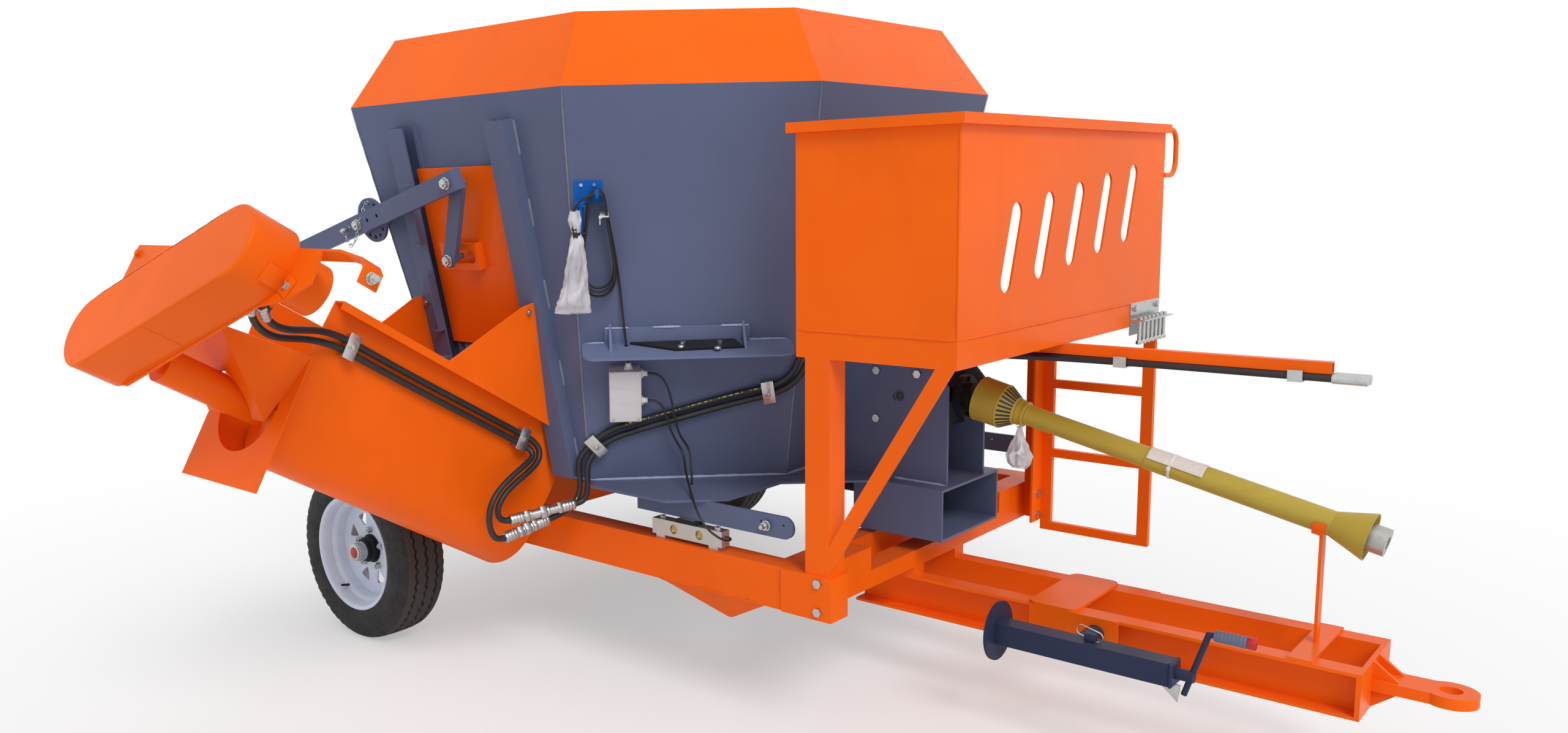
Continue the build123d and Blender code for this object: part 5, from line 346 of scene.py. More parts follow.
def tyre_rubber(name, colour):
    """Tyre rubber: fine slits across the tread blocks, painted near black as painted shade inside them,
    moulded rings on the sidewall, dusty shoulders.
    """
    finish = Finish("tyre_rubber_" + name, colour, 0.72)
    reach, along, across = finish.radius(middle("tyre_" + name), 1)
    turn = finish.sum("ARCTAN2", *across)
    slant = finish.sum("ADD", turn, finish.sum("MULTIPLY", along, SLIT_SLANT))
    saw = finish.sum("PINGPONG", finish.sum("MULTIPLY", slant, TREAD_SLITS / (2 * pi)), 0.5)
    tread = finish.within(reach, TREAD_REACH, 1, 0.001)
    shaded_slit = finish.sum("MULTIPLY", finish.within(saw, -1, 0.07, 0.03), tread)
    rings = finish.sum("PINGPONG", finish.sum("MULTIPLY", reach, SIDEWALL_RINGS), 0.5)
    wall = finish.within(reach, SIDEWALL_LOW, SIDEWALL_HIGH, 0.004)
    rings = finish.sum("MULTIPLY", finish.within(rings, 0.38, 2, 0.05), wall)
    dusty = finish.range(finish.noise(14, 6), 0.35, 0.75, 0.0, 0.55)
    tone = finish.mix(dusty, colour, srgb(66, 63, 60))
    worn = finish.sum("MULTIPLY", tread, 0.6)
    tone = finish.mix(worn, tone, srgb(86, 82, 77))
    # The slits are painted near black: painted shade inside the slits.
    finish.set("Base Color", finish.mix(shaded_slit, tone, darker(colour, 0.3)))
    finish.set("Roughness", finish.range(finish.noise(60, 4), 0.3, 0.7, 0.62, 0.85))
    finish.set("Specular IOR Level", 0.35)
    finish.bump(finish.sum("SUBTRACT", finish.sum("MULTIPLY", rings, 0.4), shaded_slit), 0.003, 1.0)
    finish.bump(finish.noise(260, 3), 0.0008, 0.4)
    return finish


def film_plastic(colour):
    """Crumpled clear film, denser and whiter along its folds as a painted highlight on the wrinkles."""
    finish = Finish("clear_film", colour, 0.16)
    crease = finish.noise(13, 2, finish.spot(scale=(1, 1, 0.4)))
    fold = finish.sum("PINGPONG", finish.sum("MULTIPLY", crease, 4.0), 0.5)
    # More opaque along the folds: painted highlight on the wrinkles.
    finish.set("Alpha", finish.range(fold, 0.04, 0.40, 0.86, 0.46))
    finish.set("IOR", 1.45)
    finish.bump(fold, 0.004, 0.6)
    return finish


def paper_card():
    finish = Finish("bare_card", srgb(226, 221, 212), 0.75)
    fibre = finish.noise(180, 4)
    share = finish.range(fibre, 0.3, 0.7)
    finish.set("Base Color", finish.mix(share, srgb(214, 208, 198), srgb(233, 229, 221)))
    finish.bump(fibre, 0.0004, 0.4)
    return finish


DASH_PITCH, DASH_EDGE = 0.020, 0.982


def hose_cover(name, colour, stripe=None):
    """Hose cover with its fine wrapped texture; a stripe is a row of plain dashes on its upper outer side."""
    finish = Finish(name, colour, 0.48)
    scuff = finish.range(finish.noise(22, 5), 0.45, 0.8, 0.0, 0.45)
    tone = finish.mix(scuff, colour, darker(colour, 1.9))
    if stripe:
        facing = (CORNER_FACET.col[2] + CORNER_FACET.col[1] * 0.75).xyz.normalized()
        line = finish.within(finish.dot(finish.surface_normal(), facing), DASH_EDGE, 2.0, 0.004)
        along = finish.dot(finish.spot(), CORNER_FACET.col[0].xyz / DASH_PITCH)
        dash = finish.within(finish.sum("PINGPONG", along, 0.5), -1, 0.30, 0.02)
        group = finish.within(finish.sum("PINGPONG", along, 2.5), -1, 1.9, 0.02)
        mark = finish.sum("MULTIPLY", finish.sum("MULTIPLY", dash, group), line)
        tone = finish.mix(mark, tone, stripe)
    finish.set("Base Color", tone)
    finish.set("Roughness", finish.range(finish.noise(30, 4), 0.3, 0.7, 0.40, 0.58))
    finish.bump(finish.noise(300, 2), 0.0008, 0.4)
    return finish


MADE = {}


def finish_of(name):
    return MADE[name].material


def placed(name, data, finish, body, nodes):
    """Links a finished mesh or curve to the scene, with its finish, its body and the nodes it replaces."""
    data.materials.append(finish_of(finish))
    piece = bpy.data.objects.new(name, data)
    bpy.context.scene.collection.objects.link(piece)
    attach(piece, body)
    if nodes:
        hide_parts(*nodes)
    return piece


def show(name, bm, finish, body, slot, *nodes, sharp=32.0):
    """Makes a finished piece of a bmesh: merged, facing outwards, with its hard edges marked."""
    bmesh.ops.remove_doubles(bm, verts=bm.verts, dist=1e-6)
    bmesh.ops.recalc_face_normals(bm, faces=bm.faces)
    for edge in bm.edges:
        edge.smooth = edge.calc_face_angle(0.0) < radians(sharp)
    for face in bm.faces:
        face.smooth = True
    mesh = bpy.data.meshes.new(name)
    bm.to_mesh(mesh)
    bm.free()
    return placed(name, mesh, finish, body, nodes)


def tube(name, points, radius, finish, body, slot, *nodes):
    """A cord on one smooth line through its route's control points."""
    curve = bpy.data.curves.new(name, "CURVE")
    curve.dimensions = "3D"
    line = curve.splines.new("NURBS")
    line.points.add(len(points) - 1)
    for point, place in zip(line.points, points):
        point.co = (*place, 1)
    line.order_u = 3
    line.use_endpoint_u = True
    line.resolution_u = 8
    curve.bevel_depth = radius
    curve.bevel_resolution = 4
    curve.use_fill_caps = True
    return placed(name, curve, finish, body, nodes)


def meshes(count):
    return [bmesh.new() for _ in range(count)]


def edges_of(verts):
    return list({edge for vert in verts for edge in vert.link_edges})


def round_edges(bm, edges, offset, segments=2):
    bmesh.ops.bevel(
        bm, geom=edges, offset=offset, segments=segments, profile=0.5,
        affect="EDGES", material=-1, clamp_overlap=True,
    )


def block(bm, matrix, low, high, edge, segments=2):
    """A block between two corners in millimetres of a local frame, with rounded edges."""
    low, high = Vector(low) * MM, Vector(high) * MM
    spot = matrix @ Matrix.Translation((low + high) / 2) @ Matrix.Diagonal((*(high - low), 1))
    made = bmesh.ops.create_cube(bm, size=1.0, matrix=spot)
    round_edges(bm, edges_of(made["verts"]), edge * MM, segments)


def drum(bm, matrix, low, high, radius, tip=None, sides=24, edge=0.0):
    """A round bar or cone between two heights of a local frame, in millimetres."""
    made = bmesh.ops.create_cone(
        bm,
        cap_ends=True,
        segments=sides,
        radius1=radius * MM,
        radius2=(radius if tip is None else tip) * MM,
        depth=(high - low) * MM,
        matrix=shifted(matrix, 0, 0, (low + high) / 2),
    )
    if edge:
        edges = edges_of(made["verts"])
        rims = [e for e in edges if any(len(face.verts) == sides for face in e.link_faces)]
        round_edges(bm, rims, edge * MM)


def hexagon(bm, matrix, flats, low, high, edge=1.2):
    """A hexagon bolt head or nut on a local plane, with chamfered corners."""
    drum(bm, matrix, low, high, flats / sqrt(3), sides=6, edge=edge)


def nut(bm, matrix, low, washer, reach, flats, high, edge=0.8):
    """A nut or bolt head on its washer, standing on a local plane."""
    drum(bm, matrix, low, low + washer, reach, edge=edge)
    hexagon(bm, matrix, flats, low + washer, high)


def full_turn(bm, geom, steps):
    """Spins a line or loop once about the z axis and closes it on itself."""
    bmesh.ops.spin(
        bm, geom=geom, cent=(0, 0, 0), axis=(0, 0, 1), dvec=(0, 0, 0), angle=2 * pi, steps=steps,
        use_merge=True, use_duplicate=False,
    )


def spun(bm, matrix, profile, steps):
    """A turned shape: a profile of (radius, height) in millimetres, spun about a local z axis."""
    verts = [bm.verts.new(Vector((r, 0, z)) * MM) for r, z in profile]
    edges = [bm.edges.new(pair) for pair in zip(verts, verts[1:])]
    full_turn(bm, verts + edges, steps)
    bmesh.ops.remove_doubles(bm, verts=bm.verts, dist=1e-6)
    bmesh.ops.recalc_face_normals(bm, faces=bm.faces)
    bmesh.ops.transform(bm, matrix=matrix, verts=bm.verts)


def ring(bm, matrix, reach, thick, stretch=0.0, steps=14, sides=6):
    """A wire ring or chain link about a local z axis, in millimetres, drawn out along x."""
    spot = Matrix.Translation((reach * MM, 0, 0)) @ Matrix.Rotation(pi / 2, 4, "X")
    there = set(bm.verts)
    wire = bmesh.ops.create_circle(bm, segments=sides, radius=thick * MM, matrix=spot)["verts"]
    full_turn(bm, wire + edges_of(wire), steps)
    fresh = [v for v in bm.verts if v not in there]
    for vert in fresh:
        vert.co.x += copysign(stretch * MM / 2, vert.co.x)
    bmesh.ops.transform(bm, matrix=matrix, verts=fresh)


def chain(bm, points, reach, thick, stretch):
    """Links of a small chain along a line of places, each turned a quarter from the last."""
    pitch = (2 * (reach - thick) + stretch) * MM
    spans = [(a, b, (b - a).length) for a, b in zip(points, points[1:])]
    for index in range(int(sum(span[2] for span in spans) / pitch)):
        gone = (index + 0.5) * pitch
        for start, end, length in spans:
            if gone <= length:
                break
            gone -= length
        run = (end - start).normalized()
        side = run.orthogonal()
        if index % 2:
            side = run.cross(side)
        ring(bm, local_frame(start + run * gone, run, side), reach, thick, stretch, 10, 5)


FILM_STEPS, FILM_SIDES = 6, 44


def bag(name, matrix, sections, crumple, *nodes):
    """A wrinkled film bag through sections of (x, y, z, width, depth) in millimetres, and its film's area."""
    bm = bmesh.new()
    rows = []
    for first, second in zip(sections, sections[1:]):
        for step in range(FILM_STEPS):
            share = step / FILM_STEPS
            ease = share * share * (3 - 2 * share)
            rows.append([a + (b - a) * ease for a, b in zip(first, second)])
    last = None
    for x, y, z, width, depth in [*rows, sections[-1]]:
        loop = bmesh.ops.create_circle(bm, cap_ends=False, segments=FILM_SIDES, radius=1.0)["verts"]
        edges = edges_of(loop)
        for vert in loop:
            c, s = vert.co.x, vert.co.y
            fold = noise.noise(Vector((c * 3.1, s * 3.1, y * 0.012)))
            fold += 0.6 * noise.noise(Vector((c * 7, s * 7, y * 0.05)))
            size = 1 + crumple * fold
            place = (x + width / 2 * c * size, y + 9 * fold * crumple, z + depth / 2 * s * size)
            vert.co = Vector(place) * MM
        if last:
            bmesh.ops.bridge_loops(bm, edges=last + edges)
        last = edges
    bmesh.ops.transform(bm, matrix=matrix, verts=bm.verts)
    area = sum(face.calc_area() for face in bm.faces)
    return show(name, bm, "film", "chassis", "clear_film", *nodes, sharp=70), area


def lift(bm, faces, height):
    """Draws flat faces up into a solid by millimetres and gives its raised faces."""
    grown = bmesh.ops.extrude_face_region(bm, geom=faces)["geom"]
    raised = [g for g in grown if isinstance(g, bmesh.types.BMVert)]
    bmesh.ops.translate(bm, verts=raised, vec=(0, 0, height * MM))
    return [g for g in grown if isinstance(g, bmesh.types.BMFace)]


def slab(bm, matrix, corners, low, high, edge):
    """A flat plate with a given outline in millimetres of a local frame, between two heights."""
    rim = bmesh.ops.create_circle(bm, cap_ends=True, segments=len(corners), radius=MM)["verts"]
    for vert, (x, y) in zip(rim, corners):
        vert.co = Vector((x, y, low)) * MM
    cap = lift(bm, list(rim[0].link_faces), high - low)[0]
    bmesh.ops.transform(bm, matrix=matrix, verts=rim + list(cap.verts))
    round_edges(bm, list(cap.edges), edge * MM)


PUDDLE = 0.006


def bead(bm, start, end, radius, outward):
    """A weld bead between two places: a half-round strip with the ripple of the weld's puddles."""
    start, end = Vector(start), Vector(end)
    run = end - start
    steps = max(6, int(run.length / PUDDLE))
    side = run.cross(Vector(outward)).normalized()
    rise = side.cross(run).normalized()
    made = bmesh.ops.create_grid(bm, x_segments=steps, y_segments=6, size=0.5)
    for vert in made["verts"]:
        along, angle = vert.co.x + 0.5, vert.co.y * pi
        place = start + run * along
        puddle = 1 + 0.16 * sin(along * run.length / PUDDLE * pi) + 0.35 * noise.noise(place * 38)
        end_taper = min(1.0, 12 * along + 0.3, 12 * (1 - along) + 0.3)
        size = radius * puddle * end_taper
        vert.co = place + side * sin(angle) * size + rise * cos(angle) * size * 0.75


class FinishesOperator(bpy.types.Operator):
    """Gives every CAD piece its finish"""

    bl_idname = "mixer.finishes"
    bl_label = "Finishes"

    def execute(self, context):
        colours = context.scene.mixer_finishes
        for key, name, colour, roughness, wave in (
            ("orange", "orange_enamel", colours.orange, 0.33, 0.8),
            ("grey", "grey_enamel", colours.grey, 0.40, 1.4),
            ("jack", "jack_enamel", colours.jack, 0.36, 0.5),
            ("black", "black_enamel", colours.black, 0.42, 0.5),
            ("blue", "blue_enamel", colours.blue, 0.30, 0.3),
            ("shelf", "shelf_enamel", darker(colours.grey, 1.35), 0.38, 0.4),
            ("weld_grey", "weld_grey", srgb(122, 127, 142), 0.42, 0.2),
            ("weld_orange", "weld_orange", darker(colours.orange, 0.95), 0.38, 0.2),
            ("weld_pale", "weld_pale", srgb(158, 168, 196), 0.42, 0.2),
        ):
            MADE[key] = enamel(name, colour, roughness, wave)
        for key, name, colour, roughness in (
            ("guard", "guard_plastic", colours.guard, 0.46),
            ("box", "box_plastic", colours.box, 0.45),
            ("grip", "grip_plastic", srgb(98, 106, 130), 0.50),
            ("dark_plastic", "dark_plastic", srgb(46, 47, 52), 0.42),
            ("red_plastic", "red_plastic", srgb(190, 22, 28), 0.38),
            ("white_plastic", "white_plastic", srgb(232, 232, 230), 0.40),
        ):
            MADE[key] = moulded(name, colour, roughness)
        MADE["rim"] = moulded("rim_paint", colours.rim, 0.32, 0.0003)
        MADE["brass"] = bare_metal("brass_plug", srgb(196, 168, 104), 0.34)
        MADE["zinc"] = bare_metal("zinc_plate", colours.zinc, 0.30)
        MADE["steel"] = bare_metal("bare_steel", colours.steel, 0.36, (60, 60, 8))
        MADE["cell"] = bare_metal("cell_plate", srgb(206, 202, 196), 0.42, (60, 20, 60), 0.12)
        MADE["hose"] = hose_cover("hose_cover", colours.hose)
        MADE["striped_hose"] = hose_cover("striped_hose", colours.hose, srgb(222, 206, 110))
        MADE["cable"] = hose_cover("cable_jacket", colours.cable)
        MADE["film"] = film_plastic(colours.film)
        MADE["card"] = paper_card()
        for _, name in SIDES:
            MADE["tyre_" + name] = tyre_rubber(name, colours.tyre)
        by_slot = {
            "orange_paint": "orange",
            "grey_paint": "grey",
            "gearbox_paint": "black",
            "jack_paint": "jack",
            "bare_steel": "steel",
            "zinc": "zinc",
            "guard_plastic": "guard",
            "blade_steel": "black",
            "box_plastic": "box",
            "blue_paint": "blue",
            "hose_rubber": "hose",
            "cable_jacket": "cable",
            "clear_film": "film",
        }
        by_node = {
            "wheel_right": "rim",
            "wheel_left": "rim",
            "tyre_right": "tyre_right",
            "tyre_left": "tyre_left",
            "load_cells": "cell",
            "jack_crank": "jack",
            "hydraulic_motor": "orange",
            "discharge_auger": "orange",
            "knife_shelf": "shelf",
            "shear_bolt_rack": "zinc",
        }
        for part in frame["record"]["subparts"]:
            name = by_node.get(part["node"]) or by_slot[part["material_slot"]]
            mesh = NODES[part["node"]].data
            mesh.materials.clear()
            mesh.materials.append(finish_of(name))
        return {"FINISHED"}


TYRE_WALL = (
    (201, -86), (206, -89), (216, -91), (223, -96), (240, -99.5), (262, -100), (286, -98), (301, -93),
    (311, -86), (317, -79), (320.5, -72), (322, -64),
)
TYRE_STEPS, TREAD_BLOCKS, TREAD_LANES, LANE_GAP = 216, 54, (-45, 0, 45), 22.5
# In metres: the grooves' swing and where it ends, and the part of the shoulder that is notched
GROOVE_SWING, GROOVE_FLOOR, TREAD_SIDE, LANE_SIDE = 0.0085, 0.311, 0.066, 0.055
SHOULDER_LOW, SHOULDER_HIGH, SHOULDER_SIDE = 0.300, 0.3135, 0.08
NOTCH_SHARE, NOTCH_SCALE = 0.34, 0.965
RIM_PROFILE = (
    (213, 90), (213, 94), (210, 96.5), (205, 96), (200, 92.5), (196, 86), (193, 70), (190, 52), (181, 44),
    (176, 36), (174, 0), (174, -30), (181, -50), (190, -58), (194, -80), (200, -92), (206, -96), (213, -95),
    (213, -90), (203, -89), (198, -80), (194, -55), (185, -47), (179, -30), (179, 0), (180, 34), (185, 42),
    (194.5, 50), (197.5, 70), (200, 86), (204, 89.5), (213, 90),
)
RIM_STEPS, RIM_DISC, DISC_BORE, DISC_THICK = 96, 177, 40, 6
RIM_WINDOWS, WINDOW_REACH, WINDOW_SIZE, WINDOW_CORNER = 8, 116, 21, 7
# Steps of the hub and of its cap: two heights on the axle and a radius
HUB_STEPS = ((-70, 5, 44), (-4, 10, 54), (8, 32, 47), (30, 48, 38))
CAP_STEPS = ((46, 53, 35), (52, 80, 32.5), (80, 85, 30))
WHEEL_NUTS, NUT_CIRCLE, CAP_RIDGES = 5, 72, 16
VALVE_TURN, VALVE_REACH, VALVE_HEIGHT, VALVE_LEAN = 236 / 360, 184, 50, 0.3


def tread_crown(across):
    """The tread's reach from the axle at a place across it, in millimetres."""
    return 325 - 2.2 * (across / 60) ** 2


class WheelsOperator(bpy.types.Operator):
    """Makes the tyres with their zigzag grooves and the dished wheels"""

    bl_idname = "mixer.wheels"
    bl_label = "Wheels"

    def execute(self, context):
        depth = context.scene.mixer_sizes.groove_depth / MM
        for side, name in SIDES:
            axle = local_frame(middle("tyre_" + name), (1, 0, 0), (0, side, 0))
            self.tyre(name, axle, depth)
            self.rim(name, axle)
            self.hub(name, axle)
        return {"FINISHED"}

    def tyre(self, name, axle, depth):
        """A tyre turned about its axle, its grooves drawn into zigzags and its shoulders notched."""
        tread = []
        for lane in TREAD_LANES:
            half, top = 5.0 if lane == 0 else 4.5, tread_crown(lane)
            tread += [(top, lane - half - 1), (top - depth, lane - half + 2)]
            tread += [(top - depth, lane + half - 2), (top, lane + half + 1)]
            if lane < TREAD_LANES[-1]:
                tread.append((tread_crown(lane + LANE_GAP), lane + LANE_GAP))
        profile = [*TYRE_WALL, *tread, *((r, -z) for r, z in reversed(TYRE_WALL))]
        bm = bmesh.new()
        spun(bm, Matrix.Identity(4), [*profile, profile[0]], TYRE_STEPS)
        for vert in bm.verts:
            reach, height = vert.co.xy.length, abs(vert.co.z)
            along = atan2(vert.co.y, vert.co.x) / (2 * pi) * TREAD_BLOCKS % 1.0
            if reach > GROOVE_FLOOR and height < TREAD_SIDE:
                zigzag = abs(2 * along - 1) - 0.5
                vert.co.z += GROOVE_SWING * zigzag * (1 if height < LANE_SIDE else 0.4)
            shoulder = SHOULDER_LOW < reach < SHOULDER_HIGH and height > SHOULDER_SIDE
            if shoulder and along < NOTCH_SHARE:
                vert.co.z *= NOTCH_SCALE
        bmesh.ops.transform(bm, matrix=axle, verts=bm.verts)
        node, body = "tyre_" + name, "wheel_" + name
        show(node + "_tread", bm, node, body, "tyre_rubber", node, sharp=28)

    def rim(self, name, axle):
        """The white rim: a stepped barrel and a disc with its windows set deep in it."""
        barrel, disc = meshes(2)
        spun(barrel, axle, RIM_PROFILE, RIM_STEPS)
        for segments, reach in ((RIM_STEPS, RIM_DISC), (32, DISC_BORE)):
            bmesh.ops.create_circle(disc, segments=segments, radius=reach * MM)
        for window in range(RIM_WINDOWS):
            out = 2 * pi * (window + 0.5) / RIM_WINDOWS
            loop = bmesh.ops.create_circle(disc, segments=12, radius=MM)["verts"]
            for index, vert in enumerate(loop):
                corner = out + pi + radians(120 * (index // 4))
                turn = corner + radians(40 * (index % 4) - 60)
                steps = ((WINDOW_REACH, out), (WINDOW_SIZE, corner), (WINDOW_CORNER, turn))
                x, y = (sum(reach * f(angle) for reach, angle in steps) for f in (cos, sin))
                vert.co = Vector((x, y, 0)) * MM
        bmesh.ops.triangle_fill(
            disc, use_beauty=True, use_dissolve=False, edges=list(disc.edges), normal=(0, 0, 1)
        )
        lift(disc, list(disc.faces), DISC_THICK)
        bmesh.ops.transform(disc, matrix=axle, verts=disc.verts)
        body, node = "wheel_" + name, "wheel_" + name
        show("rim_" + name, barrel, "rim", body, "rim_paint", node)
        show("rim_disc_" + name, disc, "rim", body, "rim_paint", node)

    def hub(self, name, axle):
        """The black hub with its bright cap, the wheel nuts and the valve."""
        dark, bright, red = meshes(3)
        for low, high, reach in HUB_STEPS:
            drum(dark, axle, low, high, reach, sides=32, edge=2)
        for low, high, reach in CAP_STEPS:
            drum(bright, axle, low, high, reach, sides=32, edge=1.5)
        for ridge in range(CAP_RIDGES):
            block(bright, turned(axle, ridge / CAP_RIDGES), (31, -2.5, 54), (34, 2.5, 78), 0.8, 1)
        drum(red, axle, 84, 86.5, 21, edge=1)
        for index in range(WHEEL_NUTS):
            spot = shifted(turned(axle, (index + 0.25) / WHEEL_NUTS), NUT_CIRCLE, 0)
            drum(bright, spot, 5, 9, 13, edge=1)
            hexagon(bright, spot, 20, 8, 24)
            drum(bright, spot, 22, 30, 6, edge=1)
        valve = shifted(turned(axle, VALVE_TURN), VALVE_REACH, 0, VALVE_HEIGHT)
        drum(dark, valve @ Matrix.Rotation(-VALVE_LEAN, 4, "Y"), -8, 34, 5, 4, sides=12, edge=1)
        body = "wheel_" + name
        show("hub_" + name, dark, "black", body, "gearbox_paint")
        show("hub_cap_" + name, bright, "zinc", body, "zinc")
        show("hub_mark_" + name, red, "red_plastic", body, "rim_paint")


GUIDE_STITCHES = ((40, 150), (330, 420), (590, 690), (860, 950), (1085, 1195))
SHELF_STITCHES = ((-268, -192), (-117, -28), (97, 187))
GUIDE_SIDE, SHELF_TOP, SHELF_FOOT = 294, 540, 489


def tub_corners(half, height):
    """The tub's eight corners at a height, in order round its axis and counted from it."""
    turns = [Matrix.Rotation(quarter * pi / 2, 4, "Z") for quarter in range(4)]
    return [turn @ Vector((half[0], flip * half[1], height)) for turn in turns for flip in (-1, 1)]


class WeldsOperator(bpy.types.Operator):
    """Lays the weld beads along the tub, ring, guides and platform"""

    bl_idname = "mixer.welds"
    bl_label = "Welds"

    def execute(self, context):
        seam, stitch = context.scene.mixer_sizes.seam_bead, context.scene.mixer_sizes.stitch_bead
        grey, orange, pale = meshes(3)
        for foot, rim, crown in zip(
            tub_corners(TUB_BASE, TUB_FLOOR + 0.004),
            tub_corners(TUB_MOUTH, TUB_TOP - 0.004),
            tub_corners(RING_MOUTH, RING_TOP - 0.003),
        ):
            out = Vector((foot.x, foot.y, 0))
            bead(grey, TUB_AXIS + foot, TUB_AXIS + rim, seam, out)
            bead(orange, TUB_AXIS + rim, TUB_AXIS + crown, seam * 0.8, out + Vector((0, 0, 0.5)))
        for side in (-1, 1):
            for low, high in GUIDE_STITCHES:
                ends = places(RIGHT_FACET, [(side * GUIDE_SIDE, end, 1) for end in (low, high)])
                bead(grey, *ends, stitch, RIGHT_FACET.to_3x3() @ Vector((side, 0, 1)))
        feet = tub_corners(TUB_BASE, TUB_FLOOR + 0.002)
        for start, end in zip(feet, feet[1:] + feet[:1]):
            out = start + end
            bead(pale, TUB_AXIS + start, TUB_AXIS + end, stitch * 1.3, (out.x, out.y, 0.9))
        low, high = extent("gearbox_side_plates")
        for y, out in ((low.y, -1), (high.y, 1)):
            ends = [(x, y, low.z + 0.002) for x in (low.x, high.x)]
            bead(pale, *ends, stitch, (0, out, 0.6))
        for corner, out in zip(extent("side_beams"), (-1, 1)):
            ends = [(TUB_AXIS.x + x, corner.y - 0.012 * out, 0.398) for x in (0.605, 1.025)]
            bead(orange, *ends, stitch * 1.5, (0, out, -1))
        for low, high in SHELF_STITCHES:
            ends = places(CORNER_FACET, [(end, SHELF_TOP, 7) for end in (low, high)])
            bead(pale, *ends, stitch * 0.8, (1, -1, 1))
        ends = places(CORNER_FACET, [(end, SHELF_FOOT, 2) for end in (-330, 310)])
        bead(pale, *ends, seam, CORNER_FACET.to_3x3() @ Vector((0, 1, 1)))
        low, high = extent("platform_floor")
        corner = Vector((high.x, low.y, high.z))
        bead(orange, (low.x, low.y, high.z), corner, stitch, (0, -1, 0))
        bead(orange, corner, high, stitch, (1, 0, 0))
        panel_top = extent("platform_panels")[1].z
        bead(orange, corner, (corner.x, corner.y, panel_top), seam, (1, -1, 0))
        show("foot_welds", pale, "weld_pale", "chassis", "grey_paint", sharp=60)
        show("tub_welds", grey, "weld_grey", "chassis", "grey_paint", sharp=60)
        show("frame_welds", orange, "weld_orange", "chassis", "orange_paint", sharp=60)
        return {"FINISHED"}


# Control points of the hoses, in millimetres: along the trough, under it, up to the tub, round it, on the arm
TROUGH_HOSES = (
    (
        (420.704, 190.704, 310), (403.733, 173.733, 310), (385, 163, 282), (360, 162, 238), (325, 177, 178),
        (281, 204, 112), (238, 232, 42), (208, 250, -30), (198, 255, -95), (197, 252, -330), (197, 254, -580),
    ),
    (
        (420.704, 190.704, 350), (403.733, 173.733, 350), (380, 153, 322), (352, 141, 280), (318, 142, 222),
        (276, 160, 155), (236, 188, 85), (209, 211, 15), (199, 222, -45), (197, 225, -95), (197, 222, -330),
        (197, 224, -580),
    ),
)
LOWER_HOSES = (
    (
        (198, -964.8, 847.4), (208, -928, 823), (222, -912, 792), (232, -926, 759), (236, -972, 733),
        (236, -1030, 708), (235, -1080, 680), (232, -1110, 643), (229, -1110, 610), (232, -1091, 590),
        (240, -1069, 590),
    ),
    (
        (197, -979.9, 821.5), (207, -955, 806), (222, -944, 788), (232, -956, 771), (238, -995, 756),
        (240, -1055, 729), (240, -1110, 698), (238, -1145, 655), (235, -1154, 605), (236, -1144, 560),
        (239.8, -1123, 537), (245, -1099, 539),
    ),
)
RISERS = (
    (
        (320, -856, 612), (328, -834, 614.3), (338, -818, 632), (344, -815, 668), (349, -822, 712),
        (360, -829, 755),
    ),
    (
        (280, -939, 571), (285.7, -913, 576), (295, -880, 586), (306, -848, 606), (314, -828, 636),
        (318, -824, 676), (322, -832, 722), (332, -841, 768),
    ),
)
WALL_HOSES = (
    (
        (-292, 129, 14), (-243, 162, 15), (-175, 184, 14), (-95, 207, 14), (25, 241, 15), (147, 273, 14),
        (255, 298, 14), (318, 322, 16), (362, 372, 17),
    ),
    (
        (-313, 147, 14), (-262, 188, 15), (-190, 211, 14), (-100, 236, 14), (20, 270, 15), (140, 302, 14),
        (250, 326, 14), (303, 346, 16), (338, 388, 17),
    ),
)
ARM_HOSES = (
    (
        (914, -377, 1092), (980, -325, 1118), (1070, -270, 1128), (1190, -210, 1122), (1330, -155, 1113),
        (1470, -111, 1109), (1590, -91, 1110), (1700, -87, 1112), (1950, -87, 1112.4), (2200, -87, 1112),
        (2334, -87, 1112.2),
    ),
    (
        (896, -398, 1102), (965, -350, 1128), (1060, -300, 1136), (1180, -245, 1126), (1320, -190, 1114),
        (1460, -145, 1109), (1580, -121, 1110), (1700, -117, 1112), (1950, -117, 1112.4), (2200, -117, 1112),
        (2334, -117, 1112.2),
    ),
)
WALL_CLAMPS = ((-302.5, 138, 40.6), (252.5, 312, 10))
TROUGH_CLAMPS = (-95, -833)
FERRULE, FERRULE_GROOVES = 46, (8, 18, 28, 38)


class HosesOperator(bpy.types.Operator):
    """Runs the four hydraulic hoses"""

    bl_idname = "mixer.hoses"
    bl_label = "Hydraulic hoses"

    def execute(self, context):
        radius = context.scene.mixer_sizes.hose_radius
        for index, length in enumerate((1.650, 1.730)):
            route = places(CONVEYOR, TROUGH_HOSES[index]) + places(MACHINE, LOWER_HOSES[index])
            self.lay(f"motor_hose_{index + 1}", route, length, radius, "hose")
        for index, length in enumerate((2.486, 2.597)):
            route = places(MACHINE, RISERS[index]) + places(CORNER_FACET, WALL_HOSES[index])
            route += places(MACHINE, ARM_HOSES[index])
            self.lay(f"supply_hose_{index + 1}", route, length, radius, ("hose", "striped_hose")[index])
        return {"FINISHED"}

    def lay(self, name, route, length, radius, finish):
        """One hose on its route. Its length is not used."""
        piece = tube(name, route, radius, finish, "chassis", "hose_rubber", "hydraulic_hoses")


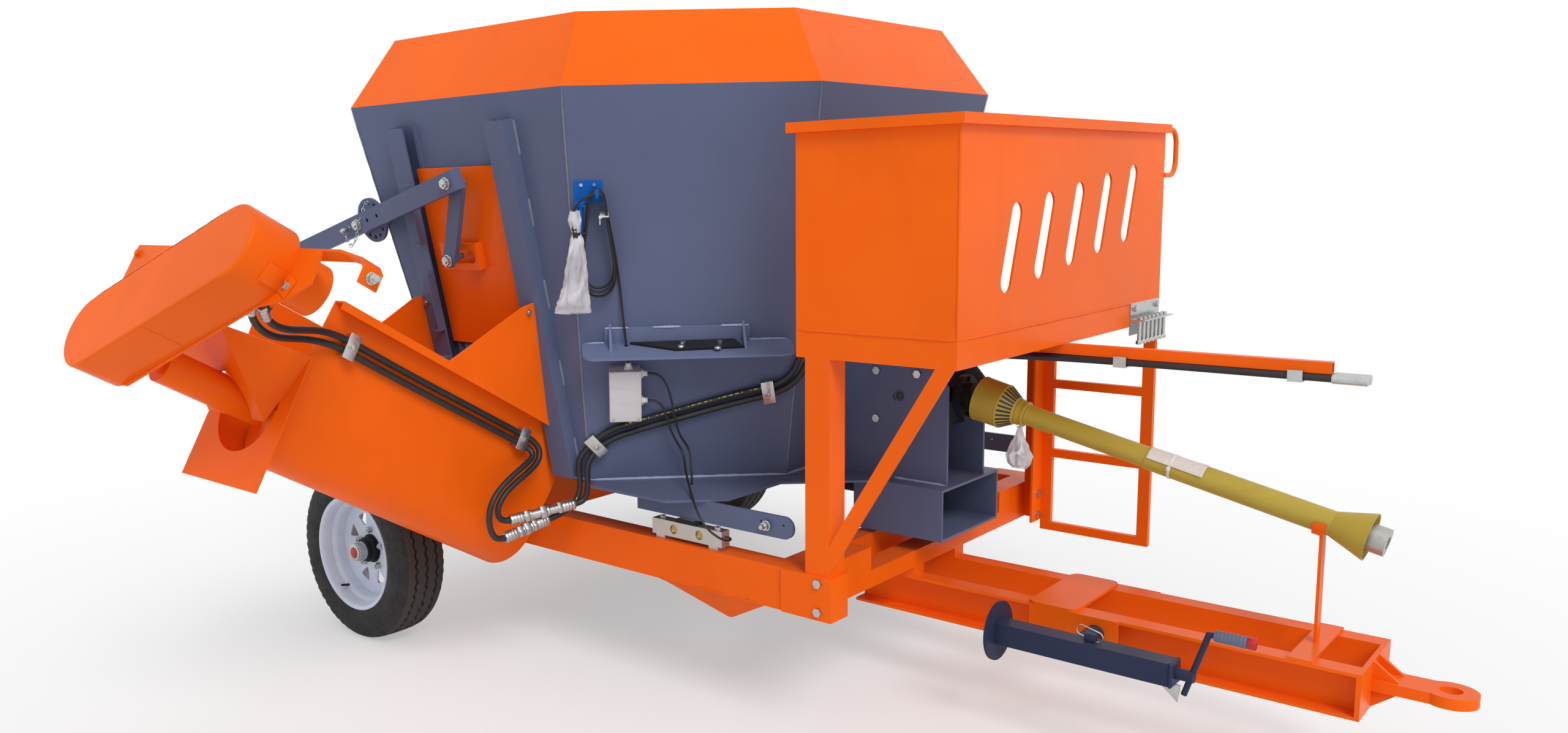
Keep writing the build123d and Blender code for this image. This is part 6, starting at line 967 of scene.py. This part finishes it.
class CouplingsOperator(bpy.types.Operator):
    """Makes the crimped hose couplings and the folded clamps"""

    bl_idname = "mixer.couplings"
    bl_label = "Couplings and clamps"

    def execute(self, context):
        bm = bmesh.new()
        for lower, riser in zip(LOWER_HOSES, RISERS):
            start, end = places(MACHINE, (lower[-1], riser[0]))
            line, far = line_frame(start, end), (end - start).length / MM
            for low in (0, far - FERRULE):
                drum(bm, line, low, low + FERRULE, 17, edge=1.5)
                for groove in FERRULE_GROOVES:
                    drum(bm, line, low + groove - 3, low + groove + 3, 18.6, edge=1.2)
            hexagon(bm, line, 34, 49, 65)
            drum(bm, line, 67, 73, 19, edge=1.5)
            hexagon(bm, line, 38, far / 2 - 10, far / 2 + 10)
            drum(bm, line, far / 2 + 12, far / 2 + 22, 18.5, edge=2)
            hexagon(bm, line, 34, far - 62, far - 48)
        for route in TROUGH_HOSES:
            line = line_frame(*places(CONVEYOR, route[1:3]))
            drum(bm, line, -12, 34, 12.6, edge=1.2)
            for groove in (0, 10, 20):
                drum(bm, line, groove, groove + 5, 13.8, edge=1)
            hexagon(bm, line, 27, -22, -10)
        for x, y, degrees in WALL_CLAMPS:
            spot = turned(shifted(CORNER_FACET, x, y), degrees / 360)
            block(bm, spot, (-20, -39, 25), (20, 39, 30), 2)
            nut(bm, spot, 30, 2, 14, 17, 38)
            drum(bm, spot, 38, 42, 7, 4, edge=1)
        for along in TROUGH_CLAMPS:
            spot = aside(CONVEYOR, (211, 240, along), (0, 1, 0), (1, 0, 0))
            block(bm, spot, (-38, -21, -2), (38, 21, 3), 2)
            nut(bm, spot, 3, 2, 14, 17, 12)
        show("coupling_dress", bm, "zinc", "chassis", "zinc")
        return {"FINISHED"}


# Control points of the cables, in millimetres on the corner facet; the drops are counted on the machine
CABLE_LEAD = (
    (-196, 432, 30), (-196, 456, 30), (-201, 490, 28), (-207, 550, 21), (-213, 615, 13), (-219, 690, 9),
    (-229, 770, 8), (-242, 850, 8.5), (-255, 920, 10.5),
)
CABLE_TAIL = (
    (-296, 983, 59), (-309, 980, 59.5), (-328, 970, 60), (-346, 953, 60), (-356, 931, 60), (-356, 905, 60),
)
LOOP_HALF = (
    (0, 0), (-12, -3), (-20, -13), (-25, -36), (-31, -80), (-40, -145), (-50, -215), (-55, -268),
    (-46, -309), (-24, -331), (0, -337),
)
LOOP_OUTLINE = LOOP_HALF + tuple((-s, v) for s, v in LOOP_HALF[-2:0:-1])
HANK_LOOPS, HANK_PITCH, HANK_FIRST, HANK_SHRINK = 5, 9.0, 14.0, 0.025
HOOK_PLACE = (-284.0, 986.5)
CELL_CABLE = (
    (-136, 299, 30), (-114, 299, 30), (-92, 286, 36), (-77, 255, 42), (-67, 210, 45), (-46, 160, 44),
)
CELL_CABLE_DROP = (
    (592, -621, 781), (628, -655, 738), (672, -695, 708), (722, -742, 694), (772, -790, 684),
    (815, -822, 655), (852, -822, 612), (884, -795, 580), (892, -765, 571), (880, -740, 571.5),
    (857, -740, 571.5),
)
FLOOR_CABLE = (
    (-136, 393, 30), (-112, 393, 30), (-88, 378, 36), (-70, 345, 42), (-58, 295, 47), (-48, 235, 50),
    (-34, 180, 48),
)
FLOOR_CABLE_DROP = ((603, -602, 790), (625, -622, 745), (634, -630, 712), (634, -630, 680))
# Steps of the connector: two heights and a radius
CONNECTOR_STEPS = ((-6, 14, 6), (12, 58, 10), (20, 28, 11.5), (44, 52, 11.5))
# Sections of the connector's bag: place, width and depth
BAG_SECTIONS = (
    (-350, 936, 60, 26, 16), (-352, 908, 60, 40, 30), (-348, 866, 62, 22, 18), (-346, 838, 64, 40, 32),
    (-349, 770, 68, 56, 40), (-356, 700, 70, 74, 44), (-361, 646, 70, 96, 38), (-363, 616, 69, 100, 14),
)


def hank_route():
    """The weighing cable: its lead, its loops over the hook and its tail."""
    s0, top = HOOK_PLACE
    points = list(CABLE_LEAD) + [(s0 + s, top + v, HANK_FIRST) for s, v in LOOP_OUTLINE[-3:]]
    for loop in range(HANK_LOOPS):
        size = 1 - HANK_SHRINK * (2 * loop % HANK_LOOPS)
        for step, (s, v) in enumerate(LOOP_OUTLINE):
            grip = size if v < -40 else 1
            w = HANK_FIRST + HANK_PITCH * (loop + step / len(LOOP_OUTLINE))
            points.append((s0 + grip * s, top + grip * v, w))
    points.append((s0, top, HANK_FIRST + HANK_PITCH * HANK_LOOPS))
    return points + list(CABLE_TAIL)


class CablesOperator(bpy.types.Operator):
    """Hangs the weighing cable and runs the load-cell cables"""

    bl_idname = "mixer.cables"
    bl_label = "Weighing cables"

    def execute(self, context):
        radius = context.scene.mixer_sizes.cable_radius
        plug, ties, band = meshes(3)
        route = places(CORNER_FACET, hank_route())
        hank = tube("weighing_cable", route, radius, "cable", "chassis", "cable_jacket", "cable_hank")
        tail, below = route[-1], places(CORNER_FACET, [BAG_SECTIONS[3][:3]])[0]
        line = local_frame(tail, CORNER_FACET.col[0].xyz, below - tail)
        for low, high, reach in CONNECTOR_STEPS:
            drum(plug, line, low, high, reach, edge=1.2)
        connector = show("cable_connector", plug, "dark_plastic", "chassis", "cable_jacket")
        cover, area = bag("connector_film", CORNER_FACET, BAG_SECTIONS, 0.30, "connector_bag")
        neck = shifted(CORNER_FACET, *BAG_SECTIONS[2][:3]) @ Matrix.Rotation(pi / 2, 4, "X")
        drum(ties, neck, -5, 5, 12.5, edge=1.5)
        block(ties, neck, (8, -4, -3), (34, 1, 3), 1)
        show("bag_tie", ties, "cable", "chassis", "cable_jacket")
        block(band, CORNER_FACET, (-276, 914, 10), (-250, 918, 63), 1.5)
        block(band, CORNER_FACET, (-280, 912, 60), (-270, 920, 67), 1.5)
        block(band, CORNER_FACET, (-278, 892, 62), (-275, 914, 64), 0.8)
        show("hank_tie", band, "white_plastic", "chassis", "box_plastic")
        for name, wall, fall, length in (
            ("cell_cable", CELL_CABLE, CELL_CABLE_DROP, 0.745),
            ("floor_cable", FLOOR_CABLE, FLOOR_CABLE_DROP, 0.443),
        ):
            route = places(CORNER_FACET, wall) + places(MACHINE, fall)
            cable = tube(name, route, radius, "cable", "chassis", "cable_jacket", "signal_cables")
        return {"FINISHED"}


CHAIN_MOTOR = (490, 260, 0)
COVER_REACH, COVER_BACK, COVER_DEPTH = 100, 391, 128
# Beads on the cover: shares of the way to the motor, reach below the middle line, heights, width, lean
COVER_BEADS = (
    ((0.45, 0.45), 100, (395, 516), 0.6, 0.0),
    ((0, 1), 98, (516.5, 516.5), 0.8, 0.4),
    ((0, 1), -98, (516.5, 516.5), 0.8, 0.4),
    ((0.05, 0.9), 99.96, (392, 392), 1.0, 0.0),
)


class ConveyorHeadOperator(bpy.types.Operator):
    """Makes the chain cover with its welded tab, seam and bolts"""

    bl_idname = "mixer.conveyor_head"
    bl_label = "Conveyor head"

    def execute(self, context):
        sizes = context.scene.mixer_sizes
        motor = Vector(CHAIN_MOTOR) * MM
        shell, dress, welds, bolts = meshes(4)
        spot = shifted(turned(Matrix.Identity(4), atan2(motor.y, motor.x) / (2 * pi)), 0, 0, COVER_BACK)
        rim = bmesh.ops.create_circle(
            shell, cap_ends=True, segments=96, radius=COVER_REACH * MM, matrix=spot
        )["verts"]
        for vert in rim:
            if vert.co.xy.dot(motor.xy) > -1e-6:
                vert.co += motor
        cap = lift(shell, list(shell.faces), COVER_DEPTH)[0]
        round_edges(shell, list(cap.edges), sizes.cover_edge, 3)
        front = max(shell.faces, key=lambda face: face.calc_center_median().z)
        bmesh.ops.inset_region(shell, faces=[front], thickness=0.003)
        bmesh.ops.transform(shell, matrix=CONVEYOR, verts=shell.verts)
        show("chain_cover_shell", shell, "orange", "chassis", "orange_paint", "chain_cover", sharp=40)
        end = CONVEYOR @ Matrix.Translation(motor) @ Matrix.Rotation(-0.42, 4, "Z")
        block(dress, end, (99, -25, 391), (104, 25, 452), 1.5)
        block(dress, end, (99, -25, 391), (146, 25, 396), 1.5)
        along = motor.normalized()
        down = Vector((along.y, -along.x, 0))
        for shares, reach, heights, width, lean in COVER_BEADS:
            ends = [
                CONVEYOR @ (motor * share + (down * reach + Vector((0, 0, height))) * MM)
                for share, height in zip(shares, heights)
            ]
            out = down * copysign(1, reach) + Vector((0, 0, lean))
            bead(welds, *ends, sizes.seam_bead * width, CONVEYOR.to_3x3() @ out)
        nut(bolts, shifted(end, 126, 0, 396), 0, 2, 13, 17, 10, 0.6)
        nut(dress, shifted(CONVEYOR, -200, 278), 391, 2, 14, 19, 402, 0.6)
        stud = aside(CONVEYOR, (868, 253, 364), (0, 1, 0), (1, 0, 0))
        drum(bolts, stud, -24, 30, 7, edge=1)
        nut(bolts, stud, 0, 3, 15, 22, 15)
        hexagon(bolts, stud, 22, -18, -6)
        show("case_plates", dress, "orange", "chassis", "orange_paint")
        show("case_welds", welds, "weld_orange", "chassis", "orange_paint", sharp=60)
        show("case_bolts", bolts, "zinc", "chassis", "zinc")
        return {"FINISHED"}


PIVOT, LEVER_REACH, LINK_LENGTH, PIN_REACH = (-447.0, 898.0), 540, 292, 60
LEVER_LEAN, LINK_LEAN = radians(14.4), radians(25.2)
LINK_TOP = (PIVOT[0] + LEVER_REACH * cos(LEVER_LEAN), PIVOT[1] + LEVER_REACH * sin(LEVER_LEAN))
LINK_FOOT = (LINK_TOP[0] - LINK_LENGTH * sin(LINK_LEAN), LINK_TOP[1] - LINK_LENGTH * cos(LINK_LEAN))
LOCK_PIN = (PIVOT[0] - PIN_REACH * cos(LEVER_LEAN), PIVOT[1] - PIN_REACH * sin(LEVER_LEAN))
PIN_CHAIN = (
    (0, 0, 158), (-2, -14, 152), (-6, -42, 146), (4, -58, 145), (32, -44, 144), (62, -6, 140), (76, 30, 137),
    (88, 44, 128), (87, 78, 110), (82, 88, 80),
)


class DoorGearOperator(bpy.types.Operator):
    """Makes the lever's nuts and washers and its lock pin on a chain"""

    bl_idname = "mixer.door_gear"
    bl_label = "Door gear"

    def execute(self, context):
        for name, body, place, low in (
            ("pivot_nut", "chassis", PIVOT, 134),
            ("link_top_nut", "link", LINK_TOP, 134.5),
            ("link_foot_nut", "link", LINK_FOOT, 91),
        ):
            bm = bmesh.new()
            spot = shifted(RIGHT_FACET, *place)
            drum(bm, spot, low, low + 3, 20, edge=0.8)
            hexagon(bm, spot, 30, low + 3, low + 15, 1.6)
            drum(bm, spot, low + 15, low + 20, 9, edge=1.5)
            show(name, bm, "zinc", body, "zinc")
        bm = bmesh.new()
        spot = shifted(RIGHT_FACET, *LOCK_PIN)
        drum(bm, spot, 134, 166, 7, edge=1.5)
        drum(bm, spot, 134, 138, 13, edge=1)
        ring(bm, shifted(spot, 0, 0, 158) @ Matrix.Rotation(pi / 2, 4, "X"), 12, 1.6)
        chain(bm, places(spot, PIN_CHAIN), 5, 1.3, 4)
        show("lock_pin", bm, "zinc", "lever", "zinc")
        return {"FINISHED"}


GUARD_SLOTS, BELL_SLOPE = 26, atan2(32.0, 51.5)
GUARD_RINGS = ((6, 11, 73), (86, 91, 71), (138, 147, 41.5), (158, 166, 40), (170, 174, 34))
# Sections of the chain's bag: height above the collar, width and depth
CHAIN_BAG = (
    (-8, 24, 16), (-16, 12, 9), (-40, 30, 20), (-74, 58, 32), (-104, 80, 40), (-130, 66, 36), (-142, 44, 12),
)
CARD_MIDDLE, CARD_REACH, CARD_TURN, CARD_SPREAD = 0.634, 0.0362, 128, 76
COIL_STEPS, COIL_TURN, COIL_WIDTH = 34, 0.62, 23


class DriveGuardOperator(bpy.types.Operator):
    """Makes the guard's slots as thin dark patches of painted shade, its collars, its bare card and tie, the
    plug ring with a dark disc of painted shade in its hole, and the bag with its chain
    """

    bl_idname = "mixer.drive_guard"
    bl_label = "Drive guard"

    def execute(self, context):
        body = body_of(NODES["pto_guard"])[0]
        slot_and_plug_shade, rings, tie, bezel, bm, heap = meshes(6)
        # Each slot is a thin dark patch on the bell: painted shade where the slot opens.
        for index in range(GUARD_SLOTS):
            spot = shifted(turned(DRIVE_SHAFT, index / GUARD_SLOTS), 55.5, 0, 113)
            spot = spot @ Matrix.Rotation(-BELL_SLOPE, 4, "Y")
            block(slot_and_plug_shade, spot, (-2, -3.4, -23), (0.6, 3.4, 21), 0.5, 1)
        for low, high, reach in GUARD_RINGS:
            drum(rings, DRIVE_SHAFT, low, high, reach, sides=48, edge=1.5)
        drum(tie, DRIVE_SHAFT, 617, 624, 37.4, sides=32, edge=1)
        block(tie, DRIVE_SHAFT, (-42, -6, 615), (-35, 6, 626), 1.5)
        plug = aside(MACHINE, (1097.5, -128, 948), (1, 0, 0), (0, -1, 0))
        # A dark disc in the plug hole is painted shade of its recess, with a smaller dark drum in its middle.
        drum(slot_and_plug_shade, plug, 0, 0.8, 19, sides=32)
        drum(slot_and_plug_shade, plug, 0, 3, 10, edge=1)
        ring(bezel, plug, 19, 2.6, 0.0, 32, 8)
        show("plug_ring", bezel, "grey", "chassis", "grey_paint")
        show("guard_slot_and_plug_shade", slot_and_plug_shade, "dark_plastic", body, "guard_plastic")
        show("guard_rings", rings, "guard", body, "guard_plastic")
        show("card_tie", tie, "white_plastic", body, "box_plastic")
        bmesh.ops.create_grid(bm, x_segments=24, y_segments=16, size=0.5)
        for vert in bm.verts:
            along, across = vert.co.x, vert.co.y
            turn = radians(CARD_TURN + CARD_SPREAD * across)
            rise = CARD_REACH + 0.022 * max(0.0, along - 0.1) ** 2 + 0.008 * max(0.0, across - 0.2)
            place = (rise * cos(turn), rise * sin(turn), CARD_MIDDLE + 0.160 * along)
            vert.co = DRIVE_SHAFT @ Vector(place)
        area = sum(face.calc_area() for face in bm.faces)
        card = show("guard_card", bm, "card", body, "box_plastic")
        low, high = (corner / MM for corner in extent("chain_bag"))
        mid = (low + high) / 2
        hung = Matrix.Rotation(pi / 2, 4, "X")
        sections = [(mid.x, high.z + drop, -mid.y, width, depth) for drop, width, depth in CHAIN_BAG]
        film, area = bag("chain_film", hung, sections, 0.26, "chain_bag")
        coil = []
        for step in range(COIL_STEPS):
            turn, wide = step * COIL_TURN, COIL_WIDTH - 0.3 * step
            height = high.z - 132 + 1.1 * step
            coil.append((mid.x + wide * cos(turn), mid.y + wide * 0.5 * sin(turn), height))
        neck = [(mid.x, mid.y, high.z - 14), (mid.x, mid.y, high.z + 6)]
        for line in (coil, neck):
            chain(heap, places(Matrix.Identity(4), line), 5, 1.4, 5)
        show("bag_chain", heap, "zinc", "chassis", "zinc")
        return {"FINISHED"}


CELL_REACH, CELL_SIDE = 716, 740


class WeighingOperator(bpy.types.Operator):
    """Makes the junction box's lid, screws and glands and the load cells' pads and plugs"""

    bl_idname = "mixer.weighing"
    bl_label = "Weighing gear"

    def execute(self, context):
        lid, glands, screws, plugs, pads = meshes(5)
        block(lid, CORNER_FACET, (-258, 238, 40), (-156, 412, 61.4), 3.5, 3)
        block(lid, CORNER_FACET, (-256.5, 239.5, 4), (-157.5, 410.5, 38.5), 2)
        for x in (-247, -167):
            for y in (249, 401):
                drum(screws, shifted(CORNER_FACET, x, y), 60, 63.4, 5.2, edge=0.8)
        along, up = (1, 0, 0), (0, 1, 0)
        for place, x_axis, z_axis in (
            ((-158, 393, 30), up, along),
            ((-158, 299, 30), up, along),
            ((-196, 410, 30), along, up),
        ):
            spot = aside(CORNER_FACET, place, x_axis, z_axis)
            hexagon(glands, spot, 26, 0, 8)
            drum(glands, spot, 8, 20, 10.5, 8, edge=1.2)
        below = aside(CORNER_FACET, (-190, 241, 30), along, (0, -1, 0))
        hexagon(plugs, below, 22, -1, 8)
        drum(plugs, below, 8, 18, 8.5, edge=1.5)
        for x in (-CELL_REACH, CELL_REACH):
            for side in (-1, 1):
                y = side * CELL_SIDE
                block(pads, MACHINE, (x - 38, y - 23, 590.5), (x + 38, y + 23, 604.5), 2)
                for shift in (-52, 52):
                    spot = aside(MACHINE, (x + shift, y + side * 12, 565), (1, 0, 0), (0, side, 0))
                    drum(plugs, spot, 0, 2.6, 14.4, edge=0.8)
                    drum(plugs, spot, 2, 3.6, 6, edge=0.8)
        for x, out in ((-33, 71), (79, 90)):
            spot = aside(CORNER_FACET, (x, 496, out), along, up)
            drum(screws, spot, 0, 4, 12, edge=1)
            drum(screws, spot, 4, 8, 11, 6, edge=1.5)
            hexagon(screws, spot, 15, -26, -16)
        show("box_lid", lid, "box", "chassis", "box_plastic")
        show("box_screws", screws, "zinc", "chassis", "zinc")
        show("box_glands", glands, "white_plastic", "chassis", "box_plastic")
        show("brass_plugs", plugs, "brass", "chassis", "bare_steel")
        show("cell_pads", pads, "black", "chassis", "gearbox_paint")
        return {"FINISHED"}


JACK_SIDE = -325


class JackOperator(bpy.types.Operator):
    """Makes the jack's end cap, grip, clip and side plate"""

    bl_idname = "mixer.jack"
    bl_label = "Jack"

    def execute(self, context):
        cap, plate, grip, red = meshes(4)
        block(cap, MACHINE, (2042, -361, 282), (2054, -289, 354), 5, 1)
        block(cap, MACHINE, (1806, -337, 350), (1838, -313, 374), 4)
        show("jack_cap", cap, "jack", "jack_tube", "jack_paint")
        side = aside(MACHINE, (0, JACK_SIDE, 0), (1, 0, 0), (0, -1, 0))
        slab(plate, side, ((2004, 287), (2066, 287), (2060, 238)), -2.4, 2.4, 0.6)
        clip = aside(MACHINE, (1819, JACK_SIDE, 372), (1, 0, -0.25), (0, -1, 0))
        ring(plate, clip, 15, 1.9, 46, 20)
        show("jack_clip", plate, "zinc", "jack_tube", "zinc")
        axis = aside(MACHINE, (0, JACK_SIDE, 444), (0, 1, 0), (1, 0, 0))
        drum(grip, axis, 2146, 2226, 15.4, edge=2)
        for low in range(2154, 2220, 9):
            drum(grip, axis, low, low + 4, 16.2, edge=1)
        drum(red, axis, 2226, 2246, 16, edge=3)
        show("jack_grip", grip, "grip", "jack_crank", "bare_steel")
        show("jack_grip_end", red, "red_plastic", "jack_crank", "bare_steel")
        return {"FINISHED"}


SPARE_BOLTS, FOOT_STUD = 7, 1.020


class BoltsOperator(bpy.types.Operator):
    """Makes the nuts of the spare shear bolts and the studs of the load feet"""

    bl_idname = "mixer.bolts"
    bl_label = "Bolts and nuts"

    def execute(self, context):
        bm = bmesh.new()
        low, high = extent("shear_bolt_rack")
        for index in range(SPARE_BOLTS):
            y = high.y - (high.y - low.y) * (index + 0.5) / SPARE_BOLTS
            spot = Matrix.Translation((high.x - 0.023, y, (low.z + high.z) / 2))
            hexagon(bm, spot, 17, -80, -68)
        for y in (low.y + 0.03, high.y - 0.03):
            spot = local_frame((low.x + 0.004, y, high.z - 0.018), (0, 1, 0), (1, 0, 0))
            nut(bm, spot, 0, 2, 12, 17, 9, 0.6)
        for side, corner in zip((-1, 1), extent("load_feet")):
            for x in (-FOOT_STUD, FOOT_STUD):
                place = (TUB_AXIS.x + x, corner.y, middle("load_feet").z)
                spot = local_frame(place, (1, 0, 0), (0, side, 0))
                nut(bm, spot, 6, 3, 16, 24, 21)
                drum(bm, spot, 0, 36, 7.5, edge=1.5)
        show("bolt_dress", bm, "zinc", "chassis", "zinc")
        return {"FINISHED"}


# The camera: its lens and principal point in pixels of the picture, its place and its direction
PICTURE, FOCAL_LENGTH, PRINCIPAL_POINT, SENSOR = (2560, 1196), 1992.6, (1018.6, 600.2), 36.0
CAMERA_PLACE = (3.108, -3.589, 1.630)
CAMERA_YAW, CAMERA_PITCH, CAMERA_ROLL = radians(133.04), radians(-8.32), radians(-1.30)
KEY_DIRECTION, KEY_STRENGTH, KEY_SPREAD = (-0.70, 0.40, -0.76), 1.45, radians(24)
SKY_TONE, SKY_STRENGTH = (0.95, 0.98, 1.0), 0.68
FLOOR_TONE, FLOOR_MIDDLE, FLOOR_FADE = (0.90, 0.90, 0.90), (0.5, -0.5, 0), (1.4, 4.6, 0.42, 1.0)


class StageOperator(bpy.types.Operator):
    """Sets the floor, the soft light and the camera"""

    bl_idname = "mixer.stage"
    bl_label = "Stage"

    def execute(self, context):
        scene = context.scene
        scene.view_settings.view_transform = "Standard"
        self.floor(scene)
        self.light(scene)
        self.camera(scene)
        return {"FINISHED"}

    def floor(self, scene):
        """A pale floor that keeps the shadow near the machine and fades to white away from it."""
        bm = bmesh.new()
        bmesh.ops.create_grid(bm, x_segments=1, y_segments=1, size=60)
        mesh = bpy.data.meshes.new("floor")
        bm.to_mesh(mesh)
        bm.free()
        floor = bpy.data.objects.new("floor", mesh)
        scene.collection.objects.link(floor)
        pale = Finish("pale_floor", FLOOR_TONE, 0.9)
        pale.set("Specular IOR Level", 0.1)
        view = pale.node("ShaderNodeLightPath").outputs["Is Camera Ray"]
        away = pale.radius(MACHINE @ Vector(FLOOR_MIDDLE), 2)[0]
        share = pale.sum("MULTIPLY", view, pale.range(away, *FLOOR_FADE))
        glow = pale.node("ShaderNodeEmission", (1, 1, 1, 1), 1.0).outputs[0]
        blend = pale.node("ShaderNodeMixShader", share, pale.shader.outputs[0], glow).outputs[0]
        pale.feed(pale.tree.nodes["Material Output"].inputs["Surface"], blend)
        mesh.materials.append(pale.material)

    def light(self, scene):
        """A soft sky with a white background to look at, and one broad sun."""
        world = bpy.data.worlds.new("studio")
        scene.world = world
        world.use_nodes = True
        tree = world.node_tree
        light = tree.nodes["Background"]
        light.inputs["Color"].default_value = (*SKY_TONE, 1)
        light.inputs["Strength"].default_value = SKY_STRENGTH
        white = tree.nodes.new("ShaderNodeBackground")
        white.inputs["Color"].default_value = (1, 1, 1, 1)
        seen = tree.nodes.new("ShaderNodeLightPath")
        either = tree.nodes.new("ShaderNodeMixShader")
        rays = seen.outputs["Is Camera Ray"]
        for kind in ("Is Glossy Ray", "Is Transmission Ray"):
            joined = tree.nodes.new("ShaderNodeMath")
            joined.operation = "MAXIMUM"
            tree.links.new(rays, joined.inputs[0])
            tree.links.new(seen.outputs[kind], joined.inputs[1])
            rays = joined.outputs[0]
        for output, socket in zip((rays, light.outputs[0], white.outputs[0]), either.inputs):
            tree.links.new(output, socket)
        tree.links.new(either.outputs[0], tree.nodes["World Output"].inputs["Surface"])
        key = bpy.data.lights.new("key", "SUN")
        key.energy = KEY_STRENGTH
        key.angle = KEY_SPREAD
        lamp = bpy.data.objects.new("key", key)
        lamp.rotation_euler = Vector(KEY_DIRECTION).to_track_quat("-Z", "Y").to_euler()
        scene.collection.objects.link(lamp)

    def camera(self, scene):
        """The camera at the picture's viewing angle."""
        camera = bpy.data.cameras.new("camera")
        camera.sensor_fit = "HORIZONTAL"
        camera.sensor_width = SENSOR
        camera.lens = FOCAL_LENGTH / PICTURE[0] * SENSOR
        camera.shift_x = (PICTURE[0] / 2 - PRINCIPAL_POINT[0]) / PICTURE[0]
        camera.shift_y = (PRINCIPAL_POINT[1] - PICTURE[1] / 2) / PICTURE[0]
        camera.clip_end = 200
        eye = bpy.data.objects.new("camera", camera)
        level = cos(CAMERA_PITCH)
        look = Vector((level * cos(CAMERA_YAW), level * sin(CAMERA_YAW), sin(CAMERA_PITCH)))
        right = look.cross(Vector((0, 0, 1))).normalized()
        above = right.cross(look)
        tilted = right * cos(CAMERA_ROLL) + above * sin(CAMERA_ROLL)
        upright = above * cos(CAMERA_ROLL) - right * sin(CAMERA_ROLL)
        turn = Matrix((tilted, upright, -look)).transposed().to_4x4()
        eye.matrix_world = Matrix.Translation(MACHINE @ Vector(CAMERA_PLACE)) @ turn
        scene.collection.objects.link(eye)
        scene.camera = eye


OPERATORS = (
    FinishesOperator,
    WheelsOperator,
    WeldsOperator,
    HosesOperator,
    CouplingsOperator,
    CablesOperator,
    ConveyorHeadOperator,
    DoorGearOperator,
    DriveGuardOperator,
    WeighingOperator,
    JackOperator,
    BoltsOperator,
    StageOperator,
)


class MixerPanel(bpy.types.Panel):
    """Lists the machine's finishes, sizes and pieces"""

    bl_idname = "VIEW3D_PT_feed_mixer"
    bl_label = "Feed mixer"
    bl_space_type = "VIEW_3D"
    bl_region_type = "UI"
    bl_category = "Feed mixer"

    def draw(self, context):
        for group in (context.scene.mixer_finishes, context.scene.mixer_sizes):
            for name in group.__annotations__:
                self.layout.prop(group, name)
        for operator in OPERATORS:
            self.layout.operator(operator.bl_idname)


CLASSES = (MixerFinishes, MixerSizes, *OPERATORS, MixerPanel)


def register():
    for item in CLASSES:
        bpy.utils.register_class(item)
    bpy.types.Scene.mixer_finishes = bpy.props.PointerProperty(type=MixerFinishes)
    bpy.types.Scene.mixer_sizes = bpy.props.PointerProperty(type=MixerSizes)


def unregister():
    del bpy.types.Scene.mixer_sizes
    del bpy.types.Scene.mixer_finishes
    for item in reversed(CLASSES):
        bpy.utils.unregister_class(item)


def main():
    register()
    for operator in OPERATORS:
        group, name = operator.bl_idname.split(".")
        getattr(getattr(bpy.ops, group), name)()
    bpy.context.view_layer.update()


if __name__ == "__main__":
    main()
